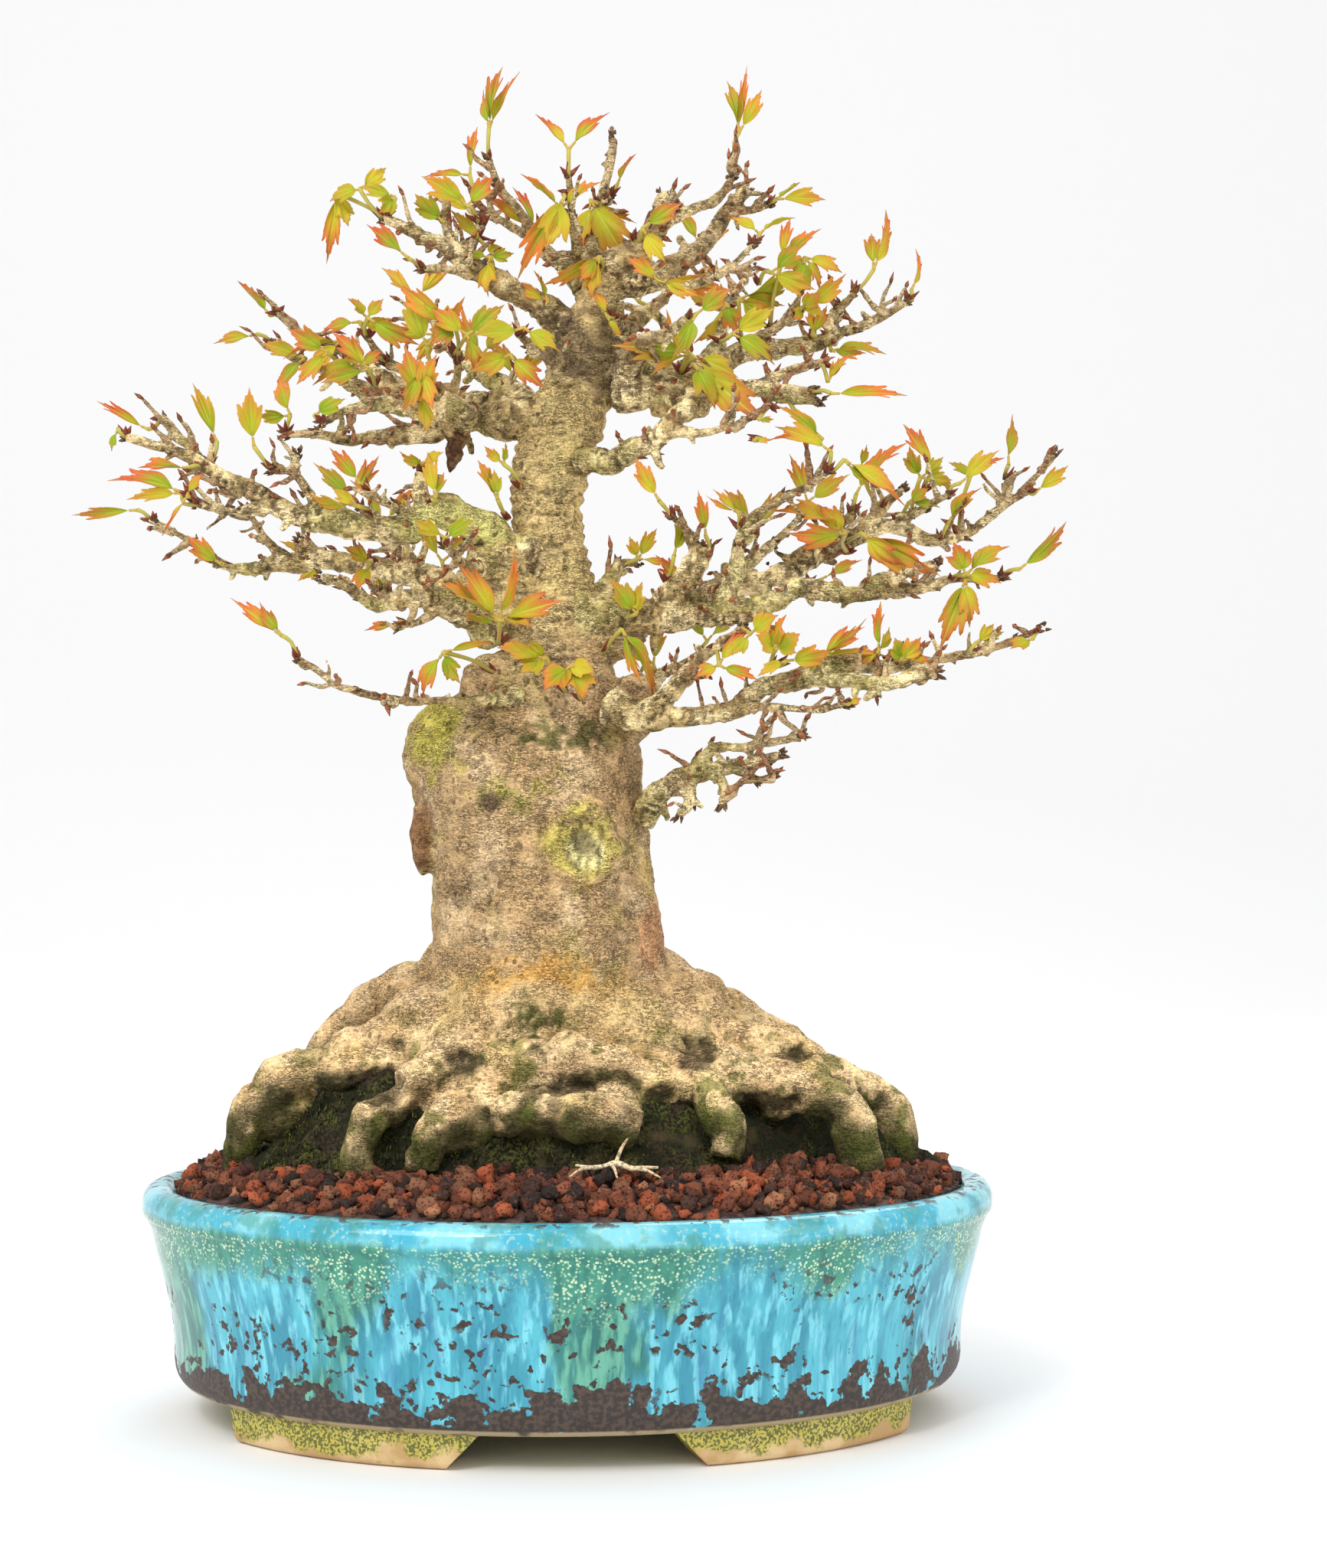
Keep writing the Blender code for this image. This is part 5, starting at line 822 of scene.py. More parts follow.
def moss_material():
    """Dark damp moss and fine earth, with yellow-green tips and brown fibre."""
    material, tree = new_material("moss")
    where = position(tree)
    fine = grain(tree, where, 1300.0, 4.0)
    broad = grain(tree, where, 160.0, 3.0)
    colour = mix(tree, ramp(tree, fine, 0.42, 0.62), (0.012, 0.012, 0.006), tint(tree))
    colour = over(tree, colour, broad, 0.52, 0.7, 0.5, (0.10, 0.075, 0.035))
    surface(tree, colour, 0.9, fine, 0.0007, 0.9, 0.2)
    return material


def fibre_material(name):
    """Matt plant fibre: the stored colour with fine dark and pale mottling."""
    material, tree = new_material(name)
    fine = grain(tree, position(tree), 1200.0, 4.0)
    dark = mix(tree, 0.7, tint(tree), (0.03, 0.02, 0.01))
    shade = mix(tree, ramp(tree, fine, 0.35, 0.55), dark, tint(tree))
    surface(tree, shade, 0.75, fine, 0.0003, 0.7, 0.25)
    return material


def earth_material():
    """Dark fine lava dust under the loose grains."""
    material, tree = new_material("soil_under")
    fine = grain(tree, position(tree), 420.0, 6.0)
    shade = mix(tree, ramp(tree, fine, 0.38, 0.64), (0.022, 0.013, 0.011), (0.12, 0.06, 0.045))
    surface(tree, shade, 0.95, fine, 0.0012, 0.9)
    return material


def plastic_material():
    """Black moulded plastic with a fine texture."""
    material, tree = new_material("drainage_plastic")
    fine = grain(tree, position(tree), 1500.0, 2.0)
    shade = mix(tree, fine, (0.010, 0.010, 0.010), (0.022, 0.022, 0.022))
    surface(tree, shade, 0.42, fine, 0.00008, 0.5)
    return material


MATERIALS = {}


def kept(name, maker):
    """The material of that name, made on first use."""
    if name not in MATERIALS:
        MATERIALS[name] = maker()
    return MATERIALS[name]


def dress(node, material):
    """Give a shown node of the frame its material in every slot."""
    if not node.material_slots:
        node.data.materials.append(material)
    for place_for in node.material_slots:
        place_for.material = material


# Heights on the pot between which its looks change, in metres
UPPER_WALL = (0.032, 0.049)
BAND_FOOT = (0.037, 0.048)
BAND_HEAD = (0.0505, 0.0525)
RIM = (0.0512, 0.0530)
LOWER_WALL = (0.012, 0.038)
FLECKED_WALL = (0.038, 0.050)
CLAY_EDGE = (0.0160, 0.0166)
WORN_LIP = (0.0558, 0.0568)
PALE_LINE = (0.0094, 0.0100)
FOOT_TOP = (0.0080, 0.0086)
FOOT_STAIN = (0.0022, 0.0042)


def glaze_streaks(tree, where, glaze, hair):
    """Deep and pale upright streaks, dark threads and violet runs in the glaze."""
    streak = grain(tree, stretched(tree, where, 1.0, 1.0, 0.06), 150.0, 6.0)
    thread = grain(tree, stretched(tree, where, 1.0, 1.0, 0.16), 1000.0, 3.0)
    violet = grain(tree, stretched(tree, where, 1.0, 1.0, 0.10), 230.0, 3.0)
    colour = mix(tree, ramp(tree, streak, 0.40, 0.60), (0.035, 0.27, 0.37), glaze)
    colour = over(tree, colour, hair, 0.48, 0.64, 0.75, (0.22, 0.70, 0.80))
    colour = over(tree, colour, thread, 0.54, 0.66, 0.3, (0.015, 0.13, 0.27))
    return over(tree, colour, violet, 0.57, 0.66, 0.3, (0.05, 0.16, 0.36))


def green_runs(tree, where, high, colour, hair):
    """Green glaze gathered above and on the left, and a green band with cream speckles below the rim."""
    cloud = grain(tree, stretched(tree, where, 1.0, 1.0, 0.45), 42.0, 5.0)
    leftward = add_node(tree, "SeparateXYZ", Vector=stretched(tree, where, -1.0, 1.0, 1.0)).outputs["X"]
    upper = sums(tree, "MULTIPLY_ADD", ramp(tree, high, *UPPER_WALL), 0.12, cloud)
    leaning = sums(tree, "MULTIPLY_ADD", ramp(tree, leftward, 0.01, 0.11), 0.08, upper)
    green = mix(tree, ramp(tree, hair, 0.42, 0.58), (0.015, 0.12, 0.07), (0.12, 0.36, 0.18))
    colour = over(tree, colour, leaning, 0.55, 0.66, 0.75, green)
    wavy = sums(tree, "MULTIPLY_ADD", sums(tree, "SUBTRACT", cloud, 0.5), 0.03, high)
    band = times(tree, ramp(tree, wavy, *BAND_FOOT), rest(tree, ramp(tree, high, *BAND_HEAD)))
    strength = sums(tree, "MULTIPLY_ADD", ramp(tree, hair, 0.4, 0.6), 0.4, 0.45)
    colour = mix(tree, times(tree, band, strength), colour, (0.03, 0.24, 0.17))
    dots = rest(tree, ramp(tree, cells(tree, where, 1150.0), 0.27, 0.48))
    thick = ramp(tree, grain(tree, where, 300.0, 4.0), 0.38, 0.54)
    speckle = times(tree, times(tree, dots, thick), band)
    return mix(tree, times(tree, speckle, 0.9), colour, (0.62, 0.80, 0.52))


def rim_glaze(tree, high, colour, patch, fine, jag):
    """The rim's thinner glaze: deep and pale blue, with cream and dark green marks."""
    rim = mix(tree, ramp(tree, patch, 0.42, 0.58), (0.05, 0.40, 0.55), (0.24, 0.66, 0.76))
    rim = over(tree, rim, fine, 0.56, 0.64, 0.5, (0.55, 0.70, 0.50))
    rim = over(tree, rim, jag, 0.52, 0.62, 0.6, (0.05, 0.25, 0.20))
    return over(tree, colour, high, *RIM, 0.85, rim)


def bare_spots(tree, where, high, patch, jag):
    """Shares of the flecks' dark edges, and of bare clay: in the flecks, above the foot and on the lip."""
    low = rest(tree, ramp(tree, high, *LOWER_WALL))
    near = sums(tree, "MULTIPLY_ADD", low, 0.10, patch)
    spot = grain(tree, where, 360.0, 3.0, 0.2)
    below = times(tree, ramp(tree, near, 0.49, 0.54), rest(tree, ramp(tree, high, *FLECKED_WALL)))
    fleck = times(tree, ramp(tree, spot, 0.585, 0.60), below)
    edge = times(tree, ramp(tree, spot, 0.565, 0.585), below)
    ragged = sums(tree, "MULTIPLY_ADD", sums(tree, "SUBTRACT", jag, 0.5), 0.038, high)
    bare = sums(tree, "MAXIMUM", rest(tree, ramp(tree, ragged, *CLAY_EDGE)), fleck)
    worn = times(tree, ramp(tree, high, *WORN_LIP), ramp(tree, spot, 0.56, 0.60))
    return edge, sums(tree, "MAXIMUM", bare, times(tree, worn, 0.9))


def foot_ochre(tree, where, high, patch, jag):
    """The feet's unglazed ochre clay, stained yellow-green and spotted dark away from the ground."""
    ochre = mix(tree, ramp(tree, patch, 0.42, 0.58), (0.52, 0.32, 0.13), (0.72, 0.52, 0.27))
    ragged = sums(tree, "MULTIPLY_ADD", sums(tree, "SUBTRACT", jag, 0.5), 0.016, high)
    stain = ramp(tree, ragged, *FOOT_STAIN)
    ochre = mix(tree, times(tree, stain, 0.8), ochre, (0.52, 0.47, 0.055))
    spotted = times(tree, stain, ramp(tree, grain(tree, where, 1500.0, 5.0), 0.47, 0.53))
    return mix(tree, times(tree, spotted, 0.85), ochre, (0.06, 0.075, 0.02))


def pot_glaze_material(glaze):
    """Glossy sky-blue glaze with streaks, green runs and speckles, over bare dark clay and ochre feet."""
    material, tree = new_material("turquoise_glaze")
    where = position(tree)
    high = add_node(tree, "SeparateXYZ", Vector=where).outputs["Z"]
    hair = grain(tree, stretched(tree, where, 1.0, 1.0, 0.13), 460.0, 4.0)
    patch = grain(tree, where, 58.0, 4.0)
    fine = grain(tree, where, 900.0, 3.0)
    jag = grain(tree, where, 135.0, 7.0)
    colour = glaze_streaks(tree, where, glaze, hair)
    colour = green_runs(tree, where, high, colour, hair)
    colour = rim_glaze(tree, high, colour, patch, fine, jag)
    edge, bare = bare_spots(tree, where, high, patch, jag)
    colour = mix(tree, times(tree, edge, 0.55), colour, (0.01, 0.08, 0.10))
    clay = mix(tree, ramp(tree, fine, 0.42, 0.62), (0.030, 0.020, 0.016), (0.080, 0.050, 0.036))
    colour = mix(tree, bare, colour, clay)
    line = times(tree, rest(tree, ramp(tree, high, *PALE_LINE)), ramp(tree, jag, 0.36, 0.50))
    colour = mix(tree, times(tree, line, 0.8), colour, (0.50, 0.38, 0.22))
    foot = rest(tree, ramp(tree, high, *FOOT_TOP))
    colour = mix(tree, foot, colour, foot_ochre(tree, where, high, patch, jag))
    inner = rest(tree, add_node(tree, "Attribute", {"attribute_name": "glazed"}).outputs["Fac"])
    colour = mix(tree, inner, colour, (0.20, 0.11, 0.065))
    matt = sums(tree, "MAXIMUM", sums(tree, "MAXIMUM", bare, foot), inner)
    relief = sums(tree, "MULTIPLY_ADD", matt, times(tree, fine, 0.5),
                  sums(tree, "MULTIPLY_ADD", patch, 0.5, times(tree, hair, 0.15)))
    relief = sums(tree, "SUBTRACT", relief, times(tree, bare, 0.45))
    surface(tree, colour, sums(tree, "MULTIPLY_ADD", matt, 0.42, 0.08), relief, 0.0006, 0.6)
    return material


# ---------------------------------------------------------------- wood

def remeshed(shape, voxel):
    """The shape's outer skin on an even voxel grid: its points and its four- and three-sided faces."""
    form = loose_object("rough_form", shape)
    mesh = form.data
    step = form.modifiers.new("Remesh", "REMESH")
    step.mode = "VOXEL"
    step.voxel_size = voxel
    skin = bpy.data.meshes.new_from_object(form.evaluated_get(bpy.context.evaluated_depsgraph_get()))
    bpy.data.objects.remove(form, do_unlink=True)
    bpy.data.meshes.remove(mesh)
    points = read(skin.vertices, "co", 3)
    corners = read(skin.loops, "vertex_index", kind=np.int32)
    sizes = read(skin.polygons, "loop_total", kind=np.int32)
    starts = read(skin.polygons, "loop_start", kind=np.int32)
    bpy.data.meshes.remove(skin)
    quads = corners[starts[sizes == 4][:, None] + np.arange(4)]
    tris = corners[starts[sizes == 3][:, None] + np.arange(3)]
    return points.reshape(-1, 3), quads, tris


def point_normals(points, quads, tris):
    """Unit normals: each point takes the sum of its faces' area vectors."""
    total = np.zeros_like(points)
    for faces in (quads, tris):
        if len(faces) == 0:
            continue
        square = np.cross(points[faces[:, 2]] - points[faces[:, 0]],
                          points[faces[:, -1]] - points[faces[:, 1]])
        for corner in faces.T:
            for axis in range(3):
                total[:, axis] += np.bincount(corner, square[:, axis], len(points))
    return total / np.maximum(np.linalg.norm(total, axis=1, keepdims=True), 1e-12)


def relaxed(points, quads, rounds):
    """Even out the surface: each round moves points to their neighbours' mean, then part way back."""
    ends = np.concatenate([quads[:, [k, (k + 1) % 4]] for k in range(4)])
    count = np.maximum(np.bincount(ends[:, 0], minlength=len(points)), 1)[:, None]
    for step in [0.55, -0.50] * rounds:
        mean = np.stack([np.bincount(ends[:, 0], points[ends[:, 1], axis], len(points))
                         for axis in range(3)], axis=1) / count
        points = points + (mean - points) * step
    return points


def nearest(points, marks):
    """For each point the index of the nearest mark, in blocks of rows."""
    found = []
    square = (marks ** 2).sum(axis=1)
    for start in range(0, len(points), 4000):
        block = points[start:start + 4000]
        found.append(np.argmin(square[None] - 2.0 * block @ marks.T, axis=1))
    return np.concatenate(found)


def trunk_form():
    """The trunk as an oval profile up its height, its swellings as spindles, and its roots as tubes."""
    rows = np.array(TRUNK, float)
    heights = np.concatenate([np.arange(rows[0, 1], rows[-1, 1], TRUNK_RING_STEP), rows[-1:, 1]])
    dense = np.stack([np.interp(heights, rows[:, 1], rows[:, k]) for k in range(5)], axis=1)
    turn, level = np.meshgrid(2.0 * math.pi * np.arange(TRUNK_SIDES) / TRUNK_SIDES, heights)
    wave = 1.0 + 0.03 * np.sin(3 * turn + level * 0.05) + 0.03 * np.sin(5 * turn - level * 0.04)
    middle = place(np.stack([dense[:, 0], heights, dense[:, 2]], axis=1))
    points = np.repeat(middle[:, None], TRUNK_SIDES, axis=1)
    points[:, :, 0] += dense[:, 3:4] * np.cos(turn) * wave * MM
    points[:, :, 1] += dense[:, 4:5] * np.sin(turn) * wave * MM
    shapes = [capped(points.reshape(-1, 3), len(heights), TRUNK_SIDES)]
    climb = np.linspace(-0.5 * math.pi + 0.05, 0.5 * math.pi - 0.05, SWELLING_RINGS)
    around = 2.0 * math.pi * np.arange(SWELLING_SIDES) / SWELLING_SIDES
    lift, turn = np.meshgrid(climb, around, indexing="ij")
    for x, z, depth, wide, tall, deep in SWELLINGS:
        offset = np.stack([wide * np.cos(lift) * np.cos(turn), deep * np.cos(lift) * np.sin(turn),
                           tall * np.sin(lift)], axis=-1)
        ball = place([(x, z, depth)])[0] + offset.reshape(-1, 3) * MM
        shapes.append(capped(ball, SWELLING_RINGS, SWELLING_SIDES))
    for number, root in enumerate(ROOTS):
        root = np.array(root, float)
        path, radii = smooth_path(place(root[:, :3]), root[:, 3] * MM, ROOT_STEP)
        shapes.append(tube(wandering(path, radii, number + 40, 0.26), lumpy(path, radii, number, 0.10), 24))
    return gather(shapes)


def wandering(path, radii, seed, amount):
    """The path shifted by smooth noise along its length, a share of its radius, still at both ends."""
    along = distance_along(path)
    lift = np.stack([rough(np.stack([along * 90.0, along * 0 + axis * 9.0, along * 0], axis=1), 2, seed)
                     for axis in range(3)], axis=1)
    fade = smooth(0.0, 0.25, along / along[-1]) * (1.0 - smooth(0.85, 1.0, along / along[-1]))
    return path + lift * fade[:, None] * np.asarray(radii)[:, None] * amount


def lumpy(path, radii, seed, amount):
    """Radii with swollen nodes and noise along the path."""
    along = distance_along(path)
    lump = rough(np.stack([along * 260.0, along * 0, along * 0], axis=1), 2, seed)
    return np.asarray(radii) * (1.0 + amount * lump)


def branch_path(branch):
    """A branch's centre line and its radii."""
    branch = np.array(branch, float)
    return smooth_path(place(branch[:, :3]), branch[:, 3] * MM, BRANCH_STEP)


def spur(path, wide, rng):
    """A short stub that leaves the branch at a random place and turn."""
    at = int(rng.uniform(0.18, 0.97) * (len(path) - 1))
    turn = rng.normal(size=3)
    lead = unit(path[min(at + 2, len(path) - 1)] - path[max(at - 2, 0)])
    turn -= lead * turn.dot(lead) * 0.6
    turn = unit(turn)
    reach = wide[at] + 0.0008 + 0.0055 * rng.uniform(0.0, 1.0) ** 2
    thick = min(wide[at] * 0.55, rng.uniform(0.0007, 0.0013))
    tip = path[at] + turn * reach + lead * rng.uniform(0, 0.0012)
    line, girth = smooth_path([path[at], path[at] + turn * reach * 0.7, tip],
                              [thick * 1.3, thick, thick * 0.75], SPUR_STEP)
    return tube(line, girth, 8)


def branch_forms(names):
    """Tubes with nodes and spurs along each branch, wider at the base; also marks along their centre lines.

    Each mark is a point, how far along its branch it lies, the radius there and a number of its branch.
    """
    shapes = []
    marks = []
    for name in names:
        path, radii = branch_path(BRANCHES[name])
        seed = sum(ord(letter) for letter in name)
        along = distance_along(path)
        wide = lumpy(path, np.maximum(radii * 0.86, 0.0008), seed, 0.12)
        wide = wide * (1.0 + 0.30 * np.exp(-along / (2.0 * radii[0])))
        path = wandering(path, radii, seed, 0.42)
        shapes.append(tube(path, wide, 14))
        marks.append(np.column_stack([path, along, radii, np.full(len(path), seed % 97)]))
        rng = np.random.default_rng(seed)
        for _ in range(max(2, int(along[-1] / SPUR_SPACING))):
            shapes.append(spur(path, wide, rng))
    return gather(shapes), np.concatenate(marks)


BARK = (0.55, 0.36, 0.175)
PALE = (0.76, 0.55, 0.31)
CREAM_AND_HIGHLIGHT = (1.0, 0.72, 0.38)
DARK = (0.055, 0.038, 0.022)
RUSSET = (0.21, 0.085, 0.04)
ALGAE = (0.50, 0.45, 0.07)
OCHRE = (0.66, 0.34, 0.07)

# Stains on the trunk's front: colour, share, x, height, half width, half height, and for those that noise
# breaks up its size, its seed and where it runs from none to full
ALGAE_STAINS = [
    (ALGAE, 0.8, -35, 172, 8, 14),
    ((0.16, 0.17, 0.03), 0.75, -17, 152, 9, 5, 2.6, 88, -0.1, 0.3),
    (ALGAE, 0.5, -14, 158, 20, 6, 3.0, 89, -0.1, 0.4),
]
FRONT_STAINS = [
    ((0.80, 0.55, 0.27), 0.5, 0, 98, 32, 10),
    (RUSSET, 0.8, -39, 144, 4.5, 11),
    ((0.52, 0.25, 0.12), 0.7, 21, 118, 5, 10),
    ((0.07, 0.08, 0.015), 0.85, -2, 169, 15, 6, 2.6, 96, -0.2, 0.15),
    ((0.06, 0.08, 0.015), 0.9, -10, 95, 10, 8, 2.4, 98, -0.3, 0.1),
    (DARK, 0.8, -21, 152, 3.0, 2.6),
    ((0.60, 0.50, 0.11), 0.9, 2, 141, 11, 11),
]


def near_spot(points, x, z, half_x, half_z, front=True):
    """A soft patch about a spot of the front elevation, only on the side the eye sees if front."""
    spread = 1.0 + points[:, 1] / MM / EYE_DISTANCE
    across = points[:, 0] / MM / spread
    height = EYE_HEIGHT + (points[:, 2] / MM - EYE_HEIGHT) / spread
    away = np.hypot((across - x) / half_x, (height - z) / half_z)
    share = 1.0 - smooth(0.5, 1.1, away + 0.35 * rough(points * 300.0, 2, 5))
    if front:
        share = share * (points[:, 1] < 0.0)
    return share


def mossy_hollows(points):
    """The dark hollows between the front roots, as a share from none to full."""
    share = np.zeros(len(points))
    for x, z, half_x, half_z in HOLLOWS:
        share = np.maximum(share, near_spot(points, x, z, half_x, half_z))
    return share


def wound_ring(mm):
    """Uneven distance in mm from the middle of the healed wound on the trunk's front."""
    return np.hypot(mm[:, 0] - 2.0, (mm[:, 2] - 141.0) / 1.15) + 1.6 * rough(mm / 5.0, 2, 99)


def bark_relief(points):
    """Height of the trunk's bark in mm: lumps, upright cracks, root grooves, ringed scars and collars."""
    mm = points / MM
    height = 0.55 * rough(mm / 10.0, 2, 11) + 0.26 * rough(mm / 3.0, 2, 21)
    up = rough(mm / np.array([3.4, 3.4, 17.0]), 3, 31)
    height -= 0.75 * (1.0 - smooth(0.0, 0.13, np.abs(up))) * smooth(-0.1, 0.5, rough(mm / 22.0, 1, 41))
    level = rough(mm / np.array([7.0, 7.0, 1.9]), 2, 45)
    height += 0.22 * level * smooth(105.0, 120.0, mm[:, 2])
    low = 1.0 - smooth(78.0, 112.0, mm[:, 2])
    lengthwise = rough(np.stack([np.arctan2(mm[:, 1] + 2, mm[:, 0] + 6) * 9.0,
                                 np.hypot(mm[:, 0] + 6, mm[:, 1]) / 17.0, mm[:, 2] / 26.0], axis=1), 2, 51)
    height += low * 0.7 * lengthwise - low * 0.6 * (1.0 - smooth(0.0, 0.12, np.abs(lengthwise)))
    height -= 1.7 * mossy_hollows(points)
    turn = rough(mm / 6.0, 2, 61)
    collar = smooth(180.0, 190.0, mm[:, 2])
    height += collar * 0.45 * np.sin(2 * math.pi * mm[:, 2] / 3.3 + 2.6 * turn)
    ring = wound_ring(mm)
    wound = (1.0 - smooth(8.5, 11.5, ring)) * (mm[:, 1] < -10.0)
    height += wound * (1.5 * np.exp(-((ring - 7.4) / 1.7) ** 2) - 1.2 * (1.0 - smooth(2.0, 5.0, ring)))
    height += wound * 0.35 * np.sin(2 * math.pi * ring / 2.3 + 1.8 * turn)
    return height


def stained(colour, points, stains):
    """The colour with each stain laid over it in turn, some of them broken up by noise."""
    for shade, share, x, z, half_x, half_z, *broken in stains:
        spot = share * near_spot(points, x, z, half_x, half_z)
        if broken:
            size, seed, low, high = broken
            spot = spot * smooth(low, high, rough(points / MM / size, 2, seed))
        colour = blend(colour, shade, spot)
    return colour


def collar_colour(colour, mm, lump):
    """The trunk above its waist: yellower, with broken dark rings."""
    top = smooth(184.0, 200.0, mm[:, 2] + 8.0 * lump)
    colour = blend(colour, (0.80, 0.62, 0.26), 0.6 * top)
    rings = np.sin(2 * math.pi * mm[:, 2] / 2.9 + 3.4 * rough(mm / 6.0, 2, 61))
    broken = smooth(-0.2, 0.2, rough(mm / 4.0, 2, 62))
    return blend(colour, DARK, 0.65 * top * smooth(0.7, 0.95, rings) * broken)


def wound_colour(colour, points, mm):
    """The healed wound: a pale heart with upright splits, and ring cracks round it."""
    ring = wound_ring(mm)
    cut = np.exp(-((ring - 5.2) / 0.7) ** 2) + 0.8 * np.exp(-((ring - 10.2) / 0.6) ** 2)
    cut = cut * smooth(-0.4, 0.1, rough(mm / 4.0, 1, 100)) * (mm[:, 1] < -12.0)
    colour = blend(colour, (0.92, 0.80, 0.36), 0.95 * near_spot(points, 3, 140, 5.5, 6.5))
    lines = np.sin(mm[:, 0] * 2.3 + 1.5 * rough(mm / 3.0, 2, 94))
    split = near_spot(points, 3, 140, 5, 6) * smooth(0.72, 0.95, lines)
    return blend(colour, (0.06, 0.045, 0.02), 0.8 * np.clip(cut + split, 0, 1))


def root_colour(colour, points, mm, root, upward):
    """The roots' stains and painted shade: damp and painted shade under them, moss on them and in their
    hollows, and earth at their feet.
    """
    # Damp and painted shade: the roots darkened on their downward faces and low down
    damp_and_painted_shade = root * (1.0 - 0.9 * upward) * smooth(-0.4, 0.15, rough(mm / 6.0, 3, 95) + (82.0 - mm[:, 2]) / 20.0)
    colour = blend(colour, (0.045, 0.05, 0.014), 0.92 * damp_and_painted_shade)
    creep = root * smooth(0.2, 0.42, rough(mm / 5.5, 3, 97))
    colour = blend(colour, (0.13, 0.15, 0.025), 0.75 * creep)
    grit = smooth(-0.35, 0.05, rough(mm / 2.2, 2, 93))
    colour = blend(colour, (0.055, 0.065, 0.013), 0.9 * mossy_hollows(points) * grit)
    # Green-black low on the roots near the soil, weaker on their upward faces: partly a stain, partly painted
    # shade
    stain = (1.0 - smooth(66.0, 82.0, mm[:, 2])) * smooth(-0.25, 0.15, rough(mm / 5.0, 3, 92))
    colour = blend(colour, (0.07, 0.08, 0.016), 0.85 * stain * (1.0 - 0.35 * upward))
    soil = 1.0 - smooth(60.0, 68.0, mm[:, 2] + 3.0 * rough(mm / 5.0, 2, 91))
    return blend(colour, (0.05, 0.04, 0.02), 0.8 * soil)


def bark_colour(points, normals, height, bark):
    """Trunk colour: grey-beige with pale ridges, dark cracks, the stains of its own front, and painted
    highlight and shade.
    """
    mm = points / MM
    lump = rough(mm / 7.0, 3, 71)
    colour = blend(bark, PALE, 0.75 * smooth(-0.1, 0.6, lump))
    # Painted shade: the trunk's left side above the flare is darkened
    left = smooth(-12.0, -34.0, mm[:, 0]) * smooth(112.0, 130.0, mm[:, 2])
    colour = blend(colour, (0.30, 0.22, 0.12), 0.3 * left)
    level = smooth(0.15, 0.5, rough(mm / [4.6, 4.6, 1.5], 3, 81))
    colour = blend(colour, (0.24, 0.17, 0.09), 0.5 * level)
    root = 1.0 - smooth(84.0, 108.0, mm[:, 2] + 6.0 * lump)
    upward = smooth(-0.15, 0.55, normals[:, 2] + 0.25 * lump)
    # Pale cream roots, with more cream on their upward faces as a painted highlight
    colour = blend(colour, CREAM_AND_HIGHLIGHT, 0.95 * root * (0.3 + 0.7 * upward))
    warm = smooth(0.0, 0.4, rough(mm / 9.0, 2, 85))
    colour = blend(colour, (0.70, 0.40, 0.17), 0.45 * root * upward * warm)
    colour = stained(colour, points, ALGAE_STAINS)
    colour = blend(colour, ALGAE, 0.22 * smooth(0.1, 0.5, rough(mm / 13.0, 2, 87)))
    arch = near_spot(points, -6, 104, 21, 9) * (1.0 - near_spot(points, -6, 100, 16, 7))
    colour = blend(colour, OCHRE, 0.75 * arch)
    colour = collar_colour(colour, mm, lump)
    # Painted shade where the branches leave the upper trunk, under the crown
    colour = blend(colour, (0.10, 0.06, 0.035), 0.7 * near_spot(points, 5, 266, 16, 14, False))
    colour = stained(colour, points, FRONT_STAINS)
    colour = wound_colour(colour, points, mm)
    colour = root_colour(colour, points, mm, root, upward)
    # Darker where the bark's relief is low: dark cracks, and painted shade in the grooves and hollows
    return blend(colour, DARK, 0.75 * smooth(0.35, 1.2, -height))


def make_trunk(material, voxel, bark):
    """Trunk, flare and surface roots: one skin over all their forms, then bark relief along its normals."""
    points, quads, tris = remeshed(trunk_form(), voxel)
    points = relaxed(points, quads, 7)
    normals = point_normals(points, quads, tris)
    height = bark_relief(points)
    points = points + normals * height[:, None] * MM
    colour = bark_colour(points, normals, height, bark)
    add_piece("trunk_and_roots", (points, quads, tris), material, ("tree_wood",), colour)


def branch_colour(points, mm, young, crack):
    """Branch colour: cream with dark and green marks, darker in the crown and with painted shade where the
    branches leave the upper trunk, browner where the wood is thin.
    """
    lump = rough(mm / 5.0, 3, 141)
    colour = blend((0.50, 0.365, 0.16), (0.98, 0.78, 0.42), smooth(-0.45, 0.35, lump))
    colour = blend(colour, (0.12, 0.075, 0.035), 0.75 * smooth(0.2, 0.42, rough(mm / 1.7, 2, 151)))
    colour = blend(colour, (0.44, 0.42, 0.12), 0.4 * smooth(0.1, 0.5, rough(mm / 12.0, 2, 161)))
    russet = smooth(262.0, 300.0, mm[:, 2]) * smooth(-0.2, 0.4, rough(mm / 9.0, 2, 165))
    colour = blend(colour, (0.30, 0.17, 0.085), 0.5 * russet)
    # Painted shade where the branches leave the upper trunk, under the crown
    colour = blend(colour, (0.10, 0.06, 0.035), 0.75 * near_spot(points, 3, 268, 15, 14, False))
    colour = blend(colour, (0.72, 0.68, 0.22), 0.75 * near_spot(points, -28, 224, 17, 8))
    twig = blend((0.36, 0.23, 0.11), (0.62, 0.47, 0.25), smooth(-0.3, 0.4, lump))
    colour = blend(colour, twig, 0.75 * young)
    return blend(colour, DARK, 0.75 * crack)


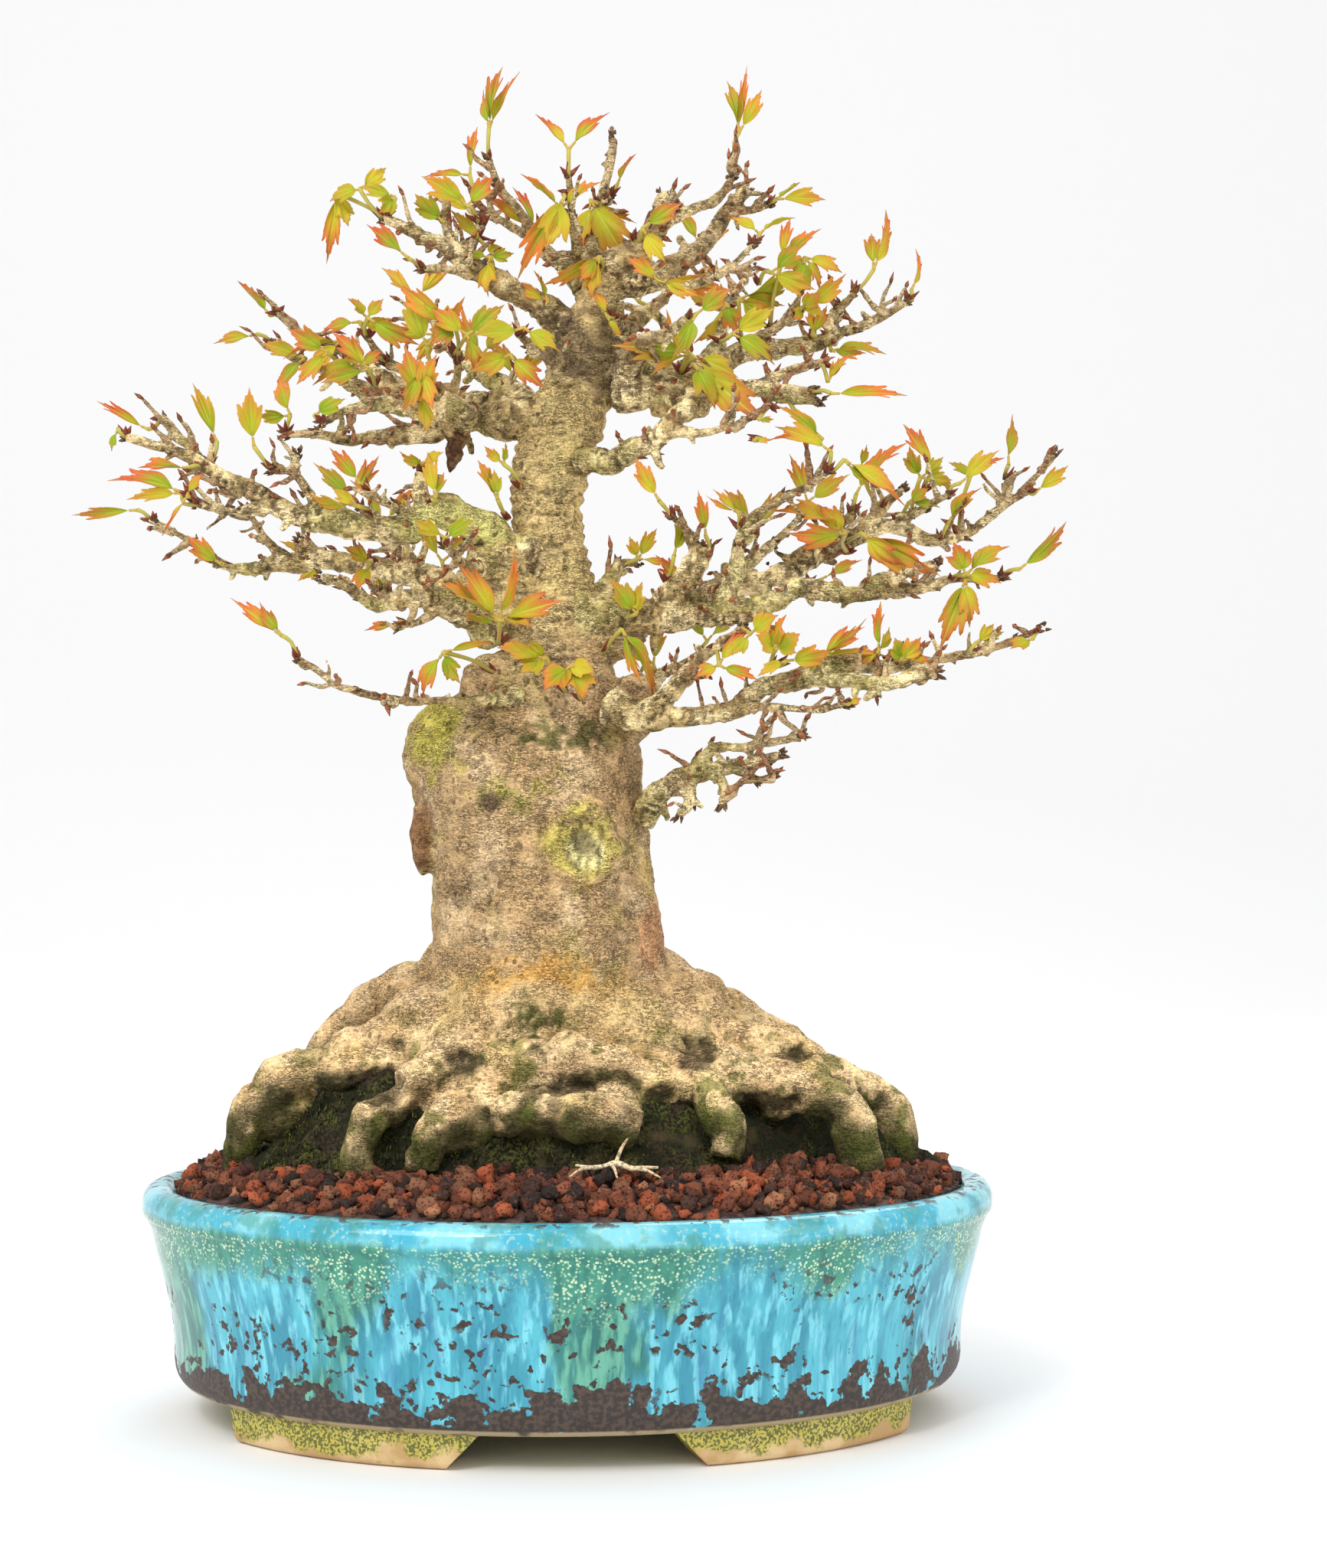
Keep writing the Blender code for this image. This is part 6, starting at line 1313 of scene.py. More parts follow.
def make_branches(name, branches, material, voxel):
    """Branches as one skin over their tubes, with ring cracks at even steps along each centre line."""
    form, marks = branch_forms(branches)
    points, quads, tris = remeshed(form, voxel)
    points = relaxed(points, quads, 1)
    normals = point_normals(points, quads, tris)
    mark = marks[nearest(points, marks[:, :3])]
    along = mark[:, 3] / MM
    girth = mark[:, 4] / MM
    mm = points / MM
    stray = rough(mm / 2.6, 2, 101)
    ring = np.sin(2 * math.pi * along / 2.3 + mark[:, 5] + 1.7 * stray)
    size = np.clip(girth / 3.0, 0.22, 1.0)
    height = size * (0.26 * rough(mm / 2.6, 2, 111) + 0.24 * rough(mm / 1.2, 1, 121))
    crack = smooth(0.80, 0.97, ring) * smooth(-0.2, 0.3, rough(mm / 5.0, 1, 131))
    height -= size * 0.5 * crack
    points = points + normals * height[:, None] * MM
    colour = branch_colour(points, mm, 1.0 - smooth(0.9, 1.9, girth), crack)
    add_piece(name, (points, quads, tris), material, ("tree_wood",), colour)


# ---------------------------------------------------------------- leaves

def leaf_shape(neck, tip, half_width, rng, columns):
    """A thin closed leaf: a polar sheet about its foot, its edge the furthest of its lobes at each angle."""
    neck = np.asarray(neck)
    lead = np.asarray(tip) - neck
    length = np.linalg.norm(lead)
    lead = lead / length
    aspect = half_width / length
    opened = float(np.clip((2.0 * aspect - 0.22) / 0.42, 0.0, 1.0))
    facing = np.array([rng.normal(0, 0.62), -1.0 + rng.normal(0, 0.35), 0.4 + rng.normal(0, 0.55)])
    if neck[1] > 0.035:
        facing[1] = -facing[1]
    facing = unit(facing - lead * facing.dot(lead))
    side = np.cross(lead, facing)
    spread = math.asin(min(0.80, 1.12 * aspect + 0.01)) * rng.uniform(0.9, 1.1)
    wide = [2.0 * math.atan(1.36 * max(0.10, aspect)), 2.0 * math.atan(0.98 * max(0.10, aspect))]
    lobes = [(0.0, 1.0, wide[0]), (spread, rng.uniform(0.72, 0.86), wide[1]),
             (-spread, rng.uniform(0.72, 0.86), wide[1])]
    limit = spread + wide[1] * 0.96
    turn = np.linspace(-limit, limit, columns)
    edge = np.zeros(columns)
    for lean, reach, half in lobes:
        inside = np.maximum(0.0, half - np.abs(turn - lean))
        lens = 0.80 * (np.sin(inside) / math.sin(half)) ** 0.78 + 0.20 * (inside / half) ** 5
        edge = np.maximum(edge, reach * lens)
    notch = 1.0 - 0.075 * (np.arange(columns) % 2) * smooth(0.25, 0.55, edge)
    edge = np.maximum(edge * notch, 0.05) * length
    share = np.array([0.04, 0.28, 0.5, 0.7, 0.86, 1.0])
    far = share[:, None] * edge[None]
    across = far * np.sin(turn)[None]
    along = far * np.cos(turn)[None]
    lean = np.stack([np.abs(far * np.sin(turn - lobe[0])[None]) for lobe in lobes])
    fold = rng.uniform(0.25, 0.8) * (1.2 - opened)
    height = lean.min(axis=0) * rng.uniform(0.3, 0.7) + np.abs(across) * fold
    height -= rng.uniform(-0.12, 0.34) * along ** 2 / length
    height += 0.05 * length * np.sin(along / length * 7.0 + rng.uniform(0, 6)) * np.sin(across / length * 9.0)
    close = 1.0 / math.sqrt(1.0 + fold ** 2)
    top = (neck + lead * along[..., None] + side * (across * close)[..., None]
           + facing * height[..., None])
    under = top - facing * LEAF_THICKNESS
    loop = np.concatenate([top, under[:, ::-1]], axis=1)
    rows, count = loop.shape[:2]
    quads = sheet_faces(rows, count, True)
    strip = np.arange(columns - 1)
    last = (rows - 1) * count
    cap = np.stack([last + strip, last + strip + 1, last + count - 2 - strip, last + count - 1 - strip],
                   axis=1)
    start = np.stack([count - 1 - strip, count - 2 - strip, strip + 1, strip], axis=1)
    quads = np.concatenate([quads, cap, start])
    out = np.concatenate([far, far[:, ::-1]], axis=1).ravel() / length
    rim = np.repeat(share, count)
    fresh = rng.uniform(0.0, 1.0)
    core = blend((0.28, 0.45, 0.015), (0.68, 0.60, 0.035), fresh)
    margin = blend((0.86, 0.27, 0.05), (0.70, 0.12, 0.05), rng.uniform(0.0, 1.0))
    warmth = 1.08 - 0.5 * opened + rng.uniform(-0.4, 0.3)
    warm = (smooth(0.36, 1.0, rim) + 0.35 * smooth(0.5, 1.0, out)) * warmth
    colour = blend(core, margin, np.clip(warm, 0, 1))
    colour = blend(colour, (0.58, 0.05, 0.04), 0.5 * smooth(0.72, 1.0, out) * smooth(0.6, 1.0, rim))
    flat = np.stack([across, along], axis=-1)
    flat = np.concatenate([flat, flat[:, ::-1]], axis=1).reshape(-1, 2)
    return loop.reshape(-1, 3), quads, np.zeros((0, 3), int), colour, flat / length


def shoot_shape(rows, seed, columns):
    """One shoot: a pale stalk from twig to neck, bracts at its foot, and a petiole and blade for each leaf."""
    rng = np.random.default_rng(seed)
    base, neck = place([rows[0], rows[1]])
    shapes = []
    bend = 0.5 * (base + neck) + rng.normal(0, 0.0006, 3)
    line, girth = smooth_path([base, bend, neck], [0.00065, 0.0005, 0.0006], 0.0012)
    shapes.append(with_colour(tube(line, girth, 7), (0.42, 0.36, 0.10), (0.62, 0.56, 0.10)))
    for _ in range(4):
        away = rng.normal(0, 1, 3)
        away[2] = abs(away[2]) * 0.5
        away = unit(unit(away) + unit(neck - base) * 0.9)
        line, girth = smooth_path([base, base + away * 0.0016, base + away * rng.uniform(0.0026, 0.0042)],
                                  [0.0007, 0.00062, 0.0001], SPUR_STEP)
        shapes.append(with_colour(tube(line, girth, 6, 0.5), (0.10, 0.03, 0.018), (0.28, 0.06, 0.035)))
    for x, z, depth, half_width in rows[2:]:
        tip = place([(x, z, depth)])[0]
        span = np.linalg.norm(tip - neck)
        foot = neck + (tip - neck) * min(0.16, 0.0022 / span) + rng.normal(0, 0.00015, 3)
        line, girth = smooth_path([neck, 0.5 * (neck + foot), foot], [0.0005, 0.00035, 0.00035], SPUR_STEP)
        shapes.append(with_colour(tube(line, girth, 6), (0.62, 0.56, 0.10), (0.66, 0.40, 0.09)))
        shapes.append(leaf_shape(foot, tip, half_width * MM, rng, columns))
    return gather(shapes)


def with_colour(shape, first, last):
    """A tube with a colour that runs from one end to the other."""
    count = len(shape[0])
    colour = blend(first, last, np.linspace(0.0, 1.0, count))
    return (*shape, colour, np.tile([0.5, 0.0], (count, 1)))


def make_leaves(material, columns, extra):
    """Every shoot of the frame as its own piece, and the sprays between them."""
    for number, (name, rows) in enumerate(SHOOTS.items()):
        points, quads, tris, colour, uv = shoot_shape(rows, 300 + number, columns)
        add_piece("leaves_" + name, (points, quads, tris), material, (name,), colour, uv)
    for number, rows in enumerate(SPRAYS[:extra]):
        points, quads, tris, colour, uv = shoot_shape(rows, 700 + number, columns)
        add_piece("spray_%02d" % (number + 1), (points, quads, tris), material, (), colour, uv)


# ---------------------------------------------------------------- ground

def soil_height(x, y):
    """Height of the gravel in mm: level at the rim, a low mound inside it."""
    reach = np.minimum((x / (RIM_HALF_LENGTH - 9.0)) ** 2 + (y / (RIM_HALF_WIDTH - 9.0)) ** 2, 1.0)
    return POT_HEIGHT - 0.7 + 7.0 * (1.0 - reach ** 3)


def moss_edge(turn):
    """How far the moss runs out at an angle, as a share of its half sizes."""
    return 1.0 + 0.06 * np.sin(3 * turn + 1.0) + 0.04 * np.sin(5 * turn + 2.0)


def moss_share(x, y):
    """Distance from the middle of the moss, as a share of the way to its wavy edge."""
    return np.hypot(x / MOSS_HALF_LENGTH, y / MOSS_HALF_WIDTH) / moss_edge(
        np.arctan2(y / MOSS_HALF_WIDTH, x / MOSS_HALF_LENGTH))


def ground_height(x, y):
    """Height in mm of the moss mound and its low apron where there is moss, and of the gravel elsewhere."""
    share = np.minimum(moss_share(x, y), 1.0)
    return soil_height(x, y) + (0.8 + MOSS_RISE * (1.0 - smooth(0.66, 1.03, share))) * (share < 1.0)


def cube_ball():
    """A ball of twenty-four faces: each side of a cube in four, its points pushed out to one distance."""
    line = np.array([-1.0, 0.0, 1.0])
    grid = np.array([(x, y, z) for x in line for y in line for z in line if max(abs(x), abs(y), abs(z)) == 1])
    faces = []
    for axis in range(3):
        for end in (-1.0, 1.0):
            for a in (0, 1):
                for b in (0, 1):
                    corners = []
                    for da, db in ((0, 0), (1, 0), (1, 1), (0, 1)):
                        spot = np.zeros(3)
                        spot[axis] = end
                        spot[(axis + 1) % 3] = line[a + da]
                        spot[(axis + 2) % 3] = line[b + db]
                        corners.append(int(np.argmin(np.abs(grid - spot).sum(axis=1))))
                    faces.append(corners if end > 0 else corners[::-1])
    return unit_rows(grid), np.array(faces)


def turned(count, rng):
    """Random turns as square arrays, from unit quaternions."""
    w, x, y, z = unit_rows(rng.normal(size=(count, 4))).T
    rows = [[1 - 2 * (y * y + z * z), 2 * (x * y - z * w), 2 * (x * z + y * w)],
            [2 * (x * y + z * w), 1 - 2 * (x * x + z * z), 2 * (y * z - x * w)],
            [2 * (x * z - y * w), 2 * (y * z + x * w), 1 - 2 * (x * x + y * y)]]
    return np.moveaxis(np.array(rows), 2, 0)


def scattered(ball, faces, centres, sizes, rng, ragged):
    """The ball repeated at each centre with its own size, turn and uneven points."""
    count = len(centres)
    uneven = 1.0 + rng.uniform(-ragged, ragged, (count, len(ball), 1))
    points = ball[None] * uneven * sizes[:, None]
    points = np.einsum("nij,nkj->nki", turned(count, rng), points) + centres[:, None]
    quads = (faces[None] + len(ball) * np.arange(count)[:, None, None]).reshape(-1, 4)
    return points.reshape(-1, 3), quads


GRAINS = np.array([(0.15, 0.050, 0.028), (0.22, 0.070, 0.036), (0.060, 0.030, 0.022), (0.30, 0.075, 0.032),
                   (0.035, 0.024, 0.020), (0.34, 0.14, 0.07), (0.10, 0.038, 0.026), (0.20, 0.085, 0.045)])


def make_gravel(material, spacing, seed):
    """Loose lava grains on a jittered grid over the soil, in two layers, each of its own size and colour."""
    rng = np.random.default_rng(seed)
    centres = []
    for layer in range(2):
        step = spacing * (1.0 + 0.55 * layer)
        line = np.arange(-110.0, 110.0, step)
        x, y = (grid.ravel() for grid in np.meshgrid(line, line))
        x = x + rng.uniform(-0.5, 0.5, len(x)) * step
        y = y + rng.uniform(-0.5, 0.5, len(y)) * step
        inside = np.hypot(x / (RIM_HALF_LENGTH - 9.6), y / (RIM_HALF_WIDTH - 9.6)) < 1.0
        bare = moss_share(x, y) > 0.985 + 0.02 * noise(np.stack([x / 9, y / 9, x * 0], 1), 3)
        keep = inside & bare
        x, y = x[keep], y[keep]
        z = soil_height(x, y) + 0.1 + 1.5 * layer + rng.uniform(-0.8, 0.8, len(x))
        centres.append(np.stack([x, y, z], axis=1))
    centres = np.concatenate(centres) * MM
    count = len(centres)
    ball, faces = cube_ball()
    sizes = rng.uniform(0.65, 1.25, (count, 3)) * rng.uniform(0.95, 2.45, (count, 1)) * MM
    points, quads = scattered(ball, faces, centres, sizes, rng, 0.42)
    colour = GRAINS[rng.choice(len(GRAINS), count, p=(0.2, 0.16, 0.14, 0.12, 0.12, 0.08, 0.1, 0.08))]
    colour = np.repeat(colour * rng.uniform(0.75, 1.3, (count, 1)), len(ball), axis=0)
    shape = (points, quads, np.zeros((0, 3), int))
    add_piece("gravel_grains", shape, material, (), colour, flat=True)


def moss_skin():
    """The mound's closed skin: a polar sheet over its height with fine relief, and a skirt into the soil."""
    rings, around = 70, 260
    share = 0.9995 * np.linspace(0.0, 1.0, rings)[:, None] ** 0.6
    turn = (2.0 * math.pi * np.arange(around) / around)[None]
    x = (MOSS_HALF_LENGTH * moss_edge(turn) * share * np.cos(turn)).ravel()
    y = (MOSS_HALF_WIDTH * moss_edge(turn) * share * np.sin(turn)).ravel()
    z = ground_height(x, y)
    fine = np.stack([x, y, z], axis=1)
    z = z + 2.2 * rough(fine / 6.0, 3, 171) + 1.0 * rough(fine / 1.7, 1, 181) - 0.3
    points = np.stack([x, y, z], axis=1)
    skirt = points[-around:].copy()
    skirt[:, 2] -= 2.6
    points = np.concatenate([points[around:], skirt])
    shape = capped(points * MM, len(points) // around, around)
    shape[0][-2] = np.array([0.0, 0.0, ground_height(np.zeros(1), np.zeros(1))[0]]) * MM
    lump = rough(shape[0] / MM / 6.0, 3, 191)
    green = blend((0.018, 0.023, 0.005), (0.085, 0.090, 0.016), smooth(-0.1, 0.5, lump))
    green = blend(green, (0.05, 0.032, 0.016), smooth(0.1, 0.5, rough(shape[0] / MM / 4.0, 2, 201)))
    return (*shape, green)


def moss_spikes(tries, rng):
    """Small leaning three-sided spikes on the mound, thick where noise is high, each its own shade."""
    spot = np.sqrt(rng.uniform(0.0, 1.0, tries))
    lean = rng.uniform(0, 2 * math.pi, tries)
    x = MOSS_HALF_LENGTH * spot * np.cos(lean)
    y = MOSS_HALF_WIDTH * spot * np.sin(lean)
    patch = rough(np.stack([x / 8.0, y / 8.0, x * 0], axis=1), 2, 211)
    keep = (patch > -0.1) & (moss_share(x, y) < 1.0)
    x, y = x[keep], y[keep]
    count = len(x)
    foot = np.stack([x, y, ground_height(x, y) - 0.2], axis=1)
    up = unit_rows(np.stack([rng.normal(0, 0.5, count), rng.normal(0, 0.5, count), np.ones(count)], axis=1))
    tall = rng.uniform(0.9, 2.3, (count, 1))
    wide = rng.uniform(0.16, 0.34, (count, 1))
    spin = rng.uniform(0, 2 * math.pi, count)
    corners = [foot + wide * np.stack([np.cos(spin + a), np.sin(spin + a), np.zeros(count)], axis=1)
               for a in (0.0, 2.094, 4.189)]
    points = np.stack(corners + [foot + up * tall], axis=1).reshape(-1, 3) * MM
    order = np.array([[0, 1, 3], [1, 2, 3], [2, 0, 3], [0, 2, 1]])
    tris = (order[None] + 4 * np.arange(count)[:, None, None]).reshape(-1, 3)
    shade = blend((0.025, 0.032, 0.006), (0.30, 0.32, 0.05), rng.uniform(0, 1, count) ** 2.4)
    shade = blend(shade, (0.09, 0.05, 0.02), (rng.uniform(0, 1, count) < 0.25) * 0.8)
    return points, np.zeros((0, 4), int), tris, np.repeat(shade, 4, axis=0)


def make_moss(material, tufts, seed):
    """The moss mound, and small spikes of moss on it."""
    spikes = moss_spikes(tufts, np.random.default_rng(seed))
    add_gathered("moss_mound", [moss_skin(), spikes], material, ("moss",))


def make_fibres(material, count, seed):
    """Fine pale feeder roots lying over the moss and the gravel, each a thin tube over the ground."""
    rng = np.random.default_rng(seed)
    shapes = []
    for k in range(count):
        turn = rng.uniform(math.pi * 0.98, math.pi * 2.02)
        start = np.array([-4.0 + rng.uniform(28, 60) * math.cos(turn), rng.uniform(14, 34) * math.sin(turn)])
        lead = np.array([math.cos(turn), math.sin(turn)]) * 0.8 + rng.normal(0, 0.7, 2)
        steps = np.arange(9)[:, None] * rng.uniform(0.4, 0.9)
        sway = np.cumsum(rng.normal(0, 0.4, (9, 2)), axis=0)
        flat = start + lead * steps + sway
        z = ground_height(flat[:, 0], flat[:, 1]) + 0.7 + 0.3 * np.sin(np.arange(9) * 1.3 + k)
        line, girth = smooth_path(np.column_stack([flat, z]) * MM, np.full(9, rng.uniform(0.13, 0.24)) * MM,
                                  0.0014)
        shapes.append(with_colour(tube(line, girth, 5), (0.24, 0.15, 0.07), (0.46, 0.32, 0.16))[:4])
    add_gathered("feeder_roots", shapes, material)


# ---------------------------------------------------------------- pot

def pot_profile():
    """The pot's section from under its floor, up the outside, over the rim and down inside: inset, height."""
    top = POT_HEIGHT
    rows = [(34.0, 8.0), (24.0, 8.0), (14.0, 8.0), (12.8, 8.05), (11.6, 8.3), (10.4, 8.9), (9.6, 9.8),
            (8.9, 10.9), (8.45, 12.2), (8.2, 14.0), (8.1, 16.5), (8.1, 19.0), (7.85, 22.0), (7.35, 25.5),
            (6.6, 29.5), (5.55, 33.5), (4.4, 38.0), (3.3, 42.0), (2.45, top - 11.0), (1.75, top - 9.2),
            (1.25, top - 8.2), (1.15, top - 7.6), (0.75, top - 7.1), (0.2, top - 6.7), (0.0, top - 5.6),
            (0.0, top - 4.0), (0.2, top - 2.8), (0.75, top - 1.7), (1.7, top - 0.75), (3.0, top - 0.2),
            (4.4, top), (5.6, top - 0.1), (6.7, top - 0.5), (7.6, top - 1.3), (8.2, top - 2.6),
            (10.2, top - 9.0), (11.4, top - 16.0), (13.4, 32.0), (14.6, 25.0), (16.0, 20.0), (19.3, 17.0),
            (23.6, 14.6), (30.0, 14.0), (38.0, 14.0), (48.0, 14.0)]
    return np.array(rows)


def oval_rows(profile, around):
    """The section carried round an oval, each ring set in from the rim by its inset."""
    turn = 2.0 * math.pi * np.arange(around) / around
    inset = profile[:, :1]
    x = (RIM_HALF_LENGTH - inset) * np.cos(turn)[None]
    y = (RIM_HALF_WIDTH - inset) * np.sin(turn)[None]
    z = np.repeat(profile[:, 1:], around, axis=1)
    return np.stack([x, y, z], axis=-1).reshape(-1, 3) * MM


def foot_form(side, end):
    """A foot under the wall: an eight-cornered section, rounded below, along the oval to slanted ends."""
    section = [(12.9, 0.6), (12.2, 1.8), (12.1, 10.5), (25.0, 10.5), (24.9, 1.6), (24.2, 0.5), (23.2, 0.0),
               (13.9, 0.0)]
    share = np.linspace(0.0, 1.0, 25)
    rows = []
    for inset, height in section:
        low = 1.0 - min(height / 10.5, 1.0)
        start = 20.0 + 10.0 * low
        stop = 81.0 - 1.5 * low
        x = start + (stop - start) * share
        half_x, half_y = RIM_HALF_LENGTH - 12.7, RIM_HALF_WIDTH - 12.7
        y = half_y * np.sqrt(1.0 - (x / half_x) ** 2)
        normal = np.stack([x / half_x ** 2, y / half_y ** 2], axis=1)
        normal /= np.linalg.norm(normal, axis=1, keepdims=True)
        inward = inset - 12.7
        rows.append(np.stack([end * (x - inward * normal[:, 0]), side * (y - inward * normal[:, 1]),
                              np.full(25, height)], axis=1))
    points = np.stack(rows, axis=1).reshape(-1, 3) * MM
    return outward(capped(points, 25, len(section)))


def make_pot(material, around):
    """The pot as its section carried round an oval, joined to four feet and pierced by two drain holes."""
    profile = pot_profile()
    points = oval_rows(profile, around)
    pot = loose_object("glazed_pot", outward(capped(points, len(profile), around)))
    tools = []
    for side in (1, -1):
        for end in (1, -1):
            tools.append((loose_object("foot", foot_form(side, end)), "UNION"))
    turn = 2.0 * math.pi * np.arange(40) / 40
    for end in (1, -1):
        x = end * DRAIN_REACH + DRAIN_RADIUS * np.cos(turn)
        rings = [np.stack([x, DRAIN_RADIUS * np.sin(turn), np.full(40, z)], axis=1) for z in (4.0, 18.0)]
        hole = outward(capped(np.concatenate(rings) * MM, 2, 40))
        tools.append((loose_object("hole", hole), "DIFFERENCE"))
    for tool, work in tools:
        step = pot.modifiers.new(work, "BOOLEAN")
        step.operation = work
        step.object = tool
        step.solver = "EXACT"
    skin = bpy.data.meshes.new_from_object(pot.evaluated_get(bpy.context.evaluated_depsgraph_get()))
    for tool, _ in tools:
        bpy.data.objects.remove(tool, do_unlink=True)
    pot.modifiers.clear()
    pot.data = skin
    skin.materials.clear()
    skin.materials.append(material)
    skin.shade_smooth()
    skin.set_sharp_from_angle(angle=math.radians(52.0))
    where = read(skin.vertices, "co", 3).reshape(-1, 3) / MM
    inset = np.hypot(where[:, 0] / (RIM_HALF_LENGTH - 7.2), where[:, 1] / (RIM_HALF_WIDTH - 7.2)) < 1.0
    inside = inset & (where[:, 2] > 12.0) & (where[:, 2] < POT_HEIGHT - 1.0)
    inside &= np.hypot(where[:, 0] / (RIM_HALF_LENGTH - 8.3), where[:, 1] / (RIM_HALF_WIDTH - 8.3)) < (
        1.0 - 0.05 * smooth(46.0, 20.0, where[:, 2]))
    layer = skin.attributes.new("glazed", "FLOAT", "POINT")
    layer.data.foreach_set("value", np.where(inside, 0.0, 1.0).astype(np.float32))
    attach(pot, "root")
    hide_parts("pot")


# ---------------------------------------------------------------- small pieces

def make_rootlet(material):
    """The pale loose root: a thin tube along its own line just over the gravel, with four fine side hairs."""
    flat = np.array(ROOTLET, float)
    z = soil_height(flat[:, 0], flat[:, 1]) + 3.9
    radii = np.array([0.4, 0.65, 0.8, 0.7, 0.35])
    line, girth = smooth_path(np.column_stack([flat, z]) * MM, radii * MM, SPUR_STEP)
    shapes = [with_colour(tube(wandering(line, girth, 3, 0.7), lumpy(line, girth, 5, 0.25), 12),
                          (0.95, 0.80, 0.55), (0.80, 0.62, 0.38))[:4]]
    for at, reach in ((0.25, (-0.006, -0.006, -0.0012)), (0.45, (0.001, -0.009, -0.0016)),
                      (0.5, (0.003, -0.001, 0.0065)), (0.7, (0.007, -0.007, -0.0012))):
        start = line[int(at * (len(line) - 1))]
        tip = start + np.array(reach)
        hair, fine = smooth_path([start, 0.5 * (start + tip) + [0, 0, 0.0008], tip],
                                 [0.0005, 0.00042, 0.0002], FINE_STEP)
        shapes.append(with_colour(tube(hair, fine, 8), (0.90, 0.74, 0.48), (0.75, 0.56, 0.32))[:4])
    add_gathered("pale_loose_root", shapes, material, ("loose_rootlet",))


def make_dried_leaf(material):
    """Last year's leaf: a thin closed sheet rolled about its own length and crumpled by noise."""
    path = place(np.array(DRIED_LEAF, float))
    line, _ = smooth_path(path, [0.001, 0.001, 0.001], 0.0004)
    share = np.linspace(0.0, 1.0, len(line))
    wide = 0.0042 * np.sin(math.pi * np.clip(share * 0.92 + 0.05, 0, 1)) ** 0.7
    roll = np.linspace(-2.35, 2.35, 25)
    along = unit_rows(np.gradient(line, axis=0))
    side = unit_rows(np.cross(along, [0.0, 1.0, 0.0]))
    up = np.cross(side, along)
    sheet = np.stack(np.meshgrid(roll * 1.6, share * 7.0), -1).reshape(-1, 2)
    crumple = 1.0 + 0.3 * rough(sheet[:, [0, 1, 1]], 2, 9).reshape(len(share), -1)
    skins = []
    for scale in (1.0, 0.92):
        radius = wide[:, None] * 0.62 * crumple * scale
        skins.append(line[:, None] + side[:, None] * (radius * np.cos(roll))[..., None]
                     + up[:, None] * (radius * np.sin(roll))[..., None])
    loop = np.concatenate([skins[0], skins[1][:, ::-1]], axis=1)
    shape = capped(loop.reshape(-1, 3), len(share), 50)
    mottle = smooth(-0.3, 0.4, rough(shape[0] / MM / 1.5, 2, 7))
    colour = blend((0.10, 0.045, 0.022), (0.24, 0.13, 0.06), mottle)
    add_piece("curled_dry_leaf", outward(shape), material, ("dried_leaf",), colour)


def make_twiglets(material, seed):
    """Fine side twigs with fat nodes, thin tubes that curve up and outward from every branch, each tipped with
    a bud.
    """
    rng = np.random.default_rng(seed)
    shapes = []
    for branch in BRANCHES.values():
        path, radii = branch_path(branch)
        for _ in range(int(len(path) * BRANCH_STEP / TWIG_SPACING)):
            at = int(rng.uniform(0.22, 0.98) * (len(path) - 1))
            if radii[at] > 0.0052:
                continue
            away = np.array([path[at][0], path[at][1] * 1.4, 0.0])
            away /= np.linalg.norm(away) + 1e-6
            turn = unit(rng.normal(size=3) + away * 0.7 + np.array([0.0, 0.0, 0.55]))
            reach = rng.uniform(0.0035, 0.0105) * (0.7 + 0.3 * rng.uniform())
            middle = path[at] + turn * reach * 0.5 + rng.normal(0, 0.0007, 3)
            tip = path[at] + turn * reach + np.array([0.0, 0.0, 0.0012]) + rng.normal(0, 0.0007, 3)
            thick = rng.uniform(0.0005, 0.00085)
            line, girth = smooth_path([path[at], middle, tip], [thick * 1.35, thick, thick * 0.62], FINE_STEP)
            knots = 1.0 + 0.28 * np.maximum(0.0, np.sin(np.arange(len(line)) * 1.15 + rng.uniform(0, 6)))
            shade = blend((0.78, 0.62, 0.34), (0.42, 0.22, 0.11), rng.uniform(0, 1))
            dark = shade * rng.uniform(0.5, 1.0)
            shapes.append(with_colour(tube(line, girth * knots, 7), shade, dark)[:4])
            bud, fine = smooth_path([tip, tip + turn * 0.0011, tip + turn * rng.uniform(0.002, 0.0034)],
                                    [thick * 0.62, thick * 0.95, 0.00008], FINE_STEP)
            shapes.append(with_colour(tube(bud, fine, 6), (0.34, 0.14, 0.06), (0.42, 0.13, 0.06))[:4])
    add_gathered("fine_twigs", shapes, material)


def make_knots(material, seed):
    """Dark rough pads at the ends and forks of the twigs: small pointed bud scales round each."""
    rng = np.random.default_rng(seed)
    shapes = []
    for branch in BRANCHES.values():
        path = place(np.array(branch, float)[:, :3])
        spots = [len(path) - 1] + [int(k) for k in rng.integers(1, len(path), max(1, len(path) // 3))]
        for at in spots:
            lead = unit(path[at] - path[at - 1])
            reach = max(branch[at][3], 0.9) * MM
            for _ in range(5):
                away = rng.normal(size=3)
                away = unit(away - lead * away.dot(lead))
                lean = unit(away * rng.uniform(0.25, 0.8) + lead)
                foot = path[at] + away * reach * 0.7 + lead * rng.uniform(-0.001, 0.0012)
                line = [foot, foot + lean * 0.0006, foot + lean * rng.uniform(0.0010, 0.0019)]
                line, girth = smooth_path(line, [0.0005, 0.00045, 0.0001], 0.0005)
                shapes.append(with_colour(tube(line, girth, 5, 0.6), (0.10, 0.055, 0.03),
                                          (0.24, 0.13, 0.07))[:4])
    add_gathered("bud_scales", shapes, material)


# ---------------------------------------------------------------- stage

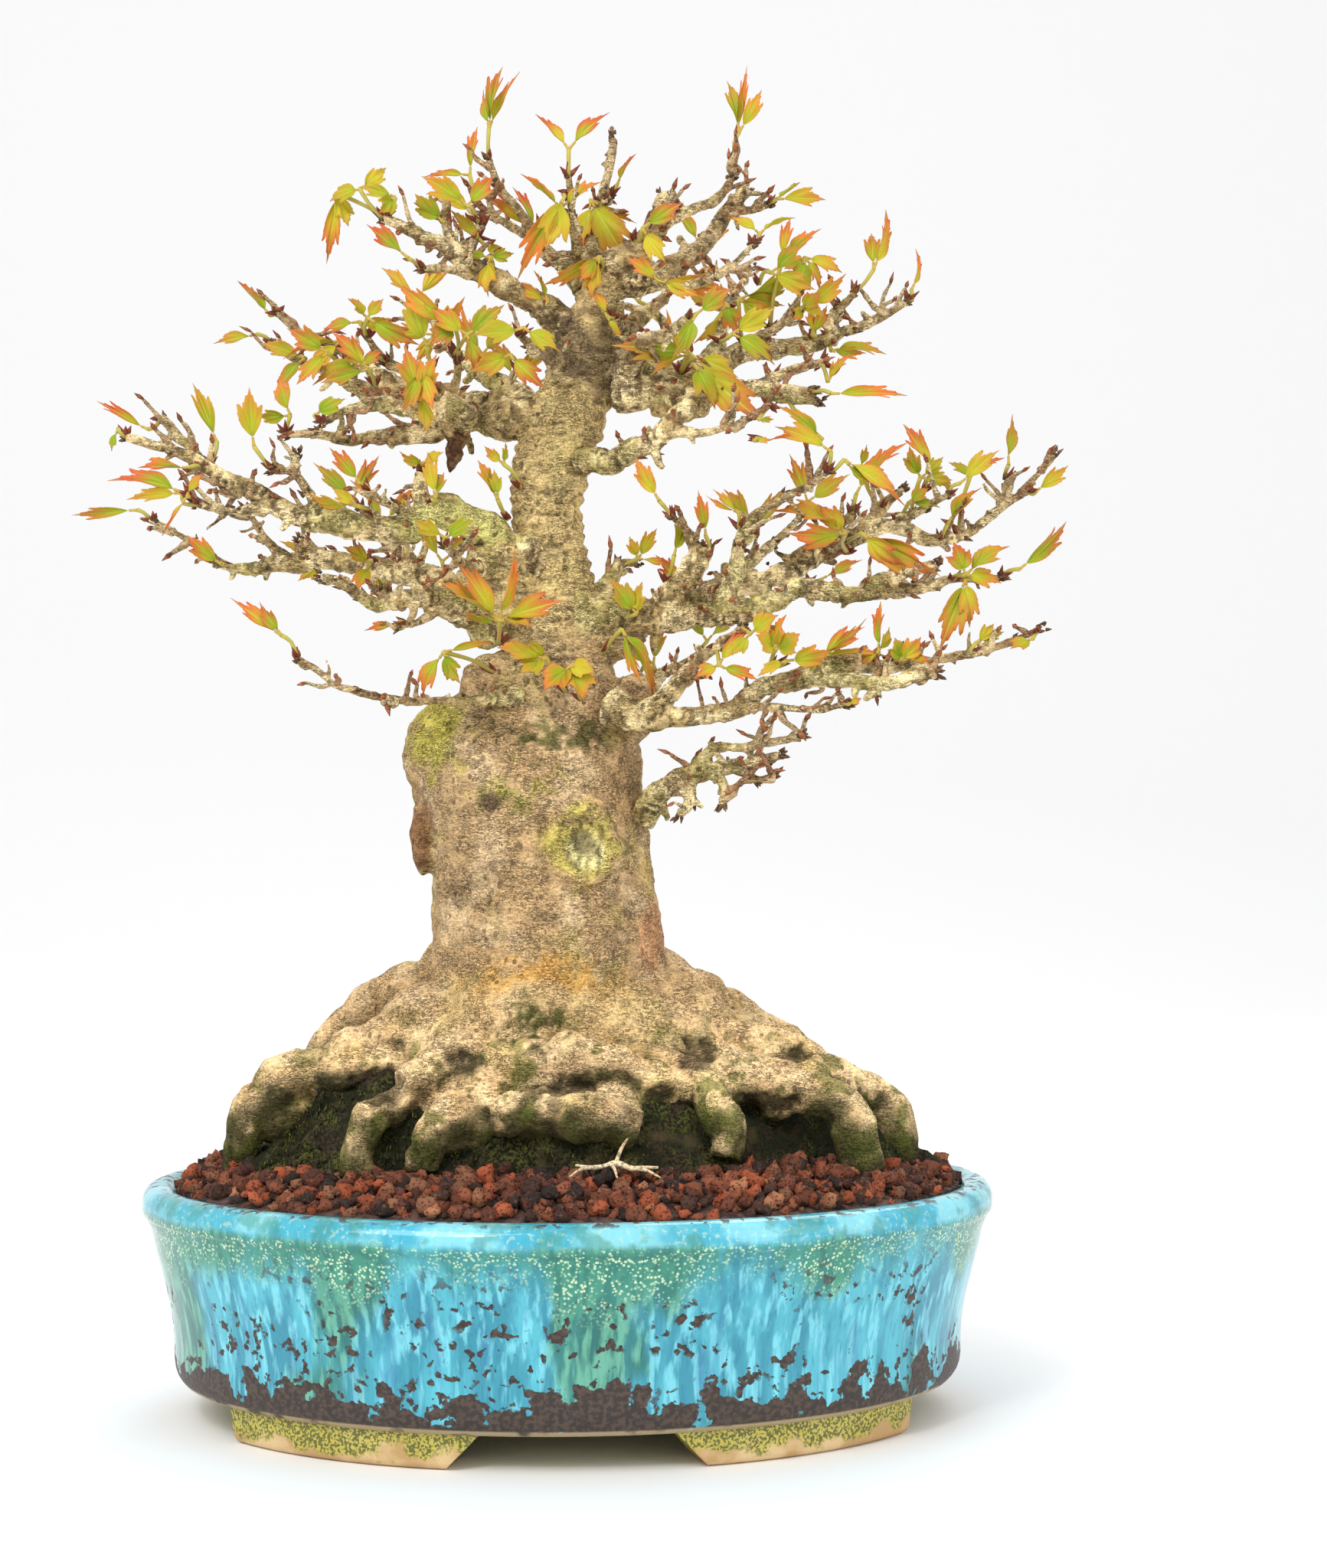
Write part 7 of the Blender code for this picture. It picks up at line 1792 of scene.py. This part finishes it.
def make_floor(colour):
    """A pale matt floor, just under the feet, that curves up into a backdrop."""
    climb = np.linspace(0.1, 1.0, 14) * math.pi / 2
    depth = np.concatenate([np.linspace(-1.6, 1.2, 12), 1.2 + 1.0 * np.sin(climb), np.full(5, 2.2)])
    lift = np.concatenate([np.zeros(12), 1.0 - np.cos(climb), np.linspace(1.3, 3.0, 5)])
    across = np.linspace(-3.2, 3.2, 9)
    points = np.stack([np.tile(across, len(depth)), np.repeat(depth, 9), np.repeat(lift, 9)], axis=1)
    points[:, 2] -= 0.0001
    floor = loose_object("studio_floor", (points, sheet_faces(len(depth), 9, False), np.zeros((0, 3), int)))
    floor.data.shade_smooth()
    material, tree = new_material("studio_white")
    shader = tree.nodes["Principled BSDF"]
    shader.inputs["Base Color"].default_value = (*colour, 1.0)
    shader.inputs["Roughness"].default_value = 0.7
    shader.inputs["Specular IOR Level"].default_value = 0.15
    floor.data.materials.append(material)
    return floor


def aimed(name, data, eye, aim):
    """A lamp or a camera at one point, turned toward another."""
    made = bpy.data.objects.new(name, data)
    made.location = eye
    made.rotation_euler = (Vector(aim) - Vector(eye)).to_track_quat("-Z", "Y").to_euler()
    bpy.context.scene.collection.objects.link(made)
    return made


# Lamps: where each is, what it is turned to, its width and height, and its share of the key's power (metres)
LAMPS = {
    "key": ((-0.75, -0.95, 1.25), (0.0, 0.0, 0.14), (0.9, 0.9), 1.0),
    "fill": ((1.1, -0.9, 0.6), (0.0, 0.0, 0.14), (1.0, 1.0), 0.35),
    "rim": ((0.3, 0.9, 1.1), (0.0, 0.0, 0.15), (0.8, 0.6), 0.35),
    "glint": ((-0.35, -0.75, 0.75), (0.0, 0.0, 0.08), (0.12, 0.12), 0.12),
}


def make_stage(settings):
    """The floor, a large soft key, a fill, a rim light and a small glint, a white sky and the camera."""
    staged = [make_floor(settings.floor)]
    for name, (spot, aim, size, share) in LAMPS.items():
        data = bpy.data.lights.new(name, "AREA")
        data.shape = "RECTANGLE"
        data.size, data.size_y = size
        data.energy = settings.key_power * share
        staged.append(aimed(name, data, spot, aim))
    world = bpy.data.worlds.new("white_sky")
    world.use_nodes = True
    sky = world.node_tree.nodes["Background"]
    sky.inputs["Color"].default_value = (1.0, 1.0, 1.0, 1.0)
    sky.inputs["Strength"].default_value = settings.sky_strength
    bpy.context.scene.world = world
    view = bpy.data.cameras.new("view")
    view.lens = settings.lens
    view.sensor_fit = "VERTICAL"
    view.sensor_height = 36.0
    view.clip_start = 0.02
    camera = aimed("view", view, settings.eye, settings.aim)
    bpy.context.scene.camera = camera
    bpy.context.scene.view_settings.view_transform = "Standard"
    staged.append(camera)


# ---------------------------------------------------------------- add-on

class WoodSettings(bpy.types.PropertyGroup):
    """Sizes of the wood's skins."""
    trunk_voxel: FloatProperty(name="Trunk voxel", description="Grid step of the trunk's skin",
                               default=0.00096, min=0.0005, max=0.003, unit="LENGTH")
    branch_voxel: FloatProperty(name="Branch voxel", description="Grid step of the branches' skins",
                                default=0.00052, min=0.0003, max=0.002, unit="LENGTH")
    bark: FloatVectorProperty(name="Bark", description="Colour of the trunk's bark", default=BARK, min=0.0,
                              max=1.0, subtype="COLOR")


class LeafSettings(bpy.types.PropertyGroup):
    """Detail and number of the young leaves."""
    columns: IntProperty(name="Columns", description="Points along a leaf's edge", default=37, min=9, max=81,
                         subtype="UNSIGNED")
    sprays: IntProperty(name="Sprays", description="Shoots between the frame's own", default=200, min=0,
                        max=200, subtype="UNSIGNED")


class GroundSettings(bpy.types.PropertyGroup):
    """Gravel and moss."""
    spacing: FloatProperty(name="Grain spacing", description="Step of the gravel's grid in mm", default=2.8,
                           min=2.0, max=8.0, subtype="NONE")
    tufts: IntProperty(name="Tufts", description="Tries at a spike of moss", default=16000, min=0, max=40000,
                       subtype="UNSIGNED")
    seed: IntProperty(name="Seed", description="Seed of the scattered pieces", default=7, min=0,
                      subtype="UNSIGNED")


class PotSettings(bpy.types.PropertyGroup):
    """Detail of the pot."""
    around: IntProperty(name="Around", description="Points round the pot's oval", default=220, min=44,
                        max=600, subtype="UNSIGNED")
    glaze: FloatVectorProperty(name="Glaze", description="Colour of the glaze between its streaks",
                               default=(0.09, 0.47, 0.58), min=0.0, max=1.0, subtype="COLOR")


class StageSettings(bpy.types.PropertyGroup):
    """Camera, light and floor."""
    floor: FloatVectorProperty(name="Floor", description="Colour of the floor and backdrop",
                               default=(0.90, 0.90, 0.905), min=0.0, max=1.0, subtype="COLOR")
    lens: FloatProperty(name="Lens", description="Focal length", default=58.2, min=20.0, max=200.0,
                        unit="CAMERA")
    eye: FloatVectorProperty(name="Eye", description="Where the camera is", default=(-0.015, -0.645, 0.140),
                             subtype="TRANSLATION", unit="LENGTH")
    aim: FloatVectorProperty(name="Aim", description="Point the camera looks at",
                             default=(0.0236, 0.0, 0.1565), subtype="TRANSLATION", unit="LENGTH")
    key_power: FloatProperty(name="Key power", description="Power of the key light", default=11.0, min=0.0,
                             unit="POWER")
    sky_strength: FloatProperty(name="Sky", description="Brightness of the white sky", default=0.93, min=0.0,
                                subtype="FACTOR")


class BONSAI_OT_trunk(bpy.types.Operator):
    """Trunk, flare and surface roots"""
    bl_idname = "bonsai.trunk"
    bl_label = "Trunk and roots"

    def execute(self, context):
        wood = context.scene.bonsai_wood
        coarse = 1.0
        make_trunk(kept("maple_bark", bark_material), wood.trunk_voxel * coarse, tuple(wood.bark))
        return {"FINISHED"}


class BONSAI_OT_branches(bpy.types.Operator):
    """Branches and twigs in groups, and the dark bud scales on them"""
    bl_idname = "bonsai.branches"
    bl_label = "Branches"

    def execute(self, context):
        wood = context.scene.bonsai_wood
        coarse = 1.0
        groups = {"branches_left": ("left",), "branches_right": ("right",), "branches_crown": ("crown",),
                  "branches_back": ("back", "front")}
        for name, words in groups.items():
            chosen = [branch for branch in BRANCHES if branch.split("_")[0] in words]
            make_branches(name, chosen, kept("maple_bark", bark_material), wood.branch_voxel * coarse)
        make_twiglets(kept("maple_bark", bark_material), 29)
        make_knots(kept("maple_bark", bark_material), 17)
        return {"FINISHED"}


class BONSAI_OT_leaves(bpy.types.Operator):
    """Young leaves on every shoot"""
    bl_idname = "bonsai.leaves"
    bl_label = "Leaves"

    def execute(self, context):
        leaves = context.scene.bonsai_leaves
        columns = leaves.columns
        make_leaves(kept("young_leaf", leaf_material), columns, leaves.sprays)
        return {"FINISHED"}


class BONSAI_OT_ground(bpy.types.Operator):
    """Gravel, moss and fine roots in the pot"""
    bl_idname = "bonsai.ground"
    bl_label = "Gravel and moss"

    def execute(self, context):
        ground = context.scene.bonsai_ground
        stone = kept("lava_gravel", gravel_material)
        make_gravel(stone, ground.spacing, ground.seed)
        make_moss(kept("moss", moss_material), ground.tufts, ground.seed + 1)
        fibre = kept("pale_root", lambda: fibre_material("pale_root"))
        make_fibres(fibre, 90, ground.seed + 2)
        make_rootlet(fibre)
        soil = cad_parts["soil"]
        dress(soil, kept("soil_under", earth_material))
        return {"FINISHED"}


class BONSAI_OT_pot(bpy.types.Operator):
    """Glazed oval pot and the screens over its drain holes"""
    bl_idname = "bonsai.pot"
    bl_label = "Pot"

    def execute(self, context):
        pot = context.scene.bonsai_pot
        around = pot.around
        make_pot(kept("turquoise_glaze", lambda: pot_glaze_material(tuple(pot.glaze))), around)
        plastic = kept("drainage_plastic", plastic_material)
        for name in ("drainage_mesh_left", "drainage_mesh_right"):
            dress(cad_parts[name], plastic)
        return {"FINISHED"}


class BONSAI_OT_dry_leaf(bpy.types.Operator):
    """Last year's leaf under the upper left tier"""
    bl_idname = "bonsai.dry_leaf"
    bl_label = "Dried leaf"

    def execute(self, context):
        make_dried_leaf(kept("dried_leaf", lambda: fibre_material("dried_leaf")))
        return {"FINISHED"}


class BONSAI_OT_stage(bpy.types.Operator):
    """Floor, lights, sky and camera"""
    bl_idname = "bonsai.stage"
    bl_label = "Stage"

    def execute(self, context):
        make_stage(context.scene.bonsai_stage)
        return {"FINISHED"}


class BONSAI_PT_panel(bpy.types.Panel):
    """Every piece of the bonsai, in the order it is built"""
    bl_label = "Maple bonsai"
    bl_space_type = "VIEW_3D"
    bl_region_type = "UI"
    bl_category = "Bonsai"

    def draw(self, context):
        for operator in OPERATORS:
            self.layout.operator(operator.bl_idname)


OPERATORS = (BONSAI_OT_pot, BONSAI_OT_trunk, BONSAI_OT_branches, BONSAI_OT_leaves, BONSAI_OT_ground,
             BONSAI_OT_dry_leaf, BONSAI_OT_stage)
SETTINGS = {"bonsai_wood": WoodSettings, "bonsai_leaves": LeafSettings, "bonsai_ground": GroundSettings,
            "bonsai_pot": PotSettings, "bonsai_stage": StageSettings}


def register():
    for group in SETTINGS.values():
        bpy.utils.register_class(group)
    for name, group in SETTINGS.items():
        setattr(bpy.types.Scene, name, PointerProperty(type=group))
    for operator in OPERATORS:
        bpy.utils.register_class(operator)
    bpy.utils.register_class(BONSAI_PT_panel)


def unregister():
    bpy.utils.unregister_class(BONSAI_PT_panel)
    for operator in reversed(OPERATORS):
        bpy.utils.unregister_class(operator)
    for name in SETTINGS:
        delattr(bpy.types.Scene, name)
    for group in reversed(list(SETTINGS.values())):
        bpy.utils.unregister_class(group)


def main():
    register()
    bpy.ops.bonsai.pot()
    bpy.ops.bonsai.trunk()
    bpy.ops.bonsai.branches()
    bpy.ops.bonsai.leaves()
    bpy.ops.bonsai.ground()
    bpy.ops.bonsai.dry_leaf()
    bpy.ops.bonsai.stage()


if __name__ == "__main__":
    main()
